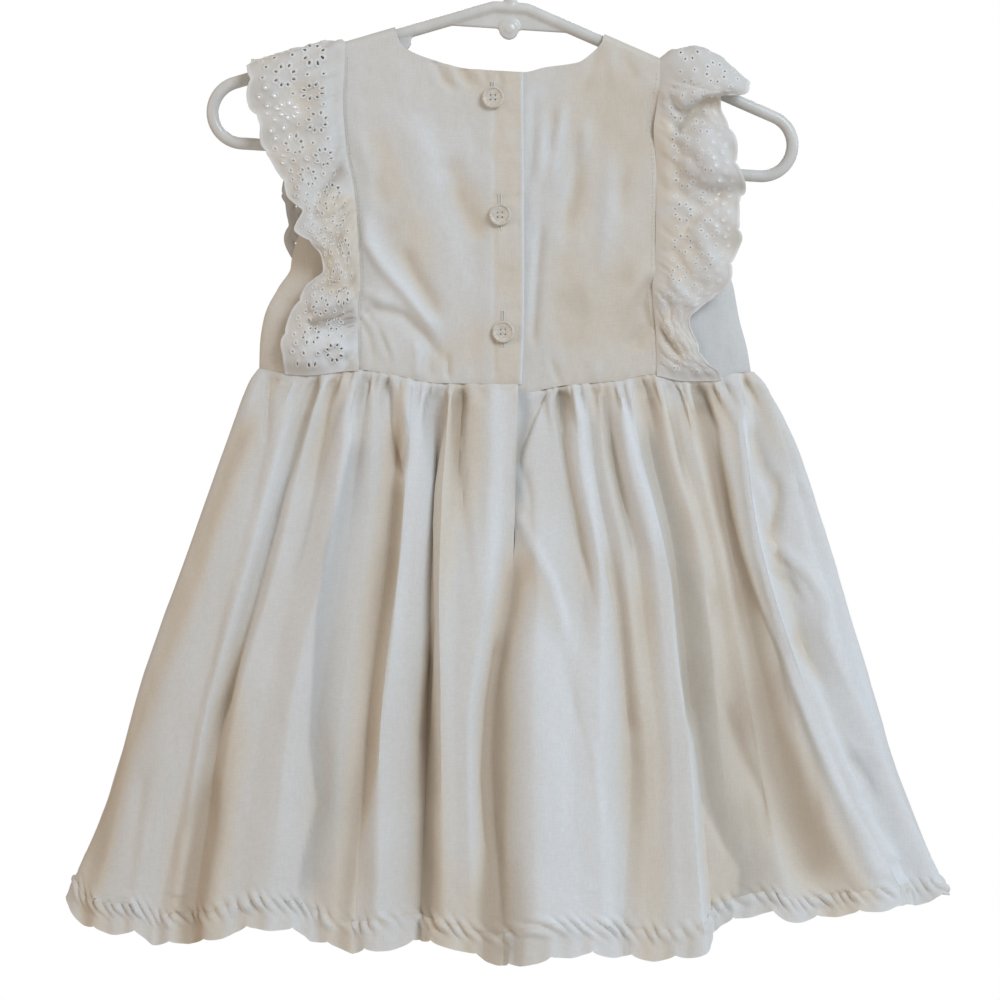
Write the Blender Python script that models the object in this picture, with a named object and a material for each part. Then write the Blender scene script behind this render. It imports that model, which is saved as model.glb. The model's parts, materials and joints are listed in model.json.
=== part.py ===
"""A toddler's sleeveless cotton dress, back outward, on a child's tubular clothes hanger.

Every cloth piece is a thin closed wall. A piece is laid out as a grid on a smooth surface, and the grid's
points are moved half a wall out and half a wall in along that surface's own direction outward, so that two
pieces that meet at a seam end in parallel edges with a small gap between them.

Frame: metres, +Z up. The origin is the inside top of the hook, where a rail bears. The dress's buttoned back
faces -Y. "Left" and "right" are as seen from that side, so left is -X.

The tables are in millimetres. "x" runs from the dress's centre line to the right, and "drop" is the height
below the hanger's apex, where its two arms meet.
"""

import math
from collections import namedtuple

import bpy
import numpy as np

MM = 0.001

# Cloth
WALL = 1.0
SEAM_GAP = 0.36
HALF_GAP = SEAM_GAP / 2
SKIRT_INSET = 0.34
LAYER = WALL + 0.34  # one wall and the air above it, from mid wall to mid wall

# Hanger
TUBE_RADIUS = 3.3
HALF_SPAN = 156.4
ARM_ANGLE = math.radians(19.7)
BAR_DROP = 82.3
TILT = math.radians(3.58)
HOOK_INNER_RADIUS = 16.0
HOOK_HEIGHT = 58.0
HOOK_NECK_RADIUS = 10.0
HOOK_SWEEP = math.radians(275)
HOOK_FOOT = 1.0  # how far the stem runs into the arms
WEB_DROP = 14.2
WEB_THICKNESS = 2.6
WEB_SLANT = 6.0
BOSS_RADIUS = 5.3
BOSS_LENGTH = 5.0
NOTCH_X = 55.6
NOTCH_RADIUS = 5.0
NOTCH_LENGTH = 4.4
TUBE_SIDES = 10
ARM_SHARES = (0.06, 0.3, 0.65)  # where the arm's path has points between the apex and the end loop
LOOP_STEPS = 12
HOOK_STEPS = 24
HOOK_NECK_STEPS = 4
KNOB_SIDES = 16
OVERLAP = 4.0  # how far joined parts of the hanger run into each other

# Buttons
BUTTON_SIDES = 24
Ring = namedtuple("Ring", "radius height")
BUTTON_PROFILE = (Ring(4.9, 0), Ring(5.7, 0.7), Ring(5.7, 1.8), Ring(5.13, 2.4), Ring(3.7, 1.73))
BUTTON_AIR = 0.34  # between the button and the placket

# The dress hangs from the apex, which the tilt carries a little to the left.
APEX_X = -HOOK_HEIGHT * math.sin(TILT)
APEX_Z = -HOOK_HEIGHT * math.cos(TILT)

# Body sections: reach to each side, and half depth, at each drop
Section = namedtuple("Section", "drop left right depth")
BODY = (
    Section(10, 116, 115, 4.3),
    Section(30, 116, 115, 5.0),
    Section(60, 116, 115, 8.0),
    Section(100, 116, 115, 11.5),
    Section(138, 116, 115, 14.0),
    Section(150, 123, 118, 14.5),
    Section(166, 130.6, 121, 15.2),
    Section(181, 132.8, 125, 15.7),
    Section(206, 133.5, 129.5, 16.0),
)
ARCH = TUBE_RADIUS + 1.0  # mid wall over the arm's centre line, where the straps go over the arm
ARCH_LENGTH = ARCH * math.pi / 2
STRAP_DROP = 70.0  # down to here the cloth keeps clear of the hanger's tube
CHEST_DROP = 125.0
STRAP_TOP = 20.0  # drops at which a panel's edges are read for its top and its bottom
WAIST_LINE = 200.0
CREASE_TOP = 30.0  # length under the arm in which creases grow
CREASE_END = 197.0
CREASE_FADE = 8.0

Place = namedtuple("Place", "drop x")
ROOT_LEFT = (Place(32, -87), Place(51, -88), Place(78, -86), Place(100, -82), Place(124, -80),
             Place(149, -79), Place(159, -80.5), Place(200, -80))
ROOT_RIGHT = (Place(40, 78.5), Place(52, 77), Place(67, 75), Place(87, 76.5), Place(140, 76),
              Place(148, 74.5), Place(175, 76.5), Place(200, 77))
PLACKET = (Place(30, 6.4), Place(160, 7.0), Place(187, 6.2), Place(210, 5.2))
UNDERLAP_X = -8.4
LAP_BLEND = 11.0  # width in which the upper side rises over the under side's edge
LAP_START = 12.0
PLACKET_FADE = 8.0  # width in which creases fade beside the placket

Edge = namedtuple("Edge", "x drop")
NECK_BACK = (Edge(-59.4, 18), Edge(-58, 21), Edge(-55, 24.5), Edge(-41, 30.5), Edge(-24, 35),
             Edge(-8, 36.2), Edge(7, 37), Edge(18, 34.5), Edge(35, 32), Edge(42, 27.5), Edge(46.5, 23),
             Edge(47.9, 21))
NECK_FRONT = (Edge(-59.4, 19), Edge(-56, 34), Edge(-45, 56), Edge(-25, 70), Edge(0, 74), Edge(23, 69),
              Edge(37, 54), Edge(45, 33), Edge(47.9, 22))
NECK_LEFT_X = -61.0
NECK_RIGHT_X = 49.5
NECK_TURN = 1.6  # width in which the strap's edge turns down over the arm
WAIST_LEFT = (Edge(-134, 192), Edge(-108, 195), Edge(-81, 192.5), Edge(-60, 195.5), Edge(-38, 199.5),
              Edge(12, 200))
WAIST_RIGHT = (Edge(-20, 204.5), Edge(8, 204), Edge(30, 200.5), Edge(58, 198), Edge(74, 195), Edge(92, 198),
               Edge(108, 198), Edge(118, 194.5), Edge(130, 194))
WAIST_FRONT = (Edge(-134, 192), Edge(-60, 196), Edge(0, 198), Edge(70, 196), Edge(118, 194.5), Edge(130, 194))
HEM_BACK = (Edge(-233, 467), Edge(-224, 476), Edge(-214, 477), Edge(-200, 476), Edge(-187, 481),
            Edge(-178, 480), Edge(-160, 478), Edge(-144, 472), Edge(-128, 469), Edge(-114, 471),
            Edge(-104, 476), Edge(-93, 478.5), Edge(-82, 482), Edge(-70, 479.5), Edge(-58, 478),
            Edge(-36, 479.5), Edge(-21, 482.5), Edge(-12, 486.5), Edge(-4, 488.5), Edge(5, 485),
            Edge(14, 481), Edge(24, 479.5), Edge(59, 483), Edge(76, 485), Edge(88, 483.5), Edge(98, 481.5),
            Edge(106, 476), Edge(117, 472.5), Edge(130, 469), Edge(138, 468), Edge(147, 471.5),
            Edge(157, 472), Edge(180, 469), Edge(206, 467), Edge(231, 469))
HEM_FRONT = (Edge(-233, 467), Edge(-224, 476), Edge(-120, 481), Edge(0, 487), Edge(120, 476),
             Edge(206, 467), Edge(231, 469))

# How far the armhole's edge lies from the ruffle seam towards the side seam
Share = namedtuple("Share", "drop share")
ARMHOLE = (Share(14, 0.07), Share(60, 0.16), Share(90, 0.3), Share(115, 0.55), Share(130, 0.8),
           Share(139, 1.0))

# Soft creases of the back panels: a line, how far out (+) or in (-) the cloth lies on it, and its half width
Crease = namedtuple("Crease", "x0 drop0 x1 drop1 lift width")
CREASES_LEFT = (
    Crease(-33, 78, -13, 128, -1.8, 8),
    Crease(-56, 132, -38, 166, -3.0, 8),
    Crease(-76, 134, -36, 180, 2.4, 6),
    Crease(-74, 160, -48, 168, -2.6, 6),
    Crease(-77, 160, -60, 186, 1.8, 4),
    Crease(-38, 35, -30, 46, -1.2, 6),
    Crease(-66, 112, -62, 138, -1.4, 7),
    Crease(-34, 168, -33, 196, -1.4, 4),
)
CREASES_RIGHT = (
    Crease(17, 116, 14, 178, -2.0, 5),
    Crease(39, 78, 33, 120, -1.8, 7),
    Crease(26, 60, 21, 100, 1.4, 6),
    Crease(53, 84, 47, 128, 1.2, 6),
    Crease(73, 150, 62, 182, -3.0, 8),
    Crease(56, 160, 72, 130, 1.6, 8),
)
CREASES_FRONT = (
    Crease(-60, 120, -30, 170, -2.2, 9),
    Crease(-20, 95, -10, 150, -1.6, 8),
    Crease(28, 100, 22, 165, -2.0, 8),
    Crease(64, 130, 48, 176, -2.4, 8),
    Crease(5, 110, 8, 175, 1.4, 9),
)

# Skirt sections from the waist (0) to the hem (1)
SkirtSection = namedtuple("SkirtSection", "level left right depth")
SKIRT = (
    SkirtSection(0.0, 133.5, 129.5, 16),
    SkirtSection(0.03, 139.0, 135.5, 17.5),
    SkirtSection(0.13, 149.5, 148.0, 21),
    SkirtSection(0.33, 169.5, 165.5, 28),
    SkirtSection(0.62, 198.5, 189.0, 37),
    SkirtSection(0.8, 212.5, 206.0, 41.5),
    SkirtSection(1.0, 232, 230, 46),
)
FOLD_LEVELS = (0.0, 0.13, 0.33, 0.62, 1.0)
COLUMN_LEVEL = 0.62  # the fold level at which columns are dealt out evenly
GATHER_LEVEL = 0.035  # where the folds have opened out below the waist seam

# Folds of the skirt's back, from its left side seam to its right one: x, and lift out (+) or in (-), by level
Fold = namedtuple("Fold", "name x lift")
BACK_FOLDS = (
    Fold("left_face", (-130, -143, -158, -181, -201), (1, 1, 1.5, 2, 2)),
    Fold("side_crease", (-125, -130, -143, -165, -187), (-1.5, -1.5, 0.5, 1, -1.5)),
    Fold("left_plateau", (-108, -122, -137, -160, -178), (1.5, 2, 2.5, 3, 2)),
    Fold("left_trough", (-100, -114, -129, -152, -168), (-2, -3, -4, -4.5, -2)),
    Fold("left_ridge", (-95, -108, -121, -144, -160), (1.5, 2, 2.5, 2.5, 1.5)),
    Fold("small_trough", (-91, -100, -109, -129, -144), (-1.5, -1.5, 0, 1, 1)),
    Fold("long_ridge", (-84, -87, -95, -114, -127), (2, 3.5, 4, 4.5, 3)),
    Fold("grey_trough", (-79, -81, -86, -101, -104), (-1, -1, 0, -2, -4)),
    Fold("grey_swell", (-72, -73, -77, -89, -93), (1.5, 0.5, 0, 0, 0)),
    Fold("deep_left", (-64, -60, -65, -75, -82), (-2.5, -4, -5.5, -6, -5)),
    Fold("bright_left", (-56, -53, -58, -67, -70), (2, 4, 4.5, 5, 4)),
    Fold("bright_slope", (-47, -46, -50, -55, -58), (1, 1.5, 2, 0.5, -1)),
    Fold("main_trough", (-38, -39, -42, -44, -48), (-3, -6, -9, -11, -9)),
    Fold("main_ridge", (-31, -34, -36, -36, -36), (2, 4, 5.5, 6, 5)),
    Fold("thread_crease", (-24, -27, -27, -29, -28), (-1.5, -0.5, 2, 5, 4)),
    Fold("flap_swell", (-9, -10, -12, -22, -20), (1.6, 2.2, 3, 6, 5)),
    Fold("slit", (4, 3, 1, -11, -4), (1.5, 1.5, -5, -7, -7)),
    Fold("diagonal", (17, 11, 14, 12, 14), (0.5, -1, 4, 4.5, 4)),
    Fold("pinch_1", (25, 27, 38, 32, 36), (-3, -3.5, -2.5, 1, 2)),
    Fold("lift_1", (32, 36, 46, 45, 47), (2, 3, 3, 3, 3)),
    Fold("pinch_2", (39, 43, 53, 62, 59), (-1.5, -2, -3, -4, -1)),
    Fold("lift_2", (45, 49, 60, 69, 68), (1, 0.5, 1, 1.5, 1)),
    Fold("pinch_3", (50, 54, 67, 76, 76), (-2.5, -3, -3, 0.5, 0)),
    Fold("lift_3", (56, 61, 75, 83, 87), (2.5, 4, 4, 4, 4)),
    Fold("edge_right", (62, 68, 82, 91, 99), (2, 3, 4.5, 5, 8)),
    Fold("fall_right", (67, 74, 87, 97, 107), (-3, -4, -5, -6, -10)),
    Fold("grey_right", (75, 83, 99, 109, 119), (1, 1, 0, -2, -10)),
    Fold("step_right", (82, 90, 106, 118, 131), (-2.5, -1.5, -3, -4, -8)),
    Fold("step_swell", (89, 97, 111, 127, 146), (1.5, 0.5, -2, -2.5, -3)),
    Fold("side_trough", (98, 107, 119, 138, 164), (-4, -6, -9, -9, -5)),
    Fold("side_slope", (108, 115, 125, 148, 184), (-1, -1, -2, -3, 0)),
    Fold("seam_ridge", (119, 123, 131, 156, 206), (1.5, 2, 2, 2, 1.5)),
)
SLIT = [fold.name for fold in BACK_FOLDS].index("slit") + 1

# The slit's under edge, below the placket: how far it laps to the left, and how far in it lies
Lap = namedtuple("Lap", "level lap inset")
UNDER_EDGE = (Lap(0, 9, 1.42), Lap(0.13, 8, 1.9), Lap(0.2, 4, 2.0), Lap(0.26, -0.6, 1.3), Lap(0.31, 0, 0))

# Folds of the skirt's front, evenly dealt between the side seams and then pushed apart unevenly
FRONT_FOLDS = 12
FRONT_UNEVEN = (0.12, -0.264, 0.312, -0.096, 0.216, -0.288, 0.06, 0.264)
FRONT_LIFTS = (2.6, 4.4, 3.2, 5.2, 2.4, 4.0, 5.6, 3.0)
FRONT_GROWTH = (0.45, 0.75, 1.0, 1.15, 1.3)
FRONT_RIDGE = 0.8  # a ridge's height against a trough's depth
LEFT_SEAM_LIFTS = (0, 0, 0, 0, 0)

# Hem trim
SCALLOPS = 22  # on each of the two trims
TRIM_GAP = 0.46
Depth = namedtuple("Depth", "x depth")
TRIM_DEPTHS = (Depth(-233, 12.2), Depth(90, 12.4), Depth(114, 8.0), Depth(231, 7.6))
SCALLOP_DEPTH = 3.2
PUCKER = 1.2
TRIM_FLARE = 2.5
TRIM_SLOPE = 4.0  # length of hem over which the trim's direction outward is taken

# Ruffles: each row is one line across the ruffle. "down" is measured along the seam from the top of the
# shoulder, "reach" is how far from the centre line its free edge lies, "out" how far from the hanger's plane,
# and "belly" how far the cloth bulges midway.
Ray = namedtuple("Ray", "down reach drop out belly")
RAYS_OPEN = (
    Ray(0, 137.5, 30.5, 0, 1.5),
    Ray(8, 137.5, 32, 9, 3),
    Ray(15, 137, 36, 12, 3.2),
    Ray(23, 137, 45, 14, 3),
    Ray(31, 136, 56, 14, 2),
    Ray(40, 130, 66, 16, 3),
    Ray(49.5, 130.5, 75, 15, 2),
    Ray(59, 125, 83, 17, 3),
    Ray(68, 120, 93, 16, 2),
    Ray(78.5, 116, 102, 17.5, 3),
    Ray(86.5, 109, 110, 19.5, 4),
    Ray(93, 112, 119, 18.5, 3),
    Ray(101.5, 104, 126, 20, 4),
    Ray(110.5, 99, 133, 19.5, 3),
    Ray(121, 98, 139, 18, 2),
    Ray(131.5, 102, 144, 16, 1),
    Ray(139.5, 107, 149, 15.5, 1.5),
    Ray(146, 111, 155, 16, 2),
    Ray(153, 117, 167, 17, 2.5),
    Ray(160, 120.5, 177, 16.5, 2.5),
    Ray(167, 119, 185, 14, 2),
    Ray(173, 120, 191, 10.5, 1.6),
)
RAYS_FLUTED = (
    Ray(0, 123, 39.5, 0, 10),
    Ray(9, 125, 43.5, 7, 8.5),
    Ray(16, 123.5, 47.5, 13, 7),
    Ray(22, 110, 51.5, 16, 5),
    Ray(27.5, 110.5, 57, 11, 2.5),
    Ray(34, 113.5, 64, 10, 1.5),
    Ray(41, 116.5, 71, 14, 3),
    Ray(49.5, 117.5, 79, 16.5, 4),
    Ray(57.5, 119, 87, 17.5, 4),
    Ray(65.5, 121.5, 94.5, 15.5, 3),
    Ray(72, 123, 100, 13, 2),
    Ray(78, 119.5, 105.5, 14, 2),
    Ray(85.5, 119, 113, 16.5, 3),
    Ray(93, 121, 122, 18, 3),
    Ray(101, 118.5, 130.5, 17, 3),
    Ray(108, 116, 139, 17.5, 3),
    Ray(114, 113.5, 147, 18.5, 3),
    Ray(120.5, 108.5, 153, 18, 3),
    Ray(126.5, 100.5, 158, 18, 2.5),
    Ray(132, 95, 163.5, 17.5, 1.5),
    Ray(138, 94, 169, 17.5, 1.2),
    Ray(146, 97.5, 177.5, 19, 2),
    Ray(153, 100, 184.5, 18, 2),
    Ray(160, 104, 189.5, 15, 1.8),
    Ray(165.5, 113, 193, 11, 1.6),
)
RAYS_TUCKED = (
    Ray(0, 123, 39.5, 0, 10),
    Ray(10, 119, 43, 9, 8),
    Ray(20, 112, 50, 17, 6),
    Ray(30, 108, 58, 20, 5),
    Ray(40, 109, 67, 17, 3),
    Ray(50, 107, 77, 19, 4),
    Ray(60, 110, 86, 16, 3),
    Ray(70, 108, 96, 19, 4),
    Ray(80, 111, 105, 17, 3),
    Ray(90, 108, 115, 20, 4),
    Ray(100, 110, 124, 17.5, 3),
    Ray(110, 106, 134, 20, 4),
    Ray(120, 104, 143, 18, 2.5),
    Ray(130, 100, 152, 19, 2.5),
    Ray(140, 101, 161, 17, 2),
    Ray(150, 105, 171, 18, 2.5),
    Ray(158, 108, 181, 15, 2),
    Ray(165.5, 112, 190, 11, 1.6),
)
SHOULDER_BLEND = 25.0

# Grids
ARCH_ROWS = 3
FIRST_TURN = math.asin(HALF_GAP / ARCH)
PANEL_ROWS = 10
SIDE_COLUMNS = 4
SIDE_PASSES = 6  # rounds in which a side panel's columns settle between its top and the waist
SKIRT_ROWS = (0, 0.03, 0.07, 0.13, 0.2, 0.26, 0.31, 0.4, 0.5, 0.6, 0.7, 0.8, 0.9, 1)
SKIRT_COLUMN = 13.0
RUFFLE_STEPS = 4
SHOULDER_RAYS = (-0.8, -0.4, 0.4, 0.8)
TRIM_STEPS_PER_SCALLOP = 4
TRIM_STEPS_DOWN = 2
NUDGE = 1e-4  # step of the numerical slopes

BUTTONS = (Edge(-9.3, 50.6), Edge(-5.6, 111.6), Edge(-4.0, 172.5))

Finish = namedtuple("Finish", "name colour roughness")
COTTON = Finish("cotton", (0.86, 0.85, 0.82), 0.9)
EYELET = Finish("eyelet_cotton", (0.87, 0.86, 0.83), 0.9)
BUTTON_PLASTIC = Finish("button_plastic", (0.84, 0.84, 0.82), 0.35)
HANGER_PLASTIC = Finish("hanger_plastic", (0.86, 0.86, 0.84), 0.3)


# ---------------------------------------------------------------- reading tables


def smooth(keys, values, at):
    """Values between a table's keys, along curves that never overshoot, and held level past its ends."""
    keys = np.asarray(keys, float)
    values = np.asarray(values, float)
    at = np.clip(np.asarray(at, float), keys[0], keys[-1])
    extra = (1,) * (values.ndim - 1)
    gaps = np.diff(keys)
    rises = np.diff(values, axis=0) / gaps.reshape((-1,) + extra)
    slopes = np.empty_like(values)
    slopes[0] = rises[0]
    slopes[-1] = rises[-1]
    product = rises[:-1] * rises[1:]
    total = rises[:-1] + rises[1:]
    slopes[1:-1] = np.where(product > 0, 2 * product / np.where(product > 0, total, 1), 0)
    cell = np.clip(np.searchsorted(keys, at, side="right") - 1, 0, len(gaps) - 1)
    part = ((at - keys[cell]) / gaps[cell]).reshape(at.shape + extra)
    gap = gaps[cell].reshape(at.shape + extra)
    square = part * part
    cube = square * part
    return (
        values[cell] * (1 - 3 * square + 2 * cube)
        + values[cell + 1] * (3 * square - 2 * cube)
        + slopes[cell] * gap * (part - 2 * square + cube)
        + slopes[cell + 1] * gap * (cube - square)
    )


def column(table, name):
    """One named column of a table."""
    return np.array([getattr(row, name) for row in table], float)


def lookup(table, key, value, at):
    """The column `value` of a table, read where its column `key` is `at`."""
    return smooth(column(table, key), column(table, value), at)


def ease(share):
    """A smooth step from 0 to 1."""
    share = np.clip(share, 0, 1)
    return share * share * (3 - 2 * share)


# ---------------------------------------------------------------- meshes


def material(finish, name):
    """A Principled material of its own for one object."""
    made = bpy.data.materials.new(f"{name}_{finish.name}")
    made.use_nodes = True
    shader = made.node_tree.nodes["Principled BSDF"]
    shader.inputs["Base Color"].default_value = (*finish.colour, 1)
    shader.inputs["Roughness"].default_value = finish.roughness
    shader.inputs["Metallic"].default_value = 0
    made.diffuse_color = (*finish.colour, 1)
    return made


def add_object(name, points_mm, faces, finish):
    """A smooth-shaded mesh object from points in millimetres."""
    mesh = bpy.data.meshes.new(name)
    mesh.from_pydata((np.asarray(points_mm) * MM).tolist(), [], faces)
    mesh.materials.append(material(finish, name))
    mesh.shade_smooth()
    mesh.set_sharp_from_angle(angle=math.radians(50))
    made = bpy.data.objects.new(name, mesh)
    bpy.context.scene.collection.objects.link(made)
    return made


def grid_faces(index):
    """Four-sided faces of a grid of point numbers."""
    corners = (index[:-1, :-1], index[1:, :-1], index[1:, 1:], index[:-1, 1:])
    return np.stack([corner.reshape(-1) for corner in corners], axis=1)


def capped_faces(rings, sides):
    """Faces of a stack of closed rings with a cap on each end."""
    index = np.arange(rings * sides).reshape(rings, sides)
    index = np.concatenate([index, index[:, :1]], axis=1)
    return grid_faces(index).tolist() + [index[0, :-1].tolist(), index[-1, -2::-1].tolist()]


def open_edges(faces):
    """Directed edges that only one face uses."""
    ends = np.concatenate([np.stack([faces[:, i], faces[:, (i + 1) % 4]], axis=1) for i in range(4)])
    _, index, count = np.unique(np.sort(ends, axis=1), axis=0, return_inverse=True, return_counts=True)
    return ends[count[index.reshape(-1)] == 1]


def add_wall(name, points, outward, faces, finish):
    """A closed wall of the cloth's thickness about a sheet of points, moved to the dress's place."""
    first = points[faces[:, 0]]
    across = np.cross(points[faces[:, 1]] - first, points[faces[:, 2]] - first)
    if np.einsum("ij,ij->i", across, outward[faces[:, 0]]).sum() < 0:
        faces = faces[:, ::-1]
    edges = open_edges(faces)
    inner = len(points)
    rim = np.stack([edges[:, 1], edges[:, 0], edges[:, 0] + inner, edges[:, 1] + inner], axis=1)
    every_face = np.concatenate([faces, faces[:, ::-1] + inner, rim])
    half = outward * WALL / 2
    both = np.concatenate([points + half, points - half])
    both += (APEX_X, 0, APEX_Z)
    return add_object(name, both, every_face.tolist(), finish)


def add_grid_wall(name, points, outward, finish):
    """A closed wall about a whole grid of points."""
    rows, columns = points.shape[:2]
    index = np.arange(rows * columns).reshape(rows, columns)
    return add_wall(name, points.reshape(-1, 3), outward.reshape(-1, 3), grid_faces(index), finish)


def unit(vectors):
    """The vectors at length 1."""
    return vectors / np.maximum(np.linalg.norm(vectors, axis=-1, keepdims=True), 1e-12)


# ---------------------------------------------------------------- body


def arm_drop(x):
    """Drop of the hanger arm's centre line, under the tilt."""
    slope = np.where(x < 0, math.tan(ARM_ANGLE - TILT), math.tan(ARM_ANGLE + TILT))
    return np.abs(x) * slope


def shoulder_drop(x):
    """Drop of the cloth's mid wall on top of the arm."""
    return arm_drop(x) - ARCH


def body_reach(x, drop):
    """How far the body's section reaches on the side that x is on."""
    return np.where(x < 0, lookup(BODY, "drop", "left", drop), lookup(BODY, "drop", "right", drop))


def crease_lift(creases, x, drop):
    """Summed lift of soft creases, each strongest midway along its line."""
    total = np.zeros_like(x)
    for crease in creases:
        along = np.array([crease.x1 - crease.x0, crease.drop1 - crease.drop0])
        length = np.hypot(*along)
        along = along / length
        run = (x - crease.x0) * along[0] + (drop - crease.drop0) * along[1]
        aside = (x - crease.x0) * along[1] - (drop - crease.drop0) * along[0]
        past = np.maximum(np.maximum(-run, run - length), 0)
        total += crease.lift * np.exp(-(aside**2 + past**2) / crease.width**2)
    return total


def body_depth(x, drop):
    """Half depth of the body without creases: an elliptic section that arches over the hanger's arms."""
    reach = body_reach(x, drop)
    around = np.sqrt(np.maximum(1 - (x / reach) ** 2, 1e-9))
    clear = ARCH * (1 - ease((drop - STRAP_DROP) / (CHEST_DROP - STRAP_DROP)))
    below = np.clip((drop - shoulder_drop(x)) / ARCH, 1e-6, 1)
    arch = np.sqrt(1 - (1 - below) ** 2)
    return np.hypot(lookup(BODY, "drop", "depth", drop) * around, clear) * arch


def edge_fade(x, drop):
    """Creases fade out at the neck, the shoulders and the waist."""
    return ease((drop - shoulder_drop(x)) / CREASE_TOP) * ease((CREASE_END - drop) / CREASE_FADE)


def placket_lift(x):
    """How far the upper side of the back lies over the under side."""
    return LAYER * ease((x - UNDERLAP_X + LAP_START) / LAP_BLEND)


def back_left_depth(x, drop):
    """Depth of the back's left panel, which laps over the right one."""
    fade = edge_fade(x, drop) * ease((UNDERLAP_X - 1 - x) / PLACKET_FADE)
    return body_depth(x, drop) + placket_lift(x) + crease_lift(CREASES_LEFT, x, drop) * fade


def back_right_depth(x, drop):
    """Depth of the back's right panel, flat where the left one covers it."""
    fade = edge_fade(x, drop) * ease((x - PLACKET[0].x) / PLACKET_FADE)
    return body_depth(x, drop) + crease_lift(CREASES_RIGHT, x, drop) * fade


def front_depth(x, drop):
    """Depth of the bodice's front."""
    return body_depth(x, drop) + crease_lift(CREASES_FRONT, x, drop) * edge_fade(x, drop)


def on_body(depth, face, x, drop):
    """Points of a depth field on the back (face -1) or the front (face 1), and its directions outward."""
    over_x = (depth(x + NUDGE, drop) - depth(x - NUDGE, drop)) / (2 * NUDGE)
    over_drop = (depth(x, drop + NUDGE) - depth(x, drop - NUDGE)) / (2 * NUDGE)
    points = np.stack([x, face * depth(x, drop), -drop], axis=-1)
    outward = unit(np.stack([-over_x, face + 0 * x, over_drop], axis=-1))
    return points, outward


def root_x(side, drop):
    """Where the ruffle's seam runs on the left (side -1) or the right (side 1)."""
    return lookup(ROOT_LEFT if side < 0 else ROOT_RIGHT, "drop", "x", drop)


def waist_drop(x, part):
    """Drop of the waist seam."""
    table = {"left": WAIST_LEFT, "right": WAIST_RIGHT, "front": WAIST_FRONT}[part]
    return lookup(table, "x", "drop", x)


def panel_rows(x, neck, bottom):
    """Drops of a column of points: rows over the arm where it has one, and then even ones to the waist."""
    past = max(x - NECK_LEFT_X, 0) if x < 0 else max(NECK_RIGHT_X - x, 0)
    turn = FIRST_TURN + (math.pi / 2 - FIRST_TURN) * min(past / NECK_TURN, 1)
    if past > NECK_TURN:
        top = float(lookup(neck, "x", "drop", x))
    else:
        top = float(shoulder_drop(np.float64(x))) + ARCH * (1 - math.cos(turn))
    turns = turn + (math.pi / 2 - turn) * np.linspace(0, 1, ARCH_ROWS)
    spread = min(past / NECK_TURN, 1) * np.arange(ARCH_ROWS)
    first = top + ARCH * (math.cos(turn) - np.cos(turns)) + spread
    rest = np.linspace(first[-1], bottom, PANEL_ROWS + 1)[1:]
    return np.concatenate([first, rest])


def panel_shares(edges, columns):
    """Shares of the way across a panel for its columns: even, with three where a strap's edge turns down."""
    start, end = (float(edge(STRAP_TOP)) for edge in edges)
    shares = np.linspace(0, 1, columns + 1)
    for neck_x, way in ((NECK_LEFT_X, 1), (NECK_RIGHT_X, -1)):
        if not start < neck_x < end:
            continue
        turn = (neck_x + way * NECK_TURN * np.linspace(0, 1, 3) - start) / (end - start)
        shares = shares[np.abs(shares - turn[1]) > 0.6 / columns]
        shares = np.sort(np.concatenate([shares, turn]))
    return shares


def inside_left(drop):
    """The left edge of the back's and the front's middle panels, half a gap inside the ruffle's seam."""
    return root_x(-1, drop) + HALF_GAP


def inside_right(drop):
    """Their right edge."""
    return root_x(1, drop) - HALF_GAP


def placket_edge(drop):
    """The folded edge of the placket's upper side."""
    return lookup(PLACKET, "drop", "x", drop)


def underlap_edge(drop):
    """The edge of the placket's under side."""
    return UNDERLAP_X + 0 * drop


Panel = namedtuple("Panel", "name depth face left right neck part columns")
CENTRE_PANELS = (
    Panel("bodice_back_left", back_left_depth, -1, inside_left, placket_edge, NECK_BACK, "left", 11),
    Panel("bodice_back_right", back_right_depth, -1, underlap_edge, inside_right, NECK_BACK, "right", 11),
    Panel("bodice_front", front_depth, 1, inside_left, inside_right, NECK_FRONT, "front", 16),
)


def centre_panel(panel):
    """A bodice panel between two edges, under the shoulders and the neckline."""
    edges = (panel.left, panel.right)
    xs = []
    drops = []
    for share in panel_shares(edges, panel.columns):
        at_top, at_waist = (
            float(edges[0](drop) * (1 - share) + edges[1](drop) * share) for drop in (STRAP_TOP, WAIST_LINE)
        )
        drop = panel_rows(at_top, panel.neck, float(waist_drop(at_waist, panel.part)) - HALF_GAP)
        xs.append(edges[0](drop) * (1 - share) + edges[1](drop) * share)
        drops.append(drop)
    points, outward = on_body(panel.depth, panel.face, np.array(xs).T, np.array(drops).T)
    add_grid_wall(panel.name, points, outward, COTTON)


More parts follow.
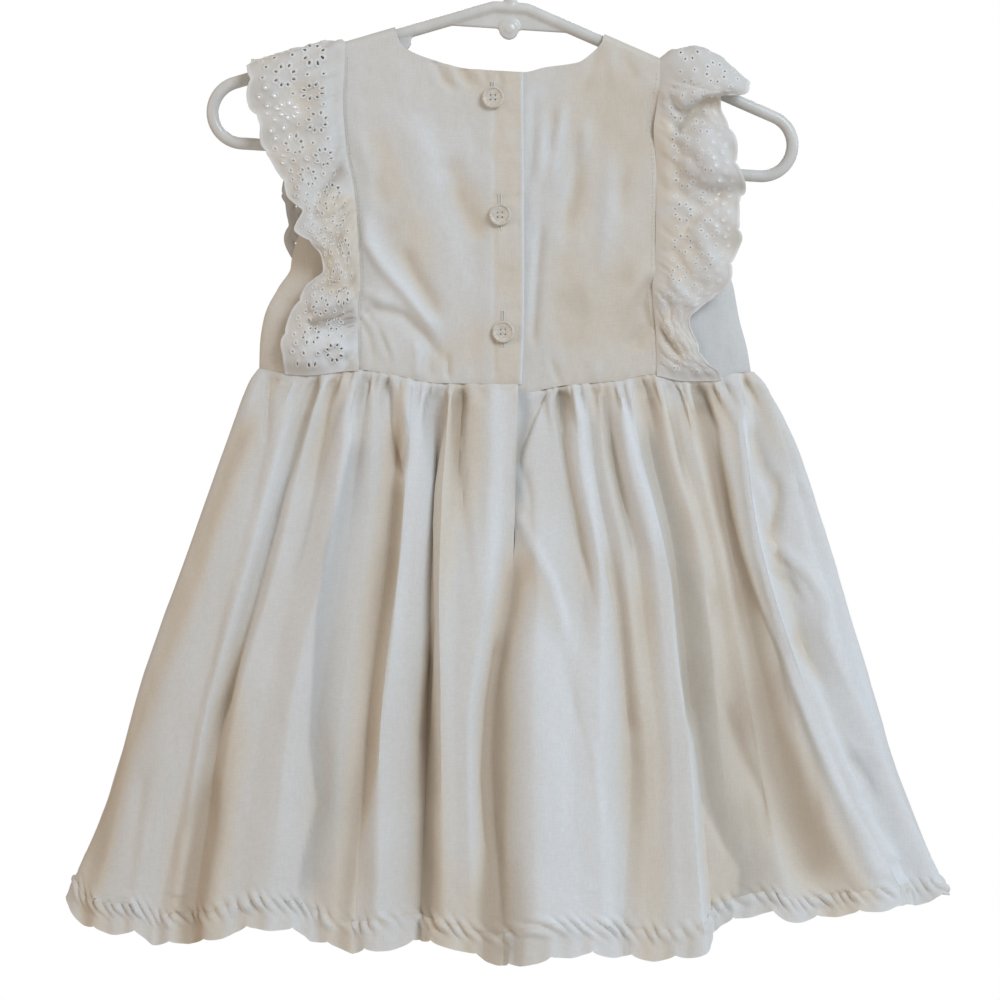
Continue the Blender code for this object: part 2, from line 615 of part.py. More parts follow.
def side_panel(name, side, face):
    """The panel between the ruffle's seam and the armhole or the side seam."""
    part = "front" if face > 0 else ("left" if side < 0 else "right")
    shares = np.linspace(0, 1, SIDE_COLUMNS + 1)
    top_x = float(root_x(side, STRAP_TOP))
    start = float(shoulder_drop(top_x))
    drop = panel_rows(top_x, (), float(waist_drop(root_x(side, WAIST_LINE), part)) - HALF_GAP)
    xs = []
    drops = []
    for share in shares:
        lowest = drop.copy()
        for _ in range(SIDE_PASSES):
            reach = body_reach(np.full_like(lowest, side), lowest)
            depth = lookup(BODY, "drop", "depth", lowest)
            root = np.arccos(np.clip((np.abs(root_x(side, lowest)) + HALF_GAP) / reach, -1, 1))
            seam = np.arcsin(HALF_GAP / depth)
            edge = root + (seam - root) * lookup(ARMHOLE, "drop", "share", lowest)
            x = side * reach * np.cos(root + (edge - root) * share)
            top = shoulder_drop(x)
            bottom = waist_drop(x[-1], part) - HALF_GAP
            along = (drop - drop[0]) / (drop[-1] - drop[0])
            lowest = drop + (top - start) * (1 - along) + (bottom - drop[-1]) * along
        xs.append(x)
        drops.append(lowest)
    points, outward = on_body(body_depth, face, np.array(xs).T, np.array(drops).T)
    add_grid_wall(name, points, outward, COTTON)


def make_bodice():
    """The seven bodice panels."""
    for panel in CENTRE_PANELS:
        centre_panel(panel)
    for side, side_name in ((-1, "left"), (1, "right")):
        for face, face_name in ((-1, "back"), (1, "front")):
            side_panel(f"side_{face_name}_{side_name}", side, face)


# ---------------------------------------------------------------- ruffles


def root_on_body(side, along):
    """Points above the ruffle's seam, and directions outward, `along` the seam from the top of the shoulder.

    `along` is negative on the back and positive on the front.
    """
    start = root_x(side, STRAP_TOP)
    length = np.abs(along)
    turn = np.clip(length / ARCH, 0, math.pi / 2)
    drop = shoulder_drop(start) + ARCH * (1 - np.cos(turn)) + np.maximum(length - ARCH_LENGTH, 0)
    x = root_x(side, drop)
    face = np.where(along < 0, -1.0, 1.0)
    points, outward = on_body(body_depth, face, x, np.maximum(drop, shoulder_drop(x) + 1e-3))
    return points + outward * LAYER


def ruffle_table(side, back, front):
    """The rays of a whole ruffle in order from the back waist to the front waist, as one array."""
    rows = [(-ray.down, side * ray.reach, -ray.out, -ray.drop, ray.belly) for ray in reversed(back)]
    stretch = back[-1].down / front[-1].down
    rows += [(ray.down * stretch, side * ray.reach, ray.out, -ray.drop, ray.belly) for ray in front[1:]]
    return np.array(rows)


def ruffle_surface(side, table, ray, across):
    """Points of a ruffle at a place along its rays and a share of the way across it."""
    row = smooth(np.arange(len(table)), table, ray)
    along = row[..., 0]
    root = root_on_body(side, along)
    tip = row[..., 1:4]
    swing = np.clip(along / SHOULDER_BLEND, -1, 1) * math.pi / 2
    bulge = np.stack([0 * swing, np.sin(swing), np.cos(swing)], axis=-1)
    middle = (root + tip) / 2 + 2 * row[..., 4:5] * bulge
    part = across[..., None]
    return root * (1 - part) ** 2 + 2 * middle * part * (1 - part) + tip * part**2


def surface_outward(surface, a, b, flip):
    """Directions outward of a surface by its slopes along its two parameters."""
    over_a = surface(a + NUDGE, b) - surface(a - NUDGE, b)
    over_b = surface(a, b + NUDGE) - surface(a, b - NUDGE)
    return unit(np.cross(over_a, over_b)) * flip


def make_ruffle(name, side, back, front):
    """One ruffle, from the back waist over the shoulder to the front waist."""
    table = ruffle_table(side, back, front)
    shoulder = len(back) - 1
    places = np.sort(np.concatenate([np.arange(len(table)), shoulder + np.array(SHOULDER_RAYS)]))
    rays, across = np.meshgrid(places, np.linspace(0, 1, RUFFLE_STEPS + 1), indexing="ij")

    def surface(ray, share):
        return ruffle_surface(side, table, ray, share)

    add_grid_wall(name, surface(rays, across), surface_outward(surface, rays, across, -side), EYELET)


# ---------------------------------------------------------------- skirt


def skirt_reach(angle, level):
    """Reach of the skirt's section on the side that the angle points to."""
    left = lookup(SKIRT, "level", "left", level)
    right = lookup(SKIRT, "level", "right", level)
    return np.where(np.cos(angle) > 0, left, right)


def seam_angle(side_x):
    """Angles of a line of the skirt's back given by its x at each fold level."""
    levels = np.array(FOLD_LEVELS)
    left = lookup(SKIRT, "level", "left", levels)
    right = lookup(SKIRT, "level", "right", levels)
    x = np.array(side_x, float)
    return np.arccos(-x / np.where(x < 0, left, right))


def back_lines():
    """Angle and lift at each fold level of every line of the skirt's back."""
    angles = [np.zeros(len(FOLD_LEVELS))] + [seam_angle(fold.x) for fold in BACK_FOLDS]
    lifts = [LEFT_SEAM_LIFTS] + [fold.lift for fold in BACK_FOLDS]
    return np.array(angles, float).T, np.array(lifts, float).T


def front_lines():
    """The same for the front, from the right side seam round to the left one."""
    seam = BACK_FOLDS[-1]
    start = seam_angle(seam.x)
    count = 2 * FRONT_FOLDS + 1
    angles = [start]
    lifts = [seam.lift]
    growth = np.array(FRONT_GROWTH)
    for line in range(1, count):
        share = (line + FRONT_UNEVEN[line % len(FRONT_UNEVEN)]) / count
        angles.append(start + (2 * math.pi - start) * share)
        lift = FRONT_LIFTS[(line * 3 // 2) % len(FRONT_LIFTS)]
        lifts.append(growth * lift * (FRONT_RIDGE if line % 2 == 0 else -1))
    angles.append(np.full(len(FOLD_LEVELS), 2 * math.pi))
    lifts.append(LEFT_SEAM_LIFTS)
    return np.array(angles).T, np.array(lifts, float).T


def between(values, cell, share):
    """Values of each row at a share of the way from one column to the next."""
    return np.take_along_axis(values, cell, 1) * (1 - share) + np.take_along_axis(values, cell + 1, 1) * share


def skirt_surface(lines, part, line, level):
    """Points of a skirt piece at a place along its fold lines and a level; a row of points has one level."""
    levels = level[:, 0]
    angles = smooth(FOLD_LEVELS, lines[0], levels)
    lifts = smooth(FOLD_LEVELS, lines[1], levels)
    if part == "right":
        lap = lookup(UNDER_EDGE, "level", "lap", levels)
        angles[:, SLIT] -= lap / lookup(SKIRT, "level", "right", levels)
        lifts[:, SLIT] -= lookup(UNDER_EDGE, "level", "inset", levels)
    cell = np.clip(np.floor(line).astype(int), 0, lines[0].shape[1] - 2)
    share = line - cell
    angle = between(angles, cell, share)
    lift = between(lifts, cell, ease(share))
    reach = skirt_reach(angle, level)
    depth = lookup(SKIRT, "level", "depth", level)
    base_x = -reach * np.cos(angle)
    base_y = -depth * np.sin(angle)
    out = unit(np.stack([-np.cos(angle) / reach, -np.sin(angle) / depth], axis=-1))
    placket = placket_lift(base_x) if part == "left" else 0
    lift = placket + (lift - placket) * ease(level / GATHER_LEVEL)
    hem = HEM_FRONT if part == "front" else HEM_BACK
    top_x, hem_x = line_ends(lines, cell, share)
    top = waist_drop(top_x, part) + SKIRT_INSET
    drop = top + (lookup(hem, "x", "drop", hem_x) - top) * level
    return np.stack([base_x + lift * out[..., 0], base_y + lift * out[..., 1], -drop], axis=-1)


def line_ends(lines, cell, share):
    """x of a place along the fold lines at the waist and at the hem."""
    ends = []
    for row, level in ((0, 0.0), (-1, 1.0)):
        angles = lines[0][row]
        angle = angles[cell] * (1 - share) + angles[cell + 1] * share
        ends.append(-skirt_reach(angle, level) * np.cos(angle))
    return ends


def line_columns(lines, first, last):
    """Places of a skirt grid's columns: every fold line, and more where two lines lie far apart."""
    section = next(row for row in SKIRT if row.level == COLUMN_LEVEL)
    angles = lines[0][FOLD_LEVELS.index(section.level)]
    x = -np.where(np.cos(angles) > 0, section.left, section.right) * np.cos(angles)
    y = -section.depth * np.sin(angles)
    places = []
    for line in range(first, last):
        gap = math.hypot(x[line + 1] - x[line], y[line + 1] - y[line])
        steps = max(1, round(gap / SKIRT_COLUMN))
        places += [line + step / steps for step in range(steps)]
    return np.array(places + [last], float)


def inset_ends(surface, line, level, ends):
    """Moves a grid's outer columns in from the side seams by half a gap."""
    line = line.copy()
    for end, way in ends:
        here = line[:, end : end + 1] if end >= 0 else line[:, end:]
        levels = level[:, :1]
        speed = np.linalg.norm(surface(here + way * NUDGE, levels) - surface(here, levels), axis=-1) / NUDGE
        line[:, end] += way * (SKIRT_INSET / speed)[:, 0]
    return line


def skirt_grid(lines, part, first, last, ends):
    """Points and directions outward of one grid of a skirt piece."""
    line, level = np.meshgrid(line_columns(lines, first, last), np.array(SKIRT_ROWS, float))

    def surface(a, b):
        return skirt_surface(lines, part, a, b)

    line = inset_ends(surface, line, level, ends)
    inside = np.clip(level, NUDGE, 1 - NUDGE)
    return surface(line, level), surface_outward(surface, line, inside, 1)


def make_skirt_back():
    """The skirt's back: two grids that are one cloth below the slit. Returns the hem's points."""
    lines = back_lines()
    last = lines[0].shape[1] - 1
    left, left_out = skirt_grid(lines, "left", 0, SLIT, [(0, 1)])
    right, right_out = skirt_grid(lines, "right", SLIT, last, [(-1, -1)])
    rows, left_columns = left.shape[:2]
    left_index = np.arange(left.shape[0] * left_columns).reshape(rows, left_columns)
    right_index = np.arange(rows * right.shape[1]).reshape(rows, -1) + left_index.size
    closed = SKIRT_ROWS.index(UNDER_EDGE[-1].level)
    right_index[closed:, 0] = left_index[closed:, -1]
    points = np.concatenate([left.reshape(-1, 3), right.reshape(-1, 3)])
    outward = np.concatenate([left_out.reshape(-1, 3), right_out.reshape(-1, 3)])
    faces = np.concatenate([grid_faces(left_index), grid_faces(right_index)])
    used = np.unique(faces)
    renumber = np.zeros(len(points), int)
    renumber[used] = np.arange(len(used))
    sign = np.sign(outward[:, 1].sum()) * -1
    add_wall("skirt_back", points[used], outward[used] * sign, renumber[faces], COTTON)
    return np.concatenate([left[-1], right[-1, 1:]])


def make_skirt_front():
    """The skirt's front. Returns the hem's points."""
    lines = front_lines()
    points, outward = skirt_grid(lines, "front", 0, lines[0].shape[1] - 1, [(0, 1), (-1, -1)])
    sign = np.sign(outward[..., 1].sum())
    add_grid_wall("skirt_front", points, outward * sign, COTTON)
    return points[-1]


def make_trim(name, hem):
    """A gathered strip with a scalloped edge, hung a gap below the hem's points."""
    steps = np.linalg.norm(np.diff(hem, axis=0), axis=1)
    length = np.concatenate([[0], np.cumsum(steps)])
    scallop = length[-1] / SCALLOPS
    centre = hem.mean(axis=0)

    def on_hem(at):
        return np.stack([np.interp(at, length, hem[:, axis]) for axis in range(3)], axis=-1)

    def surface(along, down):
        top = on_hem(along)
        run = on_hem(along + TRIM_SLOPE) - on_hem(along - TRIM_SLOPE)
        out = unit(np.stack([-run[..., 1], run[..., 0], 0 * along], axis=-1))
        facing = np.sum(out * (top - centre), axis=-1, keepdims=True).mean()
        out = out * np.sign(facing)
        wave = PUCKER * np.cos(4 * math.pi * along / scallop) * ease(down * 3)
        depth = lookup(TRIM_DEPTHS, "x", "depth", top[..., 0])
        depth = depth + SCALLOP_DEPTH * np.abs(np.sin(math.pi * along / scallop)) ** 0.8
        fall = TRIM_GAP + (depth - TRIM_GAP) * down
        points = top + out * (wave + TRIM_FLARE * down)[..., None]
        points[..., 2] -= fall
        return points

    stations = np.linspace(0, length[-1], SCALLOPS * TRIM_STEPS_PER_SCALLOP + 1)
    along, down = np.meshgrid(stations, np.linspace(0, 1, TRIM_STEPS_DOWN + 1), indexing="ij")
    points = surface(along, down)
    run = surface(along + TRIM_SLOPE / 2, 0 * down) - surface(along - TRIM_SLOPE / 2, 0 * down)
    outward = unit(np.stack([-run[..., 1], run[..., 0], 0 * down], axis=-1))
    sign = np.sign(np.sum(outward * (points - centre)))
    add_grid_wall(name, points, outward * sign, COTTON)


# ---------------------------------------------------------------- buttons


def make_button(name, place):
    """A round button with a raised rim, lying on the upper side of the placket."""
    points, outward = on_body(back_left_depth, -1, np.array([place.x]), np.array([place.drop]))
    base = points[0] + outward[0] * (WALL / 2 + BUTTON_AIR)
    axis = outward[0]
    right = unit(np.cross(axis, (0, 0, 1.0)))
    up = np.cross(right, axis)
    turns = np.linspace(0, 2 * math.pi, BUTTON_SIDES, endpoint=False)
    ring = np.outer(np.cos(turns), right) + np.outer(np.sin(turns), up)
    rings = [base + ring * row.radius + axis * row.height for row in BUTTON_PROFILE]
    points = np.concatenate(rings) + (APEX_X, 0, APEX_Z)
    add_object(name, points, capped_faces(len(rings), BUTTON_SIDES), BUTTON_PLASTIC)


# ---------------------------------------------------------------- hanger


def arc(centre, radius, start, turn, steps):
    """Points of an arc in the hanger's plane."""
    angles = start + turn * np.linspace(0, 1, steps + 1)
    return [(centre[0] + radius * math.cos(a), centre[1] + radius * math.sin(a)) for a in angles]


def add_tube(name, path, closed):
    """A round tube along a path in the hanger's plane."""
    path = np.array(path)
    if closed:
        run = np.roll(path, -1, axis=0) - np.roll(path, 1, axis=0)
    else:
        run = np.gradient(path, axis=0)
    run = run / np.linalg.norm(run, axis=1, keepdims=True)
    normal = np.stack([-run[:, 1], run[:, 0]], axis=1)
    turns = np.linspace(0, 2 * math.pi, TUBE_SIDES, endpoint=False)
    across = np.cos(turns)[None, :, None] * normal[:, None, :] * TUBE_RADIUS
    points = np.empty((len(path), TUBE_SIDES, 3))
    points[..., 0] = path[:, None, 0] + across[..., 0]
    points[..., 1] = TUBE_RADIUS * np.sin(turns)
    points[..., 2] = path[:, None, 1] + across[..., 1]
    faces = capped_faces(len(path), TUBE_SIDES)
    if closed:
        index = np.arange(len(path) * TUBE_SIDES).reshape(len(path), TUBE_SIDES)
        index = np.pad(index, ((0, 1), (0, 1)), mode="wrap")
        faces = grid_faces(index).tolist()
    return add_object(name, points.reshape(-1, 3), faces, HANGER_PLASTIC)


def add_plate(name, outline, thickness):
    """A flat plate in the hanger's plane from its outline, anticlockwise as seen from -Y."""
    outline = np.array(outline)
    count = len(outline)
    front = np.stack([outline[:, 0], np.full(count, -thickness / 2), outline[:, 1]], axis=1)
    back = front + (0, thickness, 0)
    faces = [list(range(count)), list(range(2 * count - 1, count - 1, -1))]
    faces += [[(i + 1) % count, i, i + count, (i + 1) % count + count] for i in range(count)]
    return add_object(name, np.concatenate([front, back]), faces, HANGER_PLASTIC)


def frame_path():
    """The closed path of the arms, the two end loops and the lower bar, from the apex clockwise."""
    run_out = HALF_SPAN - TUBE_RADIUS
    slope = math.sin(ARM_ANGLE)
    level = math.cos(ARM_ANGLE)
    radius = (BAR_DROP * level - run_out * slope) / (1 - slope + level)
    centre = (run_out - radius, -BAR_DROP + radius)
    joint = (centre[0] + radius * slope, centre[1] + radius * level)
    right = [(joint[0] * share, joint[1] * share) for share in ARM_SHARES]
    right += arc(centre, radius, math.pi / 2 - ARM_ANGLE, -(math.pi - ARM_ANGLE), LOOP_STEPS)
    right += [(centre[0] * 0.5, -BAR_DROP)]
    left = [(-x, z) for x, z in reversed(right)]
    return right + left


def hook_path():
    """The hook: a stem that leans to one side and turns back over the top in one round sweep."""
    radius = HOOK_INNER_RADIUS + TUBE_RADIUS
    centre = (0.0, -HOOK_INNER_RADIUS)
    between = HOOK_NECK_RADIUS + radius
    rise = math.sqrt(between**2 - HOOK_NECK_RADIUS**2)
    neck = (HOOK_NECK_RADIUS, centre[1] - rise)
    lean = math.atan2(rise, -HOOK_NECK_RADIUS)
    path = [(0.0, -HOOK_HEIGHT - HOOK_FOOT)]
    path += arc(neck, HOOK_NECK_RADIUS, math.pi, lean - math.pi, HOOK_NECK_STEPS)
    path += arc(centre, radius, lean - math.pi, HOOK_SWEEP, HOOK_STEPS)[1:]
    return path


def add_knob(name, centre, radius, length):
    """A short round bar across the hanger's plane, for the boss and the strap notches."""
    outline = arc(centre, radius, 0, 2 * math.pi * (1 - 1 / KNOB_SIDES), KNOB_SIDES - 1)
    return add_plate(name, outline, length)


def make_hanger():
    """The whole hanger, joined into one body and turned by its tilt about the hook's resting point."""
    apex = (0.0, -HOOK_HEIGHT)
    frame = [(x, z + apex[1]) for x, z in frame_path()]
    hanger = add_tube("hanger", frame, True)
    reach = WEB_DROP / math.tan(ARM_ANGLE) - OVERLAP
    corner = apex[1] - reach * math.tan(ARM_ANGLE)
    foot = apex[1] - WEB_DROP
    web = [apex, (-reach, corner), (WEB_SLANT - reach, foot), (reach - WEB_SLANT, foot), (reach, corner)]
    notch_z = apex[1] - NOTCH_X * math.tan(ARM_ANGLE) - OVERLAP
    joined = [
        add_tube("hook", hook_path(), False),
        add_plate("web", web, WEB_THICKNESS),
        add_knob("boss", (0, apex[1] - WEB_DROP), BOSS_RADIUS, BOSS_LENGTH),
        add_knob("notch_left", (-NOTCH_X, notch_z), NOTCH_RADIUS, NOTCH_LENGTH),
        add_knob("notch_right", (NOTCH_X, notch_z), NOTCH_RADIUS, NOTCH_LENGTH),
    ]
    for piece in joined:
        piece.hide_render = True
        piece.display_type = "WIRE"
        union = hanger.modifiers.new(piece.name, "BOOLEAN")
        union.operation = "UNION"
        union.object = piece
        piece.rotation_euler = (0, TILT, 0)
    hanger.rotation_euler = (0, TILT, 0)


# ---------------------------------------------------------------- the dress


def main():
    """Builds every piece in an empty scene."""
    for stale in list(bpy.data.objects):
        bpy.data.objects.remove(stale)
    make_hanger()
    make_bodice()
    for number, place in enumerate(BUTTONS, 1):
        make_button(f"button_{number}", place)
    make_ruffle("ruffle_left", -1, RAYS_OPEN, RAYS_FLUTED)
    make_ruffle("ruffle_right", 1, RAYS_FLUTED, RAYS_TUCKED)
    make_trim("hem_trim_back", make_skirt_back())
    make_trim("hem_trim_front", make_skirt_front())


main()
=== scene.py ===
"""A toddler's sleeveless cotton dress, back outward, on a child's tubular clothes hanger.

Every cloth piece is a thin closed shell on the form of its solid, with its finer folds, gathers, puckers,
eyelets and stitching. Lengths in the tables are in millimetres: "x" runs from the dress's centre line to the
right, and "drop" is the height below the hanger's apex, where its two arms meet. The origin of the finished
frame is the inside top of the hook, +Z is up, and the dress's buttoned back faces -Y.
"""

import json
import logging
import math
from collections.abc import Callable, Sequence
from dataclasses import dataclass, field
from enum import Enum
from functools import partial
from typing import Any, NamedTuple, Protocol

import bmesh
import bpy
import numpy as np
from mathutils import Matrix, Vector
from mathutils.geometry import delaunay_2d_cdt
from numpy.typing import ArrayLike

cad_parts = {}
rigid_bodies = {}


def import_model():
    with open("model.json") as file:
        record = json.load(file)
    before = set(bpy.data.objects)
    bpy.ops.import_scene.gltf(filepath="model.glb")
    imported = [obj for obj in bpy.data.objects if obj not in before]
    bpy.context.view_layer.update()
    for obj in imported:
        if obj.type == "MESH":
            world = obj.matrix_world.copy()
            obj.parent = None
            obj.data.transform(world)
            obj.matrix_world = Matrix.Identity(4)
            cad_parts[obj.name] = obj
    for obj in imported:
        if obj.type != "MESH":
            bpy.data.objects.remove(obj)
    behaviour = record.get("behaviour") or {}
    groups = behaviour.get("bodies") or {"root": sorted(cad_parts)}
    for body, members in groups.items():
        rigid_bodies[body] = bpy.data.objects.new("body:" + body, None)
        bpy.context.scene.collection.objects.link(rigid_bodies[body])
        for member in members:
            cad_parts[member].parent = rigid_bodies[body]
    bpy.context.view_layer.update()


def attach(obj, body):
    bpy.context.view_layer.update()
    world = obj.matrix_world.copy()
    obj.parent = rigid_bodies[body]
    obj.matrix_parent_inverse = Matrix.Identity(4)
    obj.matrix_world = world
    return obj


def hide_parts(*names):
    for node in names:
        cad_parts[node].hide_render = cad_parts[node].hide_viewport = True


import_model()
LOG = logging.getLogger("dress")
Array = np.ndarray
Field = Callable[[Array, Array], Array]
Colour = tuple[float, float, float, float]
Form = bmesh.types.BMesh
Piece = bpy.types.Object
MM = 0.001
NUDGE = 1e-4  # a small step, by which directions are measured
WHITE = (1.0, 1.0, 1.0, 1.0)
ARCH_START = 0.012  # the angle at which a panel starts on top of the hanger's arm
WAIST_AIR = 0.1  # between the bodice and the waist line
SKIRT_LENGTH = 285.0
HEM_DROP = 470.0
CORNER_X = -238.0  # the left corner of the hem, which stands out


# ---------------------------------------------------------------- sizes


class Section(NamedTuple):
    """The body's reach to each side and its half depth at a drop."""

    drop: float
    left: float
    right: float
    depth: float


class Place(NamedTuple):
    """Where an upright line runs: its x at a drop."""

    drop: float
    x: float


class Edge(NamedTuple):
    """Where a level line runs: its drop at an x."""

    x: float
    drop: float


class Share(NamedTuple):
    """How far the armhole's edge lies from the ruffle's seam towards the side seam."""

    drop: float
    share: float


class SkirtSection(NamedTuple):
    """The skirt's reach to each side and its half depth, from the waist (0) to the hem (1)."""

    level: float
    left: float
    right: float
    depth: float


class Fold(NamedTuple):
    """A main fold line of the skirt: x, and lift out (+) or in (-), at each fold level."""

    name: str
    x: tuple[float, ...]
    lift: tuple[float, ...]


class Lap(NamedTuple):
    """How far the slit's under edge laps to the left, and how far in it lies."""

    level: float
    lap: float
    inset: float


class Depth(NamedTuple):
    """How far the hem's trim hangs below its seam, without its scallops, at an x."""

    x: float
    depth: float


class Ray(NamedTuple):
    """One line across a ruffle, from its seam to its free edge."""

    down: float
    reach: float
    drop: float
    out: float
    belly: float


def table_of(kind: type[tuple], *values: tuple) -> tuple:
    """A table: one row of a kind for each tuple of values."""
    return tuple(kind(*value) for value in values)


BODY = table_of(
    Section, (10, 116, 115, 4.3), (30, 116, 115, 5.0), (60, 116, 115, 8.0), (100, 116, 115, 11.5),
    (138, 116, 115, 14.0), (150, 123, 118, 14.5), (166, 130.6, 121, 15.2), (181, 132.8, 125, 15.7),
    (206, 133.5, 129.5, 16.0),
)
ROOT_LEFT = table_of(
    Place, (32, -87), (51, -88), (78, -86), (100, -82), (124, -80), (149, -79), (159, -80.5), (200, -80),
)
ROOT_RIGHT = table_of(
    Place, (40, 78.5), (52, 77), (67, 75), (87, 76.5), (140, 76), (148, 74.5), (175, 76.5), (200, 77),
)
PLACKET = table_of(Place, (30, 6.4), (160, 7.0), (187, 6.2), (210, 5.2))
UNDERLAP_X = -8.4
NECK_BACK = table_of(
    Edge, (-59.4, 18), (-58, 21), (-55, 24.5), (-41, 30.5), (-24, 35), (-8, 36.2), (7, 37), (18, 34.5),
    (35, 32), (42, 27.5), (46.5, 23), (47.9, 21),
)
NECK_FRONT = table_of(
    Edge, (-59.4, 19), (-56, 34), (-45, 56), (-25, 70), (0, 74), (23, 69), (37, 54), (45, 33), (47.9, 22),
)
NECK_LEFT_X = -61.0
NECK_RIGHT_X = 49.5
NECK_TURN = 1.6
WAIST_LEFT = table_of(Edge, (-134, 192), (-108, 195), (-81, 192.5), (-60, 195.5), (-38, 199.5), (12, 200))
WAIST_RIGHT = table_of(
    Edge, (-20, 204.5), (8, 204), (30, 200.5), (58, 198), (74, 195), (92, 198), (108, 198), (118, 194.5),
    (130, 194),
)
WAIST_FRONT = table_of(Edge, (-134, 192), (-60, 196), (0, 198), (70, 196), (118, 194.5), (130, 194))
HEM_BACK = table_of(
    Edge, (-233, 467), (-224, 476), (-214, 477), (-200, 476), (-187, 481), (-178, 480), (-160, 478),
    (-144, 472), (-128, 469), (-114, 471), (-104, 476), (-93, 478.5), (-82, 482), (-70, 479.5), (-58, 478),
    (-36, 479.5), (-21, 482.5), (-12, 486.5), (-4, 488.5), (5, 485), (14, 481), (24, 479.5), (59, 483),
    (76, 485), (88, 483.5), (98, 481.5), (106, 476), (117, 472.5), (130, 469), (138, 468), (147, 471.5),
    (157, 472), (180, 469), (206, 467), (231, 469),
)
HEM_FRONT = table_of(
    Edge, (-233, 467), (-224, 476), (-120, 481), (0, 487), (120, 476), (206, 467), (231, 469),
)
ARMHOLE = table_of(Share, (14, 0.07), (60, 0.16), (90, 0.3), (115, 0.55), (130, 0.8), (139, 1.0))
SKIRT = table_of(
    SkirtSection, (0.0, 133.5, 129.5, 16), (0.03, 139.0, 135.5, 17.5), (0.13, 149.5, 148.0, 21),
    (0.33, 169.5, 165.5, 28), (0.62, 198.5, 189.0, 37), (0.8, 212.5, 206.0, 41.5), (1.0, 232, 230, 46),
)
FOLD_LEVELS = (0.0, 0.13, 0.33, 0.62, 1.0)
GATHER_LEVEL = 0.035
COLUMN_LEVEL = 0.62
BACK_FOLDS = table_of(
    Fold,
    ("left_face", (-130, -143, -158, -181, -201), (1, 1, 1.5, 2, 2)),
    ("side_crease", (-125, -130, -143, -165, -187), (-1.5, -1.5, 0.5, 1, -1.5)),
    ("left_plateau", (-108, -122, -137, -160, -178), (1.5, 2, 2.5, 3, 2)),
    ("left_trough", (-100, -114, -129, -152, -168), (-2, -3, -4, -4.5, -2)),
    ("left_ridge", (-95, -108, -121, -144, -160), (1.5, 2, 2.5, 2.5, 1.5)),
    ("small_trough", (-91, -100, -109, -129, -144), (-1.5, -1.5, 0, 1, 1)),
    ("long_ridge", (-84, -87, -95, -114, -127), (2, 3.5, 4, 4.5, 3)),
    ("grey_trough", (-79, -81, -86, -101, -104), (-1, -1, 0, -2, -4)),
    ("grey_swell", (-72, -73, -77, -89, -93), (1.5, 0.5, 0, 0, 0)),
    ("deep_left", (-64, -60, -65, -75, -82), (-2.5, -4, -5.5, -6, -5)),
    ("bright_left", (-56, -53, -58, -67, -70), (2, 4, 4.5, 5, 4)),
    ("bright_slope", (-47, -46, -50, -55, -58), (1, 1.5, 2, 0.5, -1)),
    ("main_trough", (-38, -39, -42, -44, -48), (-3, -6, -9, -11, -9)),
    ("main_ridge", (-31, -34, -36, -36, -36), (2, 4, 5.5, 6, 5)),
    ("thread_crease", (-24, -27, -27, -29, -28), (-1.5, -0.5, 2, 5, 4)),
    ("flap_swell", (-9, -10, -12, -22, -20), (1.6, 2.2, 3, 6, 5)),
    ("slit", (4, 3, 1, -11, -4), (1.5, 1.5, -5, -7, -7)),
    ("diagonal", (17, 11, 14, 12, 14), (0.5, -1, 4, 4.5, 4)),
    ("pinch_1", (25, 27, 38, 32, 36), (-3, -3.5, -2.5, 1, 2)),
    ("lift_1", (32, 36, 46, 45, 47), (2, 3, 3, 3, 3)),
    ("pinch_2", (39, 43, 53, 62, 59), (-1.5, -2, -3, -4, -1)),
    ("lift_2", (45, 49, 60, 69, 68), (1, 0.5, 1, 1.5, 1)),
    ("pinch_3", (50, 54, 67, 76, 76), (-2.5, -3, -3, 0.5, 0)),
    ("lift_3", (56, 61, 75, 83, 87), (2.5, 4, 4, 4, 4)),
    ("edge_right", (62, 68, 82, 91, 99), (2, 3, 4.5, 5, 8)),
    ("fall_right", (67, 74, 87, 97, 107), (-3, -4, -5, -6, -10)),
    ("grey_right", (75, 83, 99, 109, 119), (1, 1, 0, -2, -10)),
    ("step_right", (82, 90, 106, 118, 131), (-2.5, -1.5, -3, -4, -8)),
    ("step_swell", (89, 97, 111, 127, 146), (1.5, 0.5, -2, -2.5, -3)),
    ("side_trough", (98, 107, 119, 138, 164), (-4, -6, -9, -9, -5)),
    ("side_slope", (108, 115, 125, 148, 184), (-1, -1, -2, -3, 0)),
    ("seam_ridge", (119, 123, 131, 156, 206), (1.5, 2, 2, 2, 1.5)),
)
SLIT = [fold.name for fold in BACK_FOLDS].index("slit") + 1
UNDER_EDGE = table_of(Lap, (0, 9, 1.42), (0.13, 8, 1.9), (0.2, 4, 2.0), (0.26, -0.6, 1.3), (0.31, 0, 0))
SLIT_END = 0.31
FRONT_FOLDS = 12
FRONT_UNEVEN = (0.12, -0.264, 0.312, -0.096, 0.216, -0.288, 0.06, 0.264)
FRONT_LIFTS = (2.6, 4.4, 3.2, 5.2, 2.4, 4.0, 5.6, 3.0)
FRONT_GROWTH = (0.45, 0.75, 1.0, 1.15, 1.3)
FRONT_RIDGE = 0.8
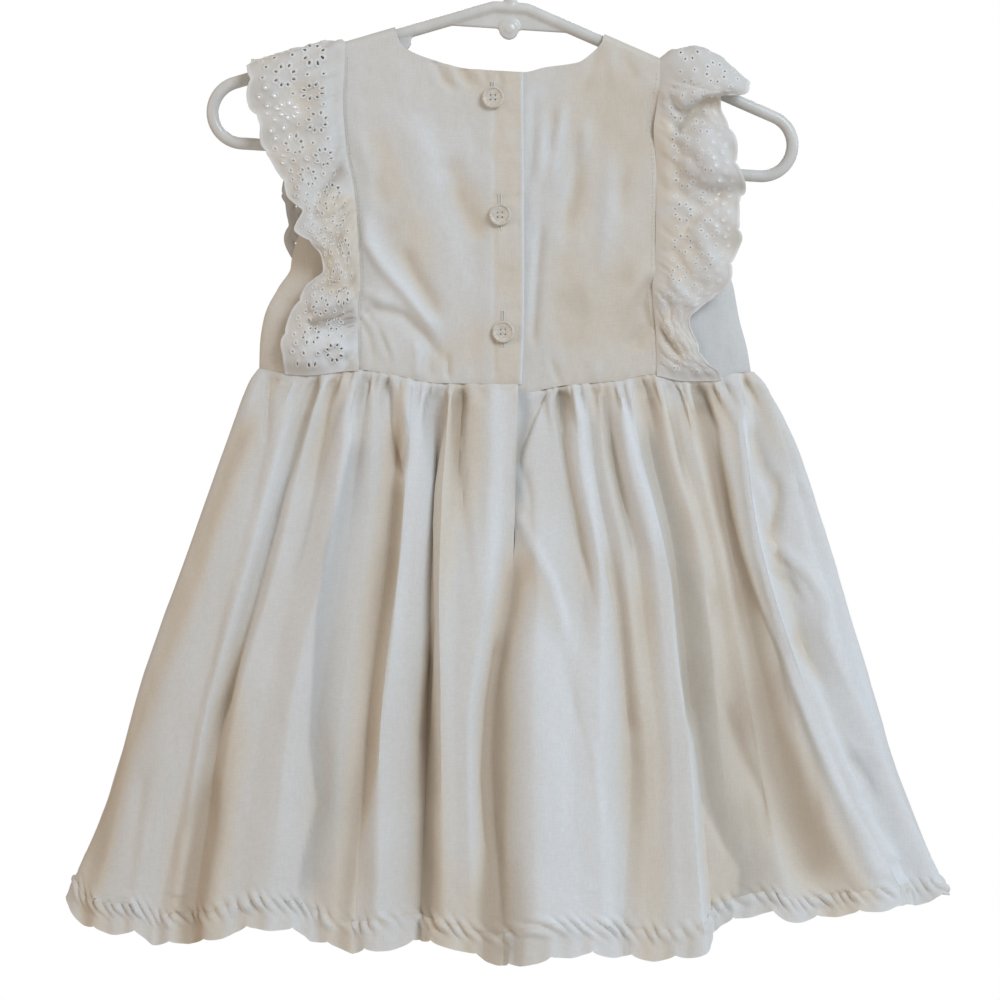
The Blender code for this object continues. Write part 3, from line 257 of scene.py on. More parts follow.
RAYS_OPEN = table_of(
    Ray, (0, 137.5, 30.5, 0, 1.5), (8, 137.5, 32, 9, 3), (15, 137, 36, 12, 3.2), (23, 137, 45, 14, 3),
    (31, 136, 56, 14, 2), (40, 130, 66, 16, 3), (49.5, 130.5, 75, 15, 2), (59, 125, 83, 17, 3),
    (68, 120, 93, 16, 2), (78.5, 116, 102, 17.5, 3), (86.5, 109, 110, 19.5, 4), (93, 112, 119, 18.5, 3),
    (101.5, 104, 126, 20, 4), (110.5, 99, 133, 19.5, 3), (121, 98, 139, 18, 2), (131.5, 102, 144, 16, 1),
    (139.5, 107, 149, 15.5, 1.5), (146, 111, 155, 16, 2), (153, 117, 167, 17, 2.5),
    (160, 120.5, 177, 16.5, 2.5), (167, 119, 185, 14, 2), (173, 120, 191, 10.5, 1.6),
)
RAYS_FLUTED = table_of(
    Ray, (0, 123, 39.5, 0, 10), (9, 125, 43.5, 7, 8.5), (16, 123.5, 47.5, 13, 7), (22, 110, 51.5, 16, 5),
    (27.5, 110.5, 57, 11, 2.5), (34, 113.5, 64, 10, 1.5), (41, 116.5, 71, 14, 3),
    (49.5, 117.5, 79, 16.5, 4), (57.5, 119, 87, 17.5, 4), (65.5, 121.5, 94.5, 15.5, 3),
    (72, 123, 100, 13, 2), (78, 119.5, 105.5, 14, 2), (85.5, 119, 113, 16.5, 3), (93, 121, 122, 18, 3),
    (101, 118.5, 130.5, 17, 3), (108, 116, 139, 17.5, 3), (114, 113.5, 147, 18.5, 3),
    (120.5, 108.5, 153, 18, 3), (126.5, 100.5, 158, 18, 2.5), (132, 95, 163.5, 17.5, 1.5),
    (138, 94, 169, 17.5, 1.2), (146, 97.5, 177.5, 19, 2), (153, 100, 184.5, 18, 2),
    (160, 104, 189.5, 15, 1.8), (165.5, 113, 193, 11, 1.6),
)
RAYS_TUCKED = table_of(
    Ray, (0, 123, 39.5, 0, 10), (10, 119, 43, 9, 8), (20, 112, 50, 17, 6), (30, 108, 58, 20, 5),
    (40, 109, 67, 17, 3), (50, 107, 77, 19, 4), (60, 110, 86, 16, 3), (70, 108, 96, 19, 4),
    (80, 111, 105, 17, 3), (90, 108, 115, 20, 4), (100, 110, 124, 17.5, 3), (110, 106, 134, 20, 4),
    (120, 104, 143, 18, 2.5), (130, 100, 152, 19, 2.5), (140, 101, 161, 17, 2), (150, 105, 171, 18, 2.5),
    (158, 108, 181, 15, 2), (165.5, 112, 190, 11, 1.6),
)
TRIM_DEPTHS = table_of(
    Depth, (-238, 8.5), (-224, 11.5), (-205, 12.4), (-60, 12.4), (-37, 8.5), (-10, 12.4), (15, 16.5),
    (28, 15.0), (45, 12.4), (90, 12.4), (114, 8.0), (214, 7.8), (223, 6.5), (229, 3.6),
)
BUTTONS = table_of(Edge, (-9.3, 50.6), (-5.6, 111.6), (-4.0, 172.5))


class Side(Enum):
    """A side of the dress as seen from its back."""

    LEFT = -1
    RIGHT = 1


class Face(Enum):
    """The dress's back or front."""

    BACK = -1
    FRONT = 1


class Cut(Enum):
    """The part of the dress that a waist or hem line belongs to."""

    BACK_LEFT = "left"
    BACK_RIGHT = "right"
    FRONT = "front"


# ---------------------------------------------------------------- reading tables


def smooth(keys: Sequence[float], values: ArrayLike, at: ArrayLike) -> Array:
    """Reads values between keys along curves that never overshoot, held level past the ends.

    Args:
        keys: Rising places of the values.
        values: One value or one row of values for each key.
        at: Where to read.

    Returns:
        The values at each place, with a last axis for rows of values.
    """
    keys = np.asarray(keys, float)
    values = np.asarray(values, float)
    at = np.clip(np.asarray(at, float), keys[0], keys[-1])
    extra = (1,) * (values.ndim - 1)
    gaps = np.diff(keys)
    rises = np.diff(values, axis=0) / gaps.reshape((-1,) + extra)
    slopes = np.empty_like(values)
    slopes[0] = rises[0]
    slopes[-1] = rises[-1]
    product = rises[:-1] * rises[1:]
    total = rises[:-1] + rises[1:]
    slopes[1:-1] = np.where(product > 0, 2 * product / np.where(product > 0, total, 1), 0)
    cell = np.clip(np.searchsorted(keys, at, side="right") - 1, 0, len(gaps) - 1)
    part = ((at - keys[cell]) / gaps[cell]).reshape(at.shape + extra)
    gap = gaps[cell].reshape(at.shape + extra)
    square = part * part
    cube = square * part
    return (
        values[cell] * (1 - 3 * square + 2 * cube)
        + values[cell + 1] * (3 * square - 2 * cube)
        + slopes[cell] * gap * (part - 2 * square + cube)
        + slopes[cell + 1] * gap * (cube - square)
    )


def lookup(table: Sequence[Any], key: str, value: str, at: ArrayLike) -> Array:
    """Reads one named column of a table against another.

    Args:
        table: Rows with named columns.
        key: The column of places.
        value: The column that is read.
        at: Where to read.

    Returns:
        The values at each place.
    """
    keys = [getattr(row, key) for row in table]
    return smooth(keys, [getattr(row, value) for row in table], at)


def ease(share: ArrayLike) -> Array:
    """A smooth step from 0 to 1."""
    share = np.clip(share, 0, 1)
    return share * share * (3 - 2 * share)


def unit(vectors: Array) -> Array:
    """The vectors at length 1."""
    return vectors / np.maximum(np.linalg.norm(vectors, axis=-1, keepdims=True), 1e-12)


def bell(distance: ArrayLike, width: ArrayLike) -> Array:
    """A soft bump of height 1."""
    return np.exp(-((distance / width) ** 2))


@dataclass(frozen=True)
class Wander:
    """Soft uneven waves along a line, the same on every run."""

    seed: int
    pitch: float

    def __call__(self, at: ArrayLike) -> Array:
        """The waves' height, from -1 to 1, at each place.

        Args:
            at: Places along the line.

        Returns:
            One height for each place.
        """
        values = np.random.default_rng(self.seed).uniform(-1, 1, 256)
        place = np.asarray(at, float) / self.pitch
        cell = np.floor(place).astype(int)
        share = ease(place - cell)
        return values[cell % 256] * (1 - share) + values[(cell + 1) % 256] * share


@dataclass(frozen=True)
class Crumple:
    """Soft uneven bumps over a surface, the same on every run."""

    seed: int
    across: float
    down: float

    def __call__(self, x: Array, y: Array) -> Array:
        """The bumps' height, from about -1 to 1.

        Args:
            x: Places along the first direction.
            y: Places along the second.

        Returns:
            One height for each place.
        """
        angle = np.random.default_rng(self.seed).uniform(0, 2 * math.pi, (128, 128))
        a = x / self.across
        b = y / self.down
        i = np.floor(a).astype(int)
        j = np.floor(b).astype(int)
        total = np.zeros(np.shape(a))
        for step_i in (0, 1):
            for step_j in (0, 1):
                turn = angle[(i + step_i) % 128, (j + step_j) % 128]
                off_a = a - i - step_i
                off_b = b - j - step_j
                weight = (1 - ease(np.abs(off_a))) * (1 - ease(np.abs(off_b)))
                total += weight * (np.cos(turn) * off_a + np.sin(turn) * off_b)
        return total * 1.5


class Layer(NamedTuple):
    """Crumples of one size: a step of the seed, their size across and down, and their height."""

    seed: int
    across: float
    down: float
    height: float


PANEL_CRUMPLES = table_of(Layer, (0, 15, 26, 0.6), (7, 5.5, 9, 0.2))
SIDE_CRUMPLES = table_of(Layer, (0, 12, 24, 0.7), (3, 5, 10, 0.2))
SKIRT_CRUMPLES = table_of(Layer, (0, 17, 46, 0.75), (1, 6.5, 15, 0.26), (2, 40, 30, 0.5))


def crumpled(layers: Sequence[Layer], seed: int, x: Array, drop: Array) -> Array:
    """The summed height of crumples of several sizes.

    Args:
        layers: The sizes.
        seed: The cloth's own seed.
        x: Places across.
        drop: Places down.

    Returns:
        One height for each place.
    """
    total = np.zeros(x.shape)
    for layer in layers:
        total += Crumple(seed + layer.seed, layer.across, layer.down)(x, drop) * layer.height
    return total


class Crease(NamedTuple):
    """A soft line in the cloth that runs through the (x, drop) points of its path.

    The cloth lies out (+) or in (-) by `lift` on the line, and falls back to nothing over the widths on the
    line's left and right. The lift grows from the path's start and fades towards its end.
    """

    path: tuple[tuple[float, float], ...]
    lift: float
    left: float = 3.0
    right: float = 3.0
    grow: float = 8.0
    fade: float = 20.0

    def height(self, x: Array, drop: Array) -> Array:
        """The crease's height at each place.

        Args:
            x: Places across.
            drop: Places down.

        Returns:
            One height for each place.
        """
        nearest = np.full(x.shape, np.inf)
        aside = np.zeros(x.shape)
        along = np.zeros(x.shape)
        done = 0.0
        for (x0, drop0), (x1, drop1) in zip(self.path, self.path[1:]):
            length = math.hypot(x1 - x0, drop1 - drop0)
            way = ((x1 - x0) / length, (drop1 - drop0) / length)
            run = (x - x0) * way[0] + (drop - drop0) * way[1]
            off = (x - x0) * way[1] - (drop - drop0) * way[0]
            inside = np.clip(run, 0, length)
            distance = np.hypot(off, run - inside)
            nearer = distance < nearest
            nearest = np.where(nearer, distance, nearest)
            aside = np.where(nearer, off, aside)
            along = np.where(nearer, done + inside, along)
            done += length
        width = np.where(aside < 0, self.left, self.right)
        ends = ease(along / max(self.grow, 1e-6)) * ease((done - along) / max(self.fade, 1e-6))
        return self.lift * np.where(self.grow <= 0, 1.0, ends) * bell(nearest, width)


def relief(creases: Sequence[Crease], x: Array, drop: Array) -> Array:
    """The summed height of creases.

    Args:
        creases: The creases.
        x: Places across.
        drop: Places down.

    Returns:
        One height for each place.
    """
    total = np.zeros(x.shape)
    for crease in creases:
        margin = 3 * max(crease.left, crease.right)
        xs = [point[0] for point in crease.path]
        drops = [point[1] for point in crease.path]
        near = (x > min(xs) - margin) & (x < max(xs) + margin)
        near &= (drop > min(drops) - margin) & (drop < max(drops) + margin)
        total[near] += crease.height(x[near], drop[near])
    return total


# ---------------------------------------------------------------- finishes


class Wire:
    """A value in a shader, on which ordinary arithmetic adds Math nodes."""

    def __init__(self, nodes: "Nodes", socket: bpy.types.NodeSocket) -> None:
        """Wraps an output socket of a node."""
        self.nodes = nodes
        self.socket = socket

    def math(self, operation: str, *values: Any) -> "Wire":
        """A Math node on this value and others, in that order."""
        return self.nodes.add("Math", {"operation": operation}, dict(enumerate((self, *values))))

    def __add__(self, other: Any) -> "Wire":
        """This value plus another."""
        return self.math("ADD", other)

    def __sub__(self, other: Any) -> "Wire":
        """This value less another."""
        return self.math("SUBTRACT", other)

    def __rsub__(self, other: float) -> "Wire":
        """A number less this value."""
        return self.nodes.add("Math", {"operation": "SUBTRACT"}, {0: other, 1: self})

    def __mul__(self, other: Any) -> "Wire":
        """This value times another."""
        return self.math("MULTIPLY", other)

    __radd__ = __add__
    __rmul__ = __mul__

    def ramp(self, low: float, high: float) -> "Wire":
        """0 below `low`, 1 above `high` and a smooth step between them."""
        settings = {"interpolation_type": "SMOOTHSTEP"}
        return self.nodes.add("MapRange", settings, {"Value": self, "From Min": low, "From Max": high})


class Nodes:
    """A node tree to which nodes are added."""

    def __init__(self, tree: bpy.types.NodeTree) -> None:
        """Wraps a tree."""
        self.tree = tree

    def add(self, kind: str, settings: dict[str, Any], sockets: dict[Any, Any], output: Any = 0) -> Wire:
        """Adds a node.

        Args:
            kind: The node's type without its ShaderNode prefix.
            settings: Properties of the node, set first.
            sockets: Values or wires of its inputs, by name or number.
            output: The output that is wanted, by name or number.

        Returns:
            That output.
        """
        node = self.tree.nodes.new(f"ShaderNode{kind}")
        for name, value in settings.items():
            setattr(node, name, value)
        for name, value in sockets.items():
            if isinstance(value, Wire):
                self.tree.links.new(value.socket, node.inputs[name])
            else:
                node.inputs[name].default_value = value
        return Wire(self, node.outputs[output])


class Shader(Nodes):
    """A material's node tree about one Principled shader."""

    def __init__(self, name: str) -> None:
        """Makes a material with a Principled shader of its own.

        Args:
            name: The material's name.
        """
        self.material = bpy.data.materials.new(name)
        self.material.use_nodes = True
        super().__init__(self.material.node_tree)
        self.principled = self.tree.nodes["Principled BSDF"]

    def mix(self, share: Any, first: Any, second: Any) -> Wire:
        """A colour between two colours."""
        return self.add("Mix", {"data_type": "RGBA"}, {0: share, 6: first, 7: second}, 2)

    def tint(self, colour: Wire, by: Wire) -> Wire:
        """A colour times another."""
        return self.add("Mix", {"data_type": "RGBA", "blend_type": "MULTIPLY"}, {0: 1.0, 6: colour, 7: by}, 2)

    def noise(self, scale: float, stretch: tuple[float, float, float] = (1, 1, 1), detail: float = 2) -> Wire:
        """Soft noise over the object's own space, `scale` features a metre, stretched by direction.

        Args:
            scale: Features a metre.
            stretch: How much closer they lie along X, Y and Z.
            detail: How many finer layers it has.

        Returns:
            The noise, about 0.5.
        """
        place = self.add("TexCoord", {}, {}, "Object")
        mapping = self.add("Mapping", {}, {"Vector": place, "Scale": stretch})
        return self.add("TexNoise", {}, {"Vector": mapping, "Scale": scale, "Detail": detail})

    def attribute(self, name: str) -> Wire:
        """A named value that the mesh carries at its points."""
        return self.add("Attribute", {"attribute_name": name}, {}, "Fac")

    def bump(self, height: Wire, strength: float, distance: float) -> None:
        """Feeds the Principled shader's normal from a height in which 1 stands for `distance` metres."""
        made = self.add("Bump", {}, {"Height": height, "Strength": strength, "Distance": distance})
        self.feed("Normal", made)

    def feed(self, socket: str, value: Any) -> None:
        """Sets or links an input of the Principled shader.

        Args:
            socket: The input's name.
            value: A value or a wire.
        """
        if isinstance(value, Wire):
            self.tree.links.new(value.socket, self.principled.inputs[socket])
        else:
            self.principled.inputs[socket].default_value = value


class Finish(Protocol):
    """What dresses a piece: its material, and the slot that the material stands for."""

    slot: str

    def material(self, name: str) -> bpy.types.Material:
        """A material of this finish for one piece."""


@dataclass(frozen=True)
class Cotton:
    """Plain woven cotton: painted bluish light on what stands out, a tan tint where it is doubled, and tan
    painted shade in hollows.
    """

    slot: str = "cotton"
    painted_light_blue: Colour = (0.86, 0.885, 0.91, 1)
    light: Colour = (0.80, 0.80, 0.79, 1)
    tan: Colour = (0.80, 0.74, 0.65, 1)
    painted_shade_brown: Colour = (0.60, 0.51, 0.41, 1)
    rough: float = 0.92
    sheen: float = 0.12
    weave: float = 0.00012
    wrinkle: float = 0.0007

    def ground(self, shader: Shader) -> Wire:
        """The cloth's colour: bluish white to tan and dark tan with its warmth, mostly painted light and
        shade, and greyer with its painted shade.

        Args:
            shader: The material's shader.

        Returns:
            The colour.
        """
        # The warmth attribute is mostly painted light and shade: below zero a lit bluish white, above it tan
        # and then dark tan
        tone = shader.attribute("warm") + (shader.noise(14, detail=3) - 0.5) * 0.3
        white = shader.mix(tone.ramp(-0.5, 0.1), self.painted_light_blue, self.light)
        tanned = shader.mix(tone.ramp(0.0, 0.62), white, self.tan)
        colour = shader.mix(tone.ramp(0.4, 1.15), tanned, self.painted_shade_brown)
        # painted shade: greyer where the shade attribute says shade falls
        grey = shader.mix(shader.attribute("shade").ramp(0.0, 1.0), WHITE, (0.60, 0.62, 0.64, 1))
        return shader.tint(colour, grey)

    def material(self, name: str) -> bpy.types.Material:
        """A material of this finish for one piece.

        Args:
            name: The piece's name.

        Returns:
            The material.
        """
        shader = Shader(f"{name}_{self.slot}")
        slubs = shader.noise(260, (1, 1, 9), 3) + shader.noise(230, (6, 6, 1), 3)
        weave = shader.mix(slubs.ramp(0.75, 1.25), (0.94, 0.94, 0.94, 1), WHITE)
        shader.feed("Base Color", shader.tint(self.ground(shader), weave))
        threads = shader.noise(1500, (1, 1, 4), 1) + shader.noise(1500, (4, 4, 1), 1)
        soft = shader.noise(120, (1, 1, 0.6), 3) * (self.wrinkle / self.weave)
        shader.bump(threads * 0.5 + soft, 0.35, self.weave)
        shader.feed("Roughness", self.rough)
        shader.feed("Sheen Weight", self.sheen)
        shader.feed("Sheen Roughness", 0.5)
        shader.feed("Specular IOR Level", 0.25)
        return shader.material


@dataclass(frozen=True)
class EyeletCotton(Cotton):
    """White cotton whose eyelets and scalloped edge are worked in a closer, whiter thread."""

    slot: str = "eyelet_cotton"
    painted_light_blue: Colour = (0.82, 0.84, 0.86, 1)
    light: Colour = (0.745, 0.74, 0.73, 1)
    thread: Colour = (0.86, 0.86, 0.855, 1)

    def material(self, name: str) -> bpy.types.Material:
        """A material of this finish for one piece.

        Args:
            name: The piece's name.

        Returns:
            The material.
        """
        shader = Shader(f"{name}_{self.slot}")
        stitched = shader.attribute("stitched")
        # the ground colour carries the same painted light and shade as plain cotton; the thread is its own
        # whiter colour
        shader.feed("Base Color", shader.mix(stitched, self.ground(shader), self.thread))
        satin = shader.noise(2600, (1, 1, 1), 1)
        soft = shader.noise(200, (1, 1, 1), 3) * 4
        shader.bump(satin * (stitched * 1.5 + 0.5) + soft, 0.35, self.weave)
        shader.feed("Roughness", 0.9 - stitched * 0.3)
        shader.feed("Sheen Weight", self.sheen)
        shader.feed("Specular IOR Level", 0.25)
        return shader.material


@dataclass(frozen=True)
class ButtonPlastic:
    """Cream pearly plastic with faint cloudy swirls."""

    slot: str = "button_plastic"

    def material(self, name: str) -> bpy.types.Material:
        """A material of this finish for one piece.

        Args:
            name: The piece's name.

        Returns:
            The material.
        """
        shader = Shader(f"{name}_{self.slot}")
        cloud = shader.noise(420, (1, 1, 2.2), 4)
        cream = shader.mix(cloud.ramp(0.35, 0.65), (0.68, 0.63, 0.55, 1), (0.80, 0.76, 0.69, 1))
        shader.feed("Base Color", cream)
        shader.feed("Roughness", cloud * 0.15 + 0.25)
        shader.feed("Coat Weight", 0.4)
        shader.feed("Coat Roughness", 0.12)
        shader.bump(cloud, 0.2, 0.0001)
        return shader.material


@dataclass(frozen=True)
class HangerPlastic:
    """Glossy white moulded plastic with a slightly uneven skin."""

    slot: str = "hanger_plastic"

    def material(self, name: str) -> bpy.types.Material:
        """A material of this finish for one piece.

        Args:
            name: The piece's name.

        Returns:
            The material.
        """
        shader = Shader(f"{name}_{self.slot}")
        scuffs = shader.noise(90, (1, 1, 1), 4)
        white = shader.mix(scuffs.ramp(0.3, 0.7), (0.74, 0.74, 0.72, 1), (0.80, 0.80, 0.79, 1))
        shader.feed("Base Color", white)
        shader.feed("Roughness", scuffs.ramp(0.3, 0.8) * 0.15 + 0.22)
        shader.bump(shader.noise(260, (1, 1, 1), 2), 0.25, 0.0002)
        return shader.material


@dataclass(frozen=True)
class Thread:
    """Twisted cotton thread."""

    slot: str = "cotton"
    colour: Colour = (0.84, 0.83, 0.80, 1)

    def material(self, name: str) -> bpy.types.Material:
        """A material of this finish for one piece.

        Args:
            name: The piece's name.

        Returns:
            The material.
        """
        shader = Shader(f"{name}_thread")
        twist = shader.noise(3200, (1, 1, 2.5), 1)
        dark = tuple(0.82 * part for part in self.colour[:3]) + (1.0,)
        shader.feed("Base Color", shader.mix(twist.ramp(0.3, 0.7), dark, self.colour))
        shader.feed("Roughness", 0.7)
        shader.bump(twist, 0.4, 0.00008)
        return shader.material


# ---------------------------------------------------------------- meshes


def faces_of(index: Array) -> Array:
    """Four-sided faces of a grid of point numbers."""
    corners = (index[:-1, :-1], index[1:, :-1], index[1:, 1:], index[:-1, 1:])
    return np.stack([corner.reshape(-1) for corner in corners], axis=1)


def directions(points: Array, faces: Array) -> Array:
    """The points' directions outward, as the faces about them have it.

    Args:
        points: The points.
        faces: Their faces.

    Returns:
        One direction for each point.
    """
    corners = [points[column] for column in faces.T]
    if len(corners) == 4:
        across = np.cross(corners[2] - corners[0], corners[3] - corners[1])
    else:
        across = np.cross(corners[1] - corners[0], corners[2] - corners[0])
    total = np.zeros_like(points)
    for column in faces.T:
        np.add.at(total, column, across)
    return unit(total)


def open_edges(faces: Array) -> Array:
    """Directed edges that only one face uses.

    Args:
        faces: Faces by point number.

    Returns:
        The edges as pairs of point numbers.
    """
    sides = faces.shape[1]
    ends = np.concatenate([np.stack([faces[:, i], faces[:, (i + 1) % sides]], axis=1) for i in range(sides)])
    _, index, count = np.unique(np.sort(ends, axis=1), axis=0, return_inverse=True, return_counts=True)
    return ends[count[index.reshape(-1)] == 1]


def make_object(name: str, points: Array, faces: list[list[int]], finish: Finish, sharp: float = 50) -> Piece:
    """Makes a smooth-shaded piece and dresses it.

    Args:
        name: The piece's name.
        points: Its points in metres.
        faces: Its faces.
        finish: The finish that gives its material.
        sharp: The angle in degrees from which an edge stays sharp.

    Returns:
        The piece's object, which rides on the dress's one body.
    """
    mesh = bpy.data.meshes.new(name)
    mesh.from_pydata(np.asarray(points).tolist(), [], faces)
    mesh.materials.append(finish.material(name))
    mesh.shade_smooth()
    mesh.set_sharp_from_angle(angle=math.radians(sharp))
    piece = bpy.data.objects.new(name, mesh)
    bpy.context.scene.collection.objects.link(piece)
    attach(piece, "root")
    LOG.info("%s: %d faces", name, len(faces))
    return piece


def plain_object(name: str, form: Form) -> Piece:
    """Makes a plain object from a form.

    Args:
        name: The object's name.
        form: The form, which is freed.

    Returns:
        The object.
    """
    mesh = bpy.data.meshes.new(name)
    form.to_mesh(mesh)
    form.free()
    made = bpy.data.objects.new(name, mesh)
    bpy.context.scene.collection.objects.link(made)
    return made


def evaluated(made: Piece) -> tuple[Array, list[list[int]]]:
    """Reads an object with its modifiers applied.

    Args:
        made: The object.

    Returns:
        Its points and its faces.
    """
    done = made.evaluated_get(bpy.context.evaluated_depsgraph_get()).to_mesh()
    points = np.zeros(len(done.vertices) * 3)
    done.vertices.foreach_get("co", points)
    return points.reshape(-1, 3), [list(face.vertices) for face in done.polygons]


def renumbered(faces: Array, count: int) -> tuple[Array, Array]:
    """Leaves out the points that no face uses.

    Args:
        faces: Faces by point number.
        count: How many points there are.

    Returns:
        The numbers of the points that stay, and the faces by the new numbers.
    """
    used = np.unique(faces)
    number = np.zeros(count, int)
    number[used] = np.arange(len(used))
    return used, number[faces]


def lengths_along(points: Array) -> Array:
    """The length along a line of points, at each of them."""
    return np.concatenate([[0], np.cumsum(np.linalg.norm(np.diff(points, axis=0), axis=1))])


def read_along(length: Array, values: Array, at: Array) -> Array:
    """Rows of three values at places along a line, whose points have the lengths and values given."""
    return np.stack([np.interp(at, length, values[:, axis]) for axis in range(3)], axis=-1)


@dataclass
class Cloth:
    """A sheet of points and faces in millimetres of the dress, with values at its points."""

    points: Array
    faces: Array
    outward: Array
    values: dict[str, Array] = field(default_factory=dict)

    @classmethod
    def of_grid(cls, points: Array, outward: Array, **values: Array) -> "Cloth":
        """A sheet from grids of points, directions and values.

        Args:
            points: The grid's points.
            outward: Its directions outward.
            values: Named values at its points.

        Returns:
            The sheet.
        """
        rows, columns = points.shape[:2]
        index = np.arange(rows * columns).reshape(rows, columns)
        flat = {name: value.reshape(-1) for name, value in values.items()}
        return cls(points.reshape(-1, 3), faces_of(index), outward.reshape(-1, 3), flat)

    def turned(self) -> tuple[Array, Array]:
        """Turns the faces outward.

        Returns:
            The faces, and the points' directions outward as the faces have it.
        """
        out = directions(self.points, self.faces)
        if np.einsum("ij,ij->i", out, self.outward).sum() < 0:
            return self.faces[:, ::-1], -out
        return self.faces, out

    def shell(self, name: str, finish: Finish, thick: float = 0.6) -> Piece:
        """A closed shell about the sheet.

        Args:
            name: The piece's name.
            finish: Its finish.
            thick: The cloth's thickness.

        Returns:
            The piece's object.
        """
        faces, out = self.turned()
        edges = open_edges(faces)
        inner = len(self.points)
        rim = np.stack([edges[:, 1], edges[:, 0], edges[:, 0] + inner, edges[:, 1] + inner], axis=1)
        both = np.concatenate([self.points + out * thick / 2, self.points - out * thick / 2])
        listed = faces.tolist() + (faces[:, ::-1] + inner).tolist() + rim.tolist()
        piece = make_object(name, (both + APEX) * MM, listed, finish)
        for key, value in self.values.items():
            attribute = piece.data.attributes.new(key, "FLOAT", "POINT")
            attribute.data.foreach_set("value", np.concatenate([value, value]).astype(np.float32))
        return piece


def capsules(
    starts: Array, ends: Array, outward: Array, radius: float, sink: float = 0.35
) -> tuple[Array, list[list[int]]]:
    """Small rounded bars that lie on a surface, such as stitches.

    Args:
        starts: Where each bar begins, on the surface.
        ends: Where each bar ends.
        outward: The surface's direction outward at each bar.
        radius: The bars' radius.
        sink: How far the bars' ends dip in, in radii.

    Returns:
        The points and the faces of all bars.
    """
    way = ends - starts
    along = unit(way)
    aside = unit(np.cross(along, outward))
    up = np.cross(aside, along)
    stations = (
        (0.0, 0.45, -sink), (0.18, 0.95, 0.3), (0.5, 1.0, 0.55), (0.82, 0.95, 0.3), (1.0, 0.45, -sink),
    )
    sides = 6
    turns = np.linspace(0, 2 * math.pi, sides, endpoint=False)
    rings = []
    for share, width, rise in stations:
        centre = starts + way * share + outward * radius * rise
        ring = centre[:, None] + radius * width * (
            aside[:, None] * np.cos(turns)[None, :, None] + up[:, None] * np.sin(turns)[None, :, None]
        )
        rings.append(ring)
    points = np.stack(rings, axis=1).reshape(len(starts), -1, 3)
    index = np.arange(len(stations) * sides).reshape(len(stations), sides)
    index = np.concatenate([index, index[:, :1]], axis=1)
    template = faces_of(index).tolist() + [index[0, :-1].tolist(), index[-1, -2::-1].tolist()]
    size = len(stations) * sides
    faces = [[corner + bar * size for corner in face] for bar in range(len(starts)) for face in template]
    return points.reshape(-1, 3), faces


# ---------------------------------------------------------------- hanger


def tilted(points: Array, tilt: float) -> Array:
    """Points turned about the hook's resting point by the hanger's tilt, as seen from the back.

    Args:
        points: The points.
        tilt: The angle.

    Returns:
        The turned points.
    """
    turned = points.copy()
    turned[:, 0] = points[:, 0] * math.cos(tilt) + points[:, 2] * math.sin(tilt)
    turned[:, 2] = points[:, 2] * math.cos(tilt) - points[:, 0] * math.sin(tilt)
    return turned


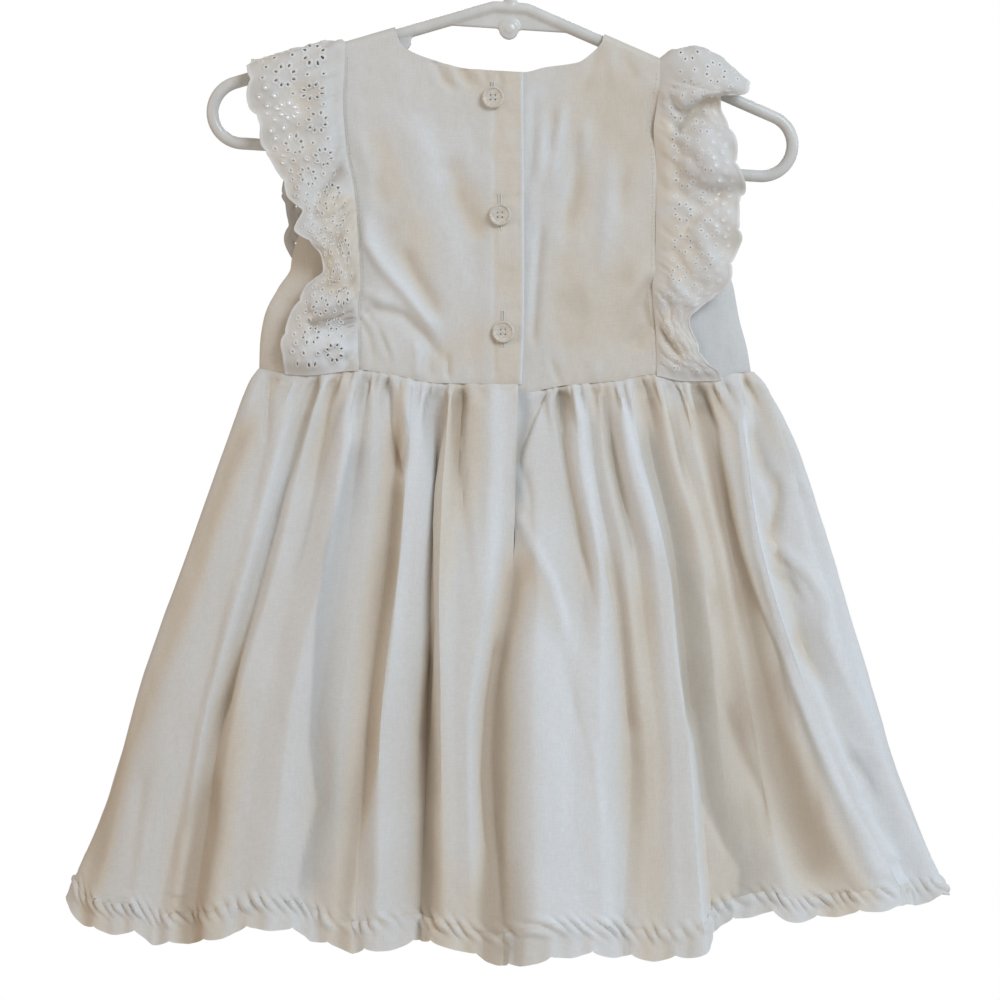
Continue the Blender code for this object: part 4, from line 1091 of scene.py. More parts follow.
@dataclass
class Hanger:
    """A child's hanger of round tube with end loops, a web under the apex, strap notches and a hook."""

    tube: float = 3.3
    half_span: float = 156.4
    arm_angle: float = math.radians(19.7)
    bar_drop: float = 82.3
    tilt: float = math.radians(3.58)
    hook_inner: float = 16.0
    hook_height: float = 58.0
    neck_radius: float = 10.0
    sweep: float = math.radians(275)
    web_drop: float = 14.2
    web_thick: float = 2.6
    boss: float = 5.3
    notch_x: float = 55.6
    notch: float = 5.0
    sides: int = 24
    voxel: float = 0.75

    @property
    def apex(self) -> Array:
        """The place of the arms' meeting point in millimetres of the finished frame."""
        return np.array([-math.sin(self.tilt), 0, -math.cos(self.tilt)]) * self.hook_height

    def arc(self, centre: tuple, radius: float, start: float, turn: float, steps: int) -> list[tuple]:
        """Points of an arc in the hanger's plane."""
        angles = start + turn * np.linspace(0, 1, steps + 1)
        return [(centre[0] + radius * math.cos(a), centre[1] + radius * math.sin(a)) for a in angles]

    def frame_path(self) -> list[tuple]:
        """The closed path of the arms, the end loops and the lower bar, from the apex clockwise.

        Returns:
            Points in the hanger's plane.
        """
        run = self.half_span - self.tube
        slope = math.sin(self.arm_angle)
        level = math.cos(self.arm_angle)
        radius = (self.bar_drop * level - run * slope) / (1 - slope + level)
        centre = (run - radius, -self.bar_drop + radius)
        joint = (centre[0] + radius * slope, centre[1] + radius * level)
        right = [(joint[0] * share, joint[1] * share) for share in (0.06, 0.2, 0.4, 0.6, 0.8, 0.94)]
        turn = -(math.pi - self.arm_angle)
        right += self.arc(centre, radius, math.pi / 2 - self.arm_angle, turn, 36)
        right += [(centre[0] * share, -self.bar_drop) for share in (0.75, 0.5, 0.25)]
        left = [(-x, z) for x, z in reversed(right)]
        return [(x, z - self.hook_height) for x, z in right + left]

    def hook_path(self) -> list[tuple]:
        """The hook: a stem that leans to one side and turns back over the top in one round sweep.

        Returns:
            Points in the hanger's plane.
        """
        radius = self.hook_inner + self.tube
        centre = (0.0, -self.hook_inner)
        between = self.neck_radius + radius
        rise = math.sqrt(between**2 - self.neck_radius**2)
        neck = (self.neck_radius, centre[1] - rise)
        lean = math.atan2(rise, -self.neck_radius) - math.pi
        path = [(0.0, -self.hook_height - 1.0)]
        path += self.arc(neck, self.neck_radius, math.pi, lean, 8)
        path += self.arc(centre, radius, lean, self.sweep, 48)[1:]
        return path

    def add_tube(self, form: Form, path: list[tuple], closed: bool) -> None:
        """Adds a round tube along a path in the hanger's plane, with round ends where it is open.

        Args:
            form: The form that it joins.
            path: Points in the hanger's plane.
            closed: Whether the path meets its start again.
        """
        line = np.array(path)
        if closed:
            run = np.roll(line, -1, axis=0) - np.roll(line, 1, axis=0)
        else:
            run = np.gradient(line, axis=0)
        run = run / np.linalg.norm(run, axis=1, keepdims=True)
        rings = []
        for (x, z), (dx, dz) in zip(line, run):
            turns = np.linspace(0, 2 * math.pi, self.sides, endpoint=False)
            flat = np.cos(turns) * self.tube
            rings.append([form.verts.new((x - dz * w, self.tube * math.sin(a), z + dx * w))
                          for w, a in zip(flat, turns)])
        pairs = list(zip(rings, rings[1:] + rings[:1])) if closed else list(zip(rings, rings[1:]))
        for first, second in pairs:
            for i in range(self.sides):
                j = (i + 1) % self.sides
                form.faces.new((first[i], first[j], second[j], second[i]))
        if not closed:
            form.faces.new(rings[0])
            form.faces.new(rings[-1][::-1])
            tip = Matrix.Translation((line[-1][0], 0, line[-1][1]))
            bmesh.ops.create_uvsphere(form, u_segments=20, v_segments=12, radius=self.tube, matrix=tip)

    def add_plate(self, form: Form, outline: list[tuple], thick: float) -> None:
        """Adds a flat plate in the hanger's plane.

        Args:
            form: The form that it joins.
            outline: Corners in the hanger's plane.
            thick: Its thickness.
        """
        near = [form.verts.new((x, -thick / 2, z)) for x, z in outline]
        far = [form.verts.new((x, thick / 2, z)) for x, z in outline]
        form.faces.new(near)
        form.faces.new(far[::-1])
        for i in range(len(outline)):
            j = (i + 1) % len(outline)
            form.faces.new((near[j], near[i], far[i], far[j]))

    def add_knob(self, form: Form, centre: tuple, radius: float, length: float) -> None:
        """Adds a short round bar across the hanger's plane."""
        self.add_plate(form, self.arc(centre, radius, 0, 2 * math.pi * 35 / 36, 35), length)

    def build(self) -> Piece:
        """Builds the hanger as one moulded form, whose joints are rounded into each other.

        Returns:
            The hanger's object.
        """
        form = bmesh.new()
        top = -self.hook_height
        self.add_tube(form, self.frame_path(), True)
        self.add_tube(form, self.hook_path(), False)
        reach = self.web_drop / math.tan(self.arm_angle) - 4
        corner = top - reach * math.tan(self.arm_angle)
        foot = top - self.web_drop
        web = [(0, top), (-reach, corner), (6 - reach, foot), (reach - 6, foot), (reach, corner)]
        self.add_plate(form, web, self.web_thick)
        self.add_knob(form, (0, foot), self.boss, 5.0)
        self.add_knob(form, (0, foot), 2.2, 6.4)
        notch_z = top - self.notch_x * math.tan(self.arm_angle) - 4
        for way in (-1, 1):
            self.add_knob(form, (way * self.notch_x, notch_z), self.notch, 4.4)
        rough = plain_object("hanger_rough", form)
        remesh = rough.modifiers.new("remesh", "REMESH")
        remesh.mode = "VOXEL"
        remesh.voxel_size = self.voxel
        soften = rough.modifiers.new("soften", "SMOOTH")
        soften.factor = 0.5
        soften.iterations = 4
        points, faces = evaluated(rough)
        bpy.data.objects.remove(rough)
        piece = make_object("hanger_moulding", tilted(points, self.tilt) * MM, faces, HangerPlastic())
        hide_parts("hanger")
        return piece


HANGER = Hanger()
APEX = HANGER.apex


# ---------------------------------------------------------------- body


@dataclass(frozen=True)
class Body:
    """The body that the cloth wraps: elliptic sections that arch over the hanger's arms."""

    arch: float = 4.3
    strap_drop: float = 70.0
    chest_drop: float = 125.0
    layer: float = 1.34
    strap_top: float = 20.0
    waist_line: float = 200.0

    def arm_drop(self, x: Array) -> Array:
        """Drop of the hanger arm's centre line, under the tilt.

        Args:
            x: Places across.

        Returns:
            One drop for each place.
        """
        left = math.tan(HANGER.arm_angle - HANGER.tilt)
        right = math.tan(HANGER.arm_angle + HANGER.tilt)
        return np.abs(x) * np.where(x < 0, left, right)

    def shoulder_drop(self, x: Array) -> Array:
        """Drop of the cloth on top of the arm."""
        return self.arm_drop(x) - self.arch

    def reach(self, x: Array, drop: Array) -> Array:
        """How far the section reaches on the side that x is on."""
        return np.where(x < 0, lookup(BODY, "drop", "left", drop), lookup(BODY, "drop", "right", drop))

    def depth(self, x: Array, drop: Array) -> Array:
        """Half depth of the body.

        Args:
            x: Places across.
            drop: Places down.

        Returns:
            One depth for each place.
        """
        around = np.sqrt(np.maximum(1 - (x / self.reach(x, drop)) ** 2, 1e-9))
        clear = self.arch * (1 - ease((drop - self.strap_drop) / (self.chest_drop - self.strap_drop)))
        below = np.clip((drop - self.shoulder_drop(x)) / self.arch, 1e-6, 1)
        arch = np.sqrt(1 - (1 - below) ** 2)
        return np.hypot(lookup(BODY, "drop", "depth", drop) * around, clear) * arch

    def placket_lift(self, x: Array) -> Array:
        """How far the upper side of the back lies over the under side."""
        return self.layer * ease((x - UNDERLAP_X + 12) / 11)

    def placket_depth(self, x: Array, drop: Array) -> Array:
        """Half depth of the cloth where one side of the back lies over the other."""
        return self.depth(x, drop) + self.placket_lift(x)

    def place(self, depth: Field, face: Face, x: Array, drop: Array) -> tuple[Array, Array]:
        """Points of a depth field and their directions outward.

        Args:
            depth: Half depth by x and drop.
            face: The back or the front.
            x: Places across.
            drop: Places down.

        Returns:
            The points and the directions.
        """
        over_x = (depth(x + NUDGE, drop) - depth(x - NUDGE, drop)) / (2 * NUDGE)
        over_drop = (depth(x, drop + NUDGE) - depth(x, drop - NUDGE)) / (2 * NUDGE)
        points = np.stack([x, face.value * depth(x, drop), -drop], axis=-1)
        outward = unit(np.stack([-over_x, face.value + 0 * x, over_drop], axis=-1))
        return points, outward

    def underlap_x(self, drop: ArrayLike) -> Array:
        """Where the under side of the back ends, below the placket."""
        return UNDERLAP_X + 0 * np.asarray(drop)

    def root_x(self, side: Side, drop: ArrayLike) -> Array:
        """Where the ruffle's seam runs."""
        return lookup(ROOT_LEFT if side is Side.LEFT else ROOT_RIGHT, "drop", "x", drop)

    def waist(self, x: ArrayLike, cut: Cut) -> Array:
        """Drop of the waist seam."""
        table = {Cut.BACK_LEFT: WAIST_LEFT, Cut.BACK_RIGHT: WAIST_RIGHT, Cut.FRONT: WAIST_FRONT}[cut]
        return lookup(table, "x", "drop", x)


BODY_FORM = Body()

LEFT_CREASES = table_of(
    Crease,
    (((-33, 78), (-25, 108), (-13, 128)), -1.8, 7, 7, 12, 14),
    (((-50, 57), (-41.5, 84), (-38.5, 108)), 1.1, 7, 6, 18, 18),
    (((-77.5, 104), (-75, 126), (-67.5, 138), (-57, 150), (-44.5, 165), (-36, 178)), 2.2, 3.0, 4.5, 20, 16),
    (((-60, 124), (-52, 140), (-44, 154), (-37, 169)), -2.4, 5, 5, 14, 12),
    (((-77, 160), (-66, 161.5), (-57, 164), (-46, 174), (-34, 190)), -2.2, 3.5, 3.0, 6, 14),
    (((-78.5, 160), (-70, 169), (-62, 189)), -1.4, 1.6, 2.2, 3, 8),
    (((-80, 163), (-74, 176), (-72, 190)), -0.9, 1.8, 1.8, 3, 8),
    (((-74, 163), (-66, 175), (-60, 190)), 0.9, 2.2, 2.2, 4, 8),
    (((-79, 150), (-70, 154), (-62, 159)), 0.9, 3, 3, 4, 8),
    (((-33.5, 182), (-32.5, 197)), -1.3, 1.6, 1.8, 6, 0.1),
    (((-49.5, 174), (-49, 197)), 0.8, 2.2, 2.2, 8, 1),
    (((-43, 180), (-42, 198)), -0.8, 2.0, 2.0, 8, 1),
    (((-40, 31), (-36, 40), (-28, 48)), -0.9, 2.2, 2.2, 1, 8),
    (((-33, 33), (-29, 41), (-24, 47)), 0.7, 2.0, 2.0, 1, 7),
    (((-25, 35), (-20, 46)), -0.9, 2.2, 2.2, 1, 6),
    (((-18, 36), (-14, 45)), 0.7, 2.2, 2.2, 1, 5),
    (((-11.5, 37), (-3, 47)), -1.1, 3.0, 3.0, 1, 5),
    (((-66, 108), (-62, 138)), -1.0, 6, 6, 12, 12),
    (((-83, 62), (-76, 80), (-71, 102)), 1.0, 4, 6, 14, 14),
    (((-72, 86), (-66, 112)), -0.8, 4, 4, 10, 12),
    (((-60, 28), (-56, 60)), 0.5, 6, 6, 10, 16),
)
# Painted light and shade on the left back panel: bluish where it faces the light, tan where shade falls.
LEFT_PAINTED_LIGHT = table_of(
    Crease,
    (((-52, 50), (-50, 62), (-36.6, 105), (-19.5, 144), (-12, 172)), -0.32, 9, 9, 14, 20),
    (((-30, 60), (-20, 78), (-13, 96)), -0.24, 6, 6, 10, 10),
    (((-77, 60), (-66, 84), (-50, 118), (-38, 150)), 0.26, 9, 9, 14, 30),
    (((-30, 92), (-18, 112), (-13, 132)), 0.26, 7, 7, 10, 14),
    (((-40, 180), (-22, 186), (-14, 160)), 0.22, 9, 9, 10, 20),
    (((-36, 34), (-8, 42)), 0.34, 9, 9, 4, 1),
    (((-74, 116), (-66, 140), (-50, 168)), -0.22, 6, 8, 10, 14),
    (((-70, 150), (-54, 170), (-38, 186)), -0.34, 12, 12, 8, 8),
)
# Painted light and shade on the right back panel: bluish streaks where it faces the light, tan in the
# ruffle's shadow by its seam.
RIGHT_PAINTED_LIGHT = table_of(
    Crease,
    (((11.5, 40), (12.5, 90), (11.5, 150), (10, 180)), -0.42, 4, 5, 10, 30),
    (((28, 58), (22, 78), (16, 100)), -0.36, 3.5, 3.5, 10, 14),
    (((38, 70), (32, 90), (25, 112)), -0.30, 4, 4, 10, 14),
    (((52, 92), (46, 130)), -0.2, 6, 6, 14, 20),
    (((46, 34), (60, 60), (66, 90)), 0.30, 14, 12, 10, 20),
    (((22, 120), (30, 160), (30, 185)), 0.22, 10, 12, 20, 10),
    (((62, 130), (66, 160), (60, 185)), 0.30, 9, 9, 14, 14),
    (((73.5, 150), (74.5, 168), (73, 184)), 0.6, 5, 3, 6, 6),
    (((75.5, 46), (76, 62), (75, 78)), 0.5, 5, 3, 6, 8),
)
PLACKET_CREASES = table_of(
    Crease,
    (((-4, 57), (1, 59), (6, 58)), -0.45, 1.6, 1.6, 3, 2),
    (((-8, 78), (0, 79), (6, 78)), -0.25, 1.8, 1.8, 3, 2),
    (((-9, 101), (-2, 103), (6, 101)), -0.35, 1.8, 1.8, 3, 2),
    (((-7, 115), (6, 117)), -0.3, 1.8, 1.8, 3, 2),
    (((-8, 140), (6, 141)), -0.25, 2.2, 2.2, 3, 2),
    (((-7, 160), (0, 161), (6, 160)), -0.35, 1.8, 1.8, 3, 2),
    (((-8, 176), (6, 178)), -0.25, 2.0, 2.0, 3, 2),
    (((-8, 36), (-8.5, 120), (-8, 198)), -0.35, 0.9, 0.9, 4, 4),
)
RIGHT_CREASES = table_of(
    Crease,
    (((12, 46), (11.5, 78), (9, 102)), -0.9, 2.6, 2.6, 12, 14),
    (((18, 60), (14, 96)), 1.3, 3.0, 3.0, 14, 16),
    (((23, 50), (20, 84)), -0.8, 2.6, 2.6, 12, 12),
    (((28, 50), (24.5, 78), (20, 101)), 1.5, 3.2, 3.2, 12, 16),
    (((36, 66), (33, 102), (27, 128)), -1.8, 4.0, 4.5, 16, 18),
    (((40, 58), (36.5, 90)), 1.2, 3.2, 3.2, 12, 16),
    (((17, 112), (14.5, 136), (11.5, 182)), -1.6, 2.0, 2.4, 14, 10),
    (((53.5, 74), (50.5, 120), (46.5, 146)), 1.1, 5, 5, 18, 18),
    (((60, 82), (57, 118)), -0.9, 4, 4, 14, 16),
    (((75, 140), (69.5, 157), (72.5, 169), (62, 183)), -2.2, 4.0, 3.0, 10, 8),
    (((75.5, 44), (74, 60), (74, 78)), -1.2, 3.0, 2.0, 6, 10),
    (((31, 146), (32, 174)), -1.4, 10, 10, 14, 14),
    (((46, 22), (42.5, 37), (34.5, 54)), -0.7, 2.6, 2.6, 2, 12),
    (((60.5, 22), (62, 32), (67.5, 46)), -0.8, 3.0, 3.0, 2, 10),
    (((53, 22), (53, 34), (56, 52)), 0.6, 3, 3, 2, 14),
    (((56, 164), (66, 148), (72, 132)), 1.3, 6, 6, 14, 14),
    (((20, 184), (26, 200)), -0.8, 2.0, 2.0, 8, 0.1),
    (((44, 184), (45, 200)), 0.6, 3.0, 3.0, 8, 0.1),
)
FRONT_CREASES = table_of(
    Crease,
    (((-62, 116), (-46, 146), (-28, 172)), -2.4, 8, 8, 20, 20),
    (((-50, 100), (-36, 140), (-20, 176)), 1.8, 6, 6, 20, 20),
    (((-20, 92), (-10, 152)), -1.8, 7, 7, 20, 20),
    (((28, 98), (22, 168)), -2.1, 7, 7, 20, 20),
    (((66, 128), (48, 178)), -2.5, 7, 7, 16, 16),
    (((5, 106), (8, 178)), 1.6, 8, 8, 20, 20),
    (((44, 84), (40, 130)), 1.3, 6, 6, 16, 18),
    (((-70, 150), (-62, 188)), -1.6, 4, 4, 10, 4),
    (((-8, 176), (-7, 198)), -1.0, 3, 3, 8, 0.1),
    (((30, 180), (31, 198)), -1.0, 3, 3, 8, 0.1),
    (((-14, 75), (-12, 92)), -0.9, 3, 3, 1, 10),
    (((12, 73), (10, 92)), -0.9, 3, 3, 1, 10),
    (((-40, 60), (-33, 78)), -0.8, 4, 4, 1, 12),
    (((31, 62), (27, 80)), -0.8, 4, 4, 1, 12),
)


@dataclass
class Panel:
    """A bodice panel between two upright edges, under the shoulders and the neckline."""

    node: str
    face: Face
    cut: Cut
    left: Callable[[ArrayLike], Array]
    right: Callable[[ArrayLike], Array]
    neck: tuple[Edge, ...]
    creases: tuple[Crease, ...]
    flat: tuple[float, float]
    area: float
    depth: Field = BODY_FORM.depth
    seed: int = 1
    columns: int = 84
    rows: int = 118
    arch_rows: int = 9
    crease_gain: float = 1.35
    arm_fade: float = 16.0

    def shares(self) -> Array:
        """Shares of the way across for the columns, closer where a strap's edge turns down over the arm.

        Returns:
            The shares.
        """
        start = float(self.left(BODY_FORM.strap_top))
        end = float(self.right(BODY_FORM.strap_top))
        shares = np.linspace(0, 1, self.columns + 1)
        for neck_x, way in ((NECK_LEFT_X, 1), (NECK_RIGHT_X, -1)):
            if start < neck_x < end:
                turn = (neck_x + way * NECK_TURN * np.linspace(0, 1, 6) - start) / (end - start)
                shares = shares[(shares < turn.min() - 0.003) | (shares > turn.max() + 0.003)]
                shares = np.sort(np.concatenate([shares, turn]))
        return shares

    def column(self, x: float, bottom: float) -> Array:
        """Drops of one column of points: rows over the arm, and then even ones down to the waist.

        Args:
            x: The column's x at the top.
            bottom: The waist's drop there.

        Returns:
            The drops.
        """
        past = max(x - NECK_LEFT_X, 0) if x < 0 else max(NECK_RIGHT_X - x, 0)
        part = min(past / NECK_TURN, 1)
        arch = BODY_FORM.arch
        turn = ARCH_START + (math.pi / 2 - ARCH_START) * part
        if past > NECK_TURN:
            top = float(lookup(self.neck, "x", "drop", x))
        else:
            top = float(BODY_FORM.shoulder_drop(np.float64(x))) + arch * (1 - math.cos(turn))
        turns = turn + (math.pi / 2 - turn) * np.linspace(0, 1, self.arch_rows)
        first = top + arch * (math.cos(turn) - np.cos(turns)) + part * np.linspace(0, 4, self.arch_rows)
        return np.concatenate([first, np.linspace(first[-1], bottom, self.rows + 1)[1:]])

    def relief_height(self, x: Array, drop: Array) -> Array:
        """Creases and crumples, which fade out over the hanger's arm."""
        crumple = crumpled(PANEL_CRUMPLES, self.seed, x, drop)
        return (self.crease_gain * relief(self.creases, x, drop) + crumple) * self.free(x, drop)

    def free(self, x: Array, drop: Array) -> Array:
        """0 over the hanger's arm, and 1 where the cloth hangs free of it."""
        return ease((drop - BODY_FORM.shoulder_drop(x)) / self.arm_fade)

    def heights(self, x: Array, drop: Array) -> Array:
        """Creases, crumples and the sunk edges at the seams.

        Args:
            x: Places across.
            drop: Places down.

        Returns:
            One height for each place.
        """
        free = self.free(x, drop)
        waist = BODY_FORM.waist(x, self.cut) - drop
        left = np.abs(x - self.left(drop))
        right = np.abs(self.right(drop) - x)
        total = self.relief_height(x, drop) * ease((waist + 3) / 9)
        pull = np.sin(x / 1.35 + 2.2 * Wander(self.seed, 9)(x)) * bell(waist, 4.5) * 0.16
        total += pull - 0.45 * bell(waist, 1.3)
        total += 0.35 * bell(self.right(drop) - 0.9 - x, 0.8) * (self.node == "bodice_back_left")
        if self.node != "bodice_back_right":
            total -= 0.4 * bell(left, 1.2) * free
        if self.node != "bodice_back_left":
            total -= 0.25 * bell(right, 1.2) * free
        if self.node == "bodice_back_left":
            total = np.maximum(total, -9 + 8.5 * ease((x + 17) / 5))
        return total

    def warmth(self, x: Array, drop: Array, height: Array) -> Array:
        """The cloth's warmth: painted shade in hollows and down the right panel, in its ruffle's shadow, and
        the doubled placket's own tan tint.

        Args:
            x: Places across.
            drop: Places down.
            height: The cloth's height there.

        Returns:
            One tone for each place.
        """
        # painted light and shade: hollows tan, ridges bluish
        warm = 0.16 - 0.13 * height
        if self.node == "bodice_back_left":
            # the placket's doubled band is a real tan tint; the table adds painted light and shade
            start = x + 10.5 + 2.2 * Wander(4, 13)(drop)
            band = ease(start / 4.5) * ease((self.right(drop) - 1.0 - x) / 1.6)
            warm = warm + 0.4 * band * (0.85 + 0.3 * Wander(3, 18)(drop)) + relief(LEFT_PAINTED_LIGHT, x, drop)
            # painted highlight: a bluish-white line along the placket's lit edge
            warm = warm - 0.9 * ease((x + 1.1 - self.right(drop)) / 0.5)
        if self.node == "bodice_back_right":
            # painted shade down the right panel, in the right ruffle's shadow, with painted light and shade
            # from its table
            warm = warm + 0.06 + 0.2 * ease((x - 18) / 20) + relief(RIGHT_PAINTED_LIGHT, x, drop)
        return np.clip(warm, -1, 0.3 if self.cut is Cut.FRONT else 0.62)

    def build(self) -> Piece:
        """Builds the panel.

        Returns:
            The panel's object.
        """
        xs = []
        drops = []
        for share in self.shares():
            at_top, at_waist = (
                float(self.left(drop) * (1 - share) + self.right(drop) * share)
                for drop in (BODY_FORM.strap_top, BODY_FORM.waist_line)
            )
            drop = self.column(at_top, float(BODY_FORM.waist(at_waist, self.cut)) - WAIST_AIR)
            xs.append(self.left(drop) * (1 - share) + self.right(drop) * share)
            drops.append(drop)
        x = np.array(xs).T
        drop = np.array(drops).T
        points, outward = BODY_FORM.place(self.depth, self.face, x, drop)
        height = self.heights(x, drop)
        points = points + outward * height[..., None]
        # painted shade: the right back panel is greyed, in the right ruffle's shadow
        shade = 0 * x + (0.15 if self.cut is Cut.BACK_RIGHT else 0)
        sheet = Cloth.of_grid(points, outward, warm=self.warmth(x, drop, height), shade=shade)
        piece = sheet.shell(f"{self.node}_cloth", Cotton())
        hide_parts(self.node)
        return piece


@dataclass
class SidePanel:
    """The panel between a ruffle's seam and the armhole or the side seam."""

    side: Side
    face: Face
    columns: int = 30
    rows: int = 118
    passes: int = 6

    @property
    def node(self) -> str:
        """The name of its solid."""
        return f"side_{self.face.name.lower()}_{self.side.name.lower()}"

    @property
    def cut(self) -> Cut:
        """The part of the dress that its waist belongs to.

        Returns:
            The part of the dress.
        """
        if self.face is Face.FRONT:
            return Cut.FRONT
        return Cut.BACK_LEFT if self.side is Side.LEFT else Cut.BACK_RIGHT

    def build(self) -> Piece:
        """Builds the panel.

        Returns:
            The panel's object.
        """
        way = self.side.value
        top_x = BODY_FORM.root_x(self.side, BODY_FORM.strap_top)
        start = float(BODY_FORM.shoulder_drop(top_x))
        root_foot = BODY_FORM.root_x(self.side, BODY_FORM.waist_line)
        bottom = float(BODY_FORM.waist(root_foot, self.cut)) - WAIST_AIR
        turns = ARCH_START + (math.pi / 2 - ARCH_START) * np.linspace(0, 1, 9)
        over = start + BODY_FORM.arch * (1 - np.cos(turns))
        drop = np.concatenate([over, np.linspace(over[-1], bottom, self.rows + 1)[1:]])
        xs = []
        drops = []
        for share in np.linspace(0, 1, self.columns + 1):
            low = drop.copy()
            for _ in range(self.passes):
                reach = BODY_FORM.reach(np.full_like(low, way), low)
                root = np.arccos(np.clip(np.abs(BODY_FORM.root_x(self.side, low)) / reach, -1, 1))
                edge = root + (0.004 - root) * lookup(ARMHOLE, "drop", "share", low)
                x = way * reach * np.cos(root + (edge - root) * share)
                top = BODY_FORM.shoulder_drop(x)
                foot = BODY_FORM.waist(x[-1], self.cut) - WAIST_AIR
                along = (drop - drop[0]) / (drop[-1] - drop[0])
                low = drop + (top - start) * (1 - along) + (foot - drop[-1]) * along
            xs.append(x)
            drops.append(low)
        x = np.array(xs).T
        low = np.array(drops).T
        points, outward = BODY_FORM.place(BODY_FORM.depth, self.face, x, low)
        seed = 40 + way + 3 * self.face.value
        across = np.linspace(0, 1, self.columns + 1)[None, :] + 0 * x
        waist = BODY_FORM.waist(x, self.cut) - low
        free = ease((low - BODY_FORM.shoulder_drop(x)) / 30) * ease(waist / 10) * ease((1 - across) / 0.12)
        height = crumpled(SIDE_CRUMPLES, seed, x, low) * free
        height -= 0.4 * bell(waist, 1.3) * ease((1 - across) / 0.1)
        points = points + outward * height[..., None]
        # painted light and shade: hollows tan, the left side panels tan as they turn from the light, the
        # right ones bluish and greyed by painted shade
        warm = 0.12 - 0.1 * height + (0.3 + 0.2 * ease((0.6 - across) / 0.6) if way < 0 else -0.15)
        sheet = Cloth.of_grid(points, outward, warm=warm, shade=0 * warm + (0.3 if way > 0 else 0))
        piece = sheet.shell(f"{self.node}_cloth", Cotton())
        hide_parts(self.node)
        return piece


class Bodice:
    """The bodice: three middle panels, four side panels and the seams between them."""

    def panels(self) -> list[Panel]:
        """The three middle panels.

        Returns:
            The left and the right back panel, and the front.
        """
        left, right = (partial(BODY_FORM.root_x, side) for side in Side)
        return [
            Panel("bodice_back_left", Face.BACK, Cut.BACK_LEFT, left,
                  partial(lookup, PLACKET, "drop", "x"), NECK_BACK, LEFT_CREASES + PLACKET_CREASES,
                  (0.096, 0.185), 0.0158, BODY_FORM.placket_depth, 11),
            Panel("bodice_back_right", Face.BACK, Cut.BACK_RIGHT, BODY_FORM.underlap_x, right,
                  NECK_BACK, RIGHT_CREASES, (0.088, 0.185), 0.0146, seed=21),
            Panel("bodice_front", Face.FRONT, Cut.FRONT, left, right, NECK_FRONT, FRONT_CREASES,
                  (0.168, 0.185), 0.0235, seed=31, columns=130),
        ]

    def build(self) -> None:
        """Builds every panel."""
        for panel in self.panels():
            panel.build()
        for side in Side:
            for face in Face:
                SidePanel(side, face).build()


# ---------------------------------------------------------------- ruffles


class Eyelet(NamedTuple):
    """A worked hole: its place on the flat strip, its half length and width, and its slant."""

    s: float
    t: float
    long: float
    wide: float
    slant: float


@dataclass
class Eyelets:
    """Where the stitched eyelets lie on a flat strip, in repeats as wide as one scallop."""

    length: float
    depth: float
    scallop: float = 19.0
    hole: float = 0.62
    jitter: float = 0.35

    def flower(self, s: float, t: float, radius: float, petals: int) -> list[Eyelet]:
        """A ring of oval holes that point at its middle.

        Args:
            s: Its middle's place along the strip.
            t: Its middle's place across it.
            radius: The ring's radius.
            petals: How many holes it has.

        Returns:
            The holes.
        """
        turns = [2 * math.pi * (i + 0.5) / petals for i in range(petals)]
        long = 1.25 * self.hole
        wide = 0.85 * self.hole
        return [Eyelet(s + radius * math.cos(a), t + radius * math.sin(a), long, wide, a) for a in turns]

    def round(self, s: float, t: float, radius: float) -> Eyelet:
        """One round hole."""
        return Eyelet(s, t, radius, radius, 0.0)

    def places(self) -> Array:
        """Every hole as a row of its place, half length, half width and slant.

        Returns:
            The rows.
        """
        holes: list[Eyelet] = []
        count = round(self.length / self.scallop)
        step = self.length / count
        edge = self.depth
        for number in range(count + 1):
            joint = number * step
            middle = joint + 0.5 * step
            small = 0.82 * self.hole
            holes += self.flower(joint, edge - 17.8, 4.6, 8)
            holes += self.flower(middle, edge - 31.5, 4.6, 8)
            holes += [self.round(middle + 4.8 * way, edge - 8.8, small) for way in (-1, 1)]
            holes += [self.round(middle, edge - 5.8, small), self.round(middle, edge - 13.0, self.hole),
                      self.round(joint, edge - 7.0, small), self.round(middle, edge - 21.5, small),
                      self.round(joint, edge - 28.5, small), self.round(joint, edge - 36.0, small)]
        made = np.array(holes)
        made[:, :2] += np.random.default_rng(5).uniform(-self.jitter, self.jitter, (len(made), 2))
        inside = (made[:, 0] > 2.5) & (made[:, 0] < self.length - 2.5) & (made[:, 1] > 4.5)
        return made[inside]


LEFT_RUFFLE_CREASES = table_of(
    Crease,
    (((-84.5, 82), (-100.5, 101), (-105, 119)), -3.4, 1.6, 6.0, 4, 8),
    (((-91, 74), (-107, 96), (-112, 112)), 2.2, 5.0, 3.0, 8, 10),
    (((-83, 66), (-96, 84), (-108, 97)), -1.6, 1.8, 4.0, 4, 8),
    (((-84, 98), (-92, 108), (-97, 124)), 1.2, 3.0, 2.0, 4, 8),
    (((-108, 168), (-91.5, 165), (-79, 161)), -4.6, 7.0, 1.2, 3, 3),
    (((-107, 160), (-91, 158), (-80, 155)), 3.0, 2.6, 6.0, 4, 3),
    (((-86, 178), (-101, 181), (-114, 188)), 1.4, 3.5, 3.5, 5, 5),
    (((-84, 186), (-100, 188)), -1.6, 2.5, 2.5, 3, 4),
    (((-112, 37), (-109, 58), (-117, 76)), -1.6, 6, 6, 8, 10),
    (((-127, 38), (-124, 60)), 1.4, 6, 6, 6, 8),
    (((-97, 36), (-98, 60), (-93, 78)), 1.3, 5, 5, 8, 10),
    (((-92, 118), (-84, 140), (-83, 156)), -1.6, 3.5, 3.5, 8, 6),
    (((-104, 122), (-93, 132), (-88, 150)), 1.6, 4.0, 3.0, 6, 6),
)
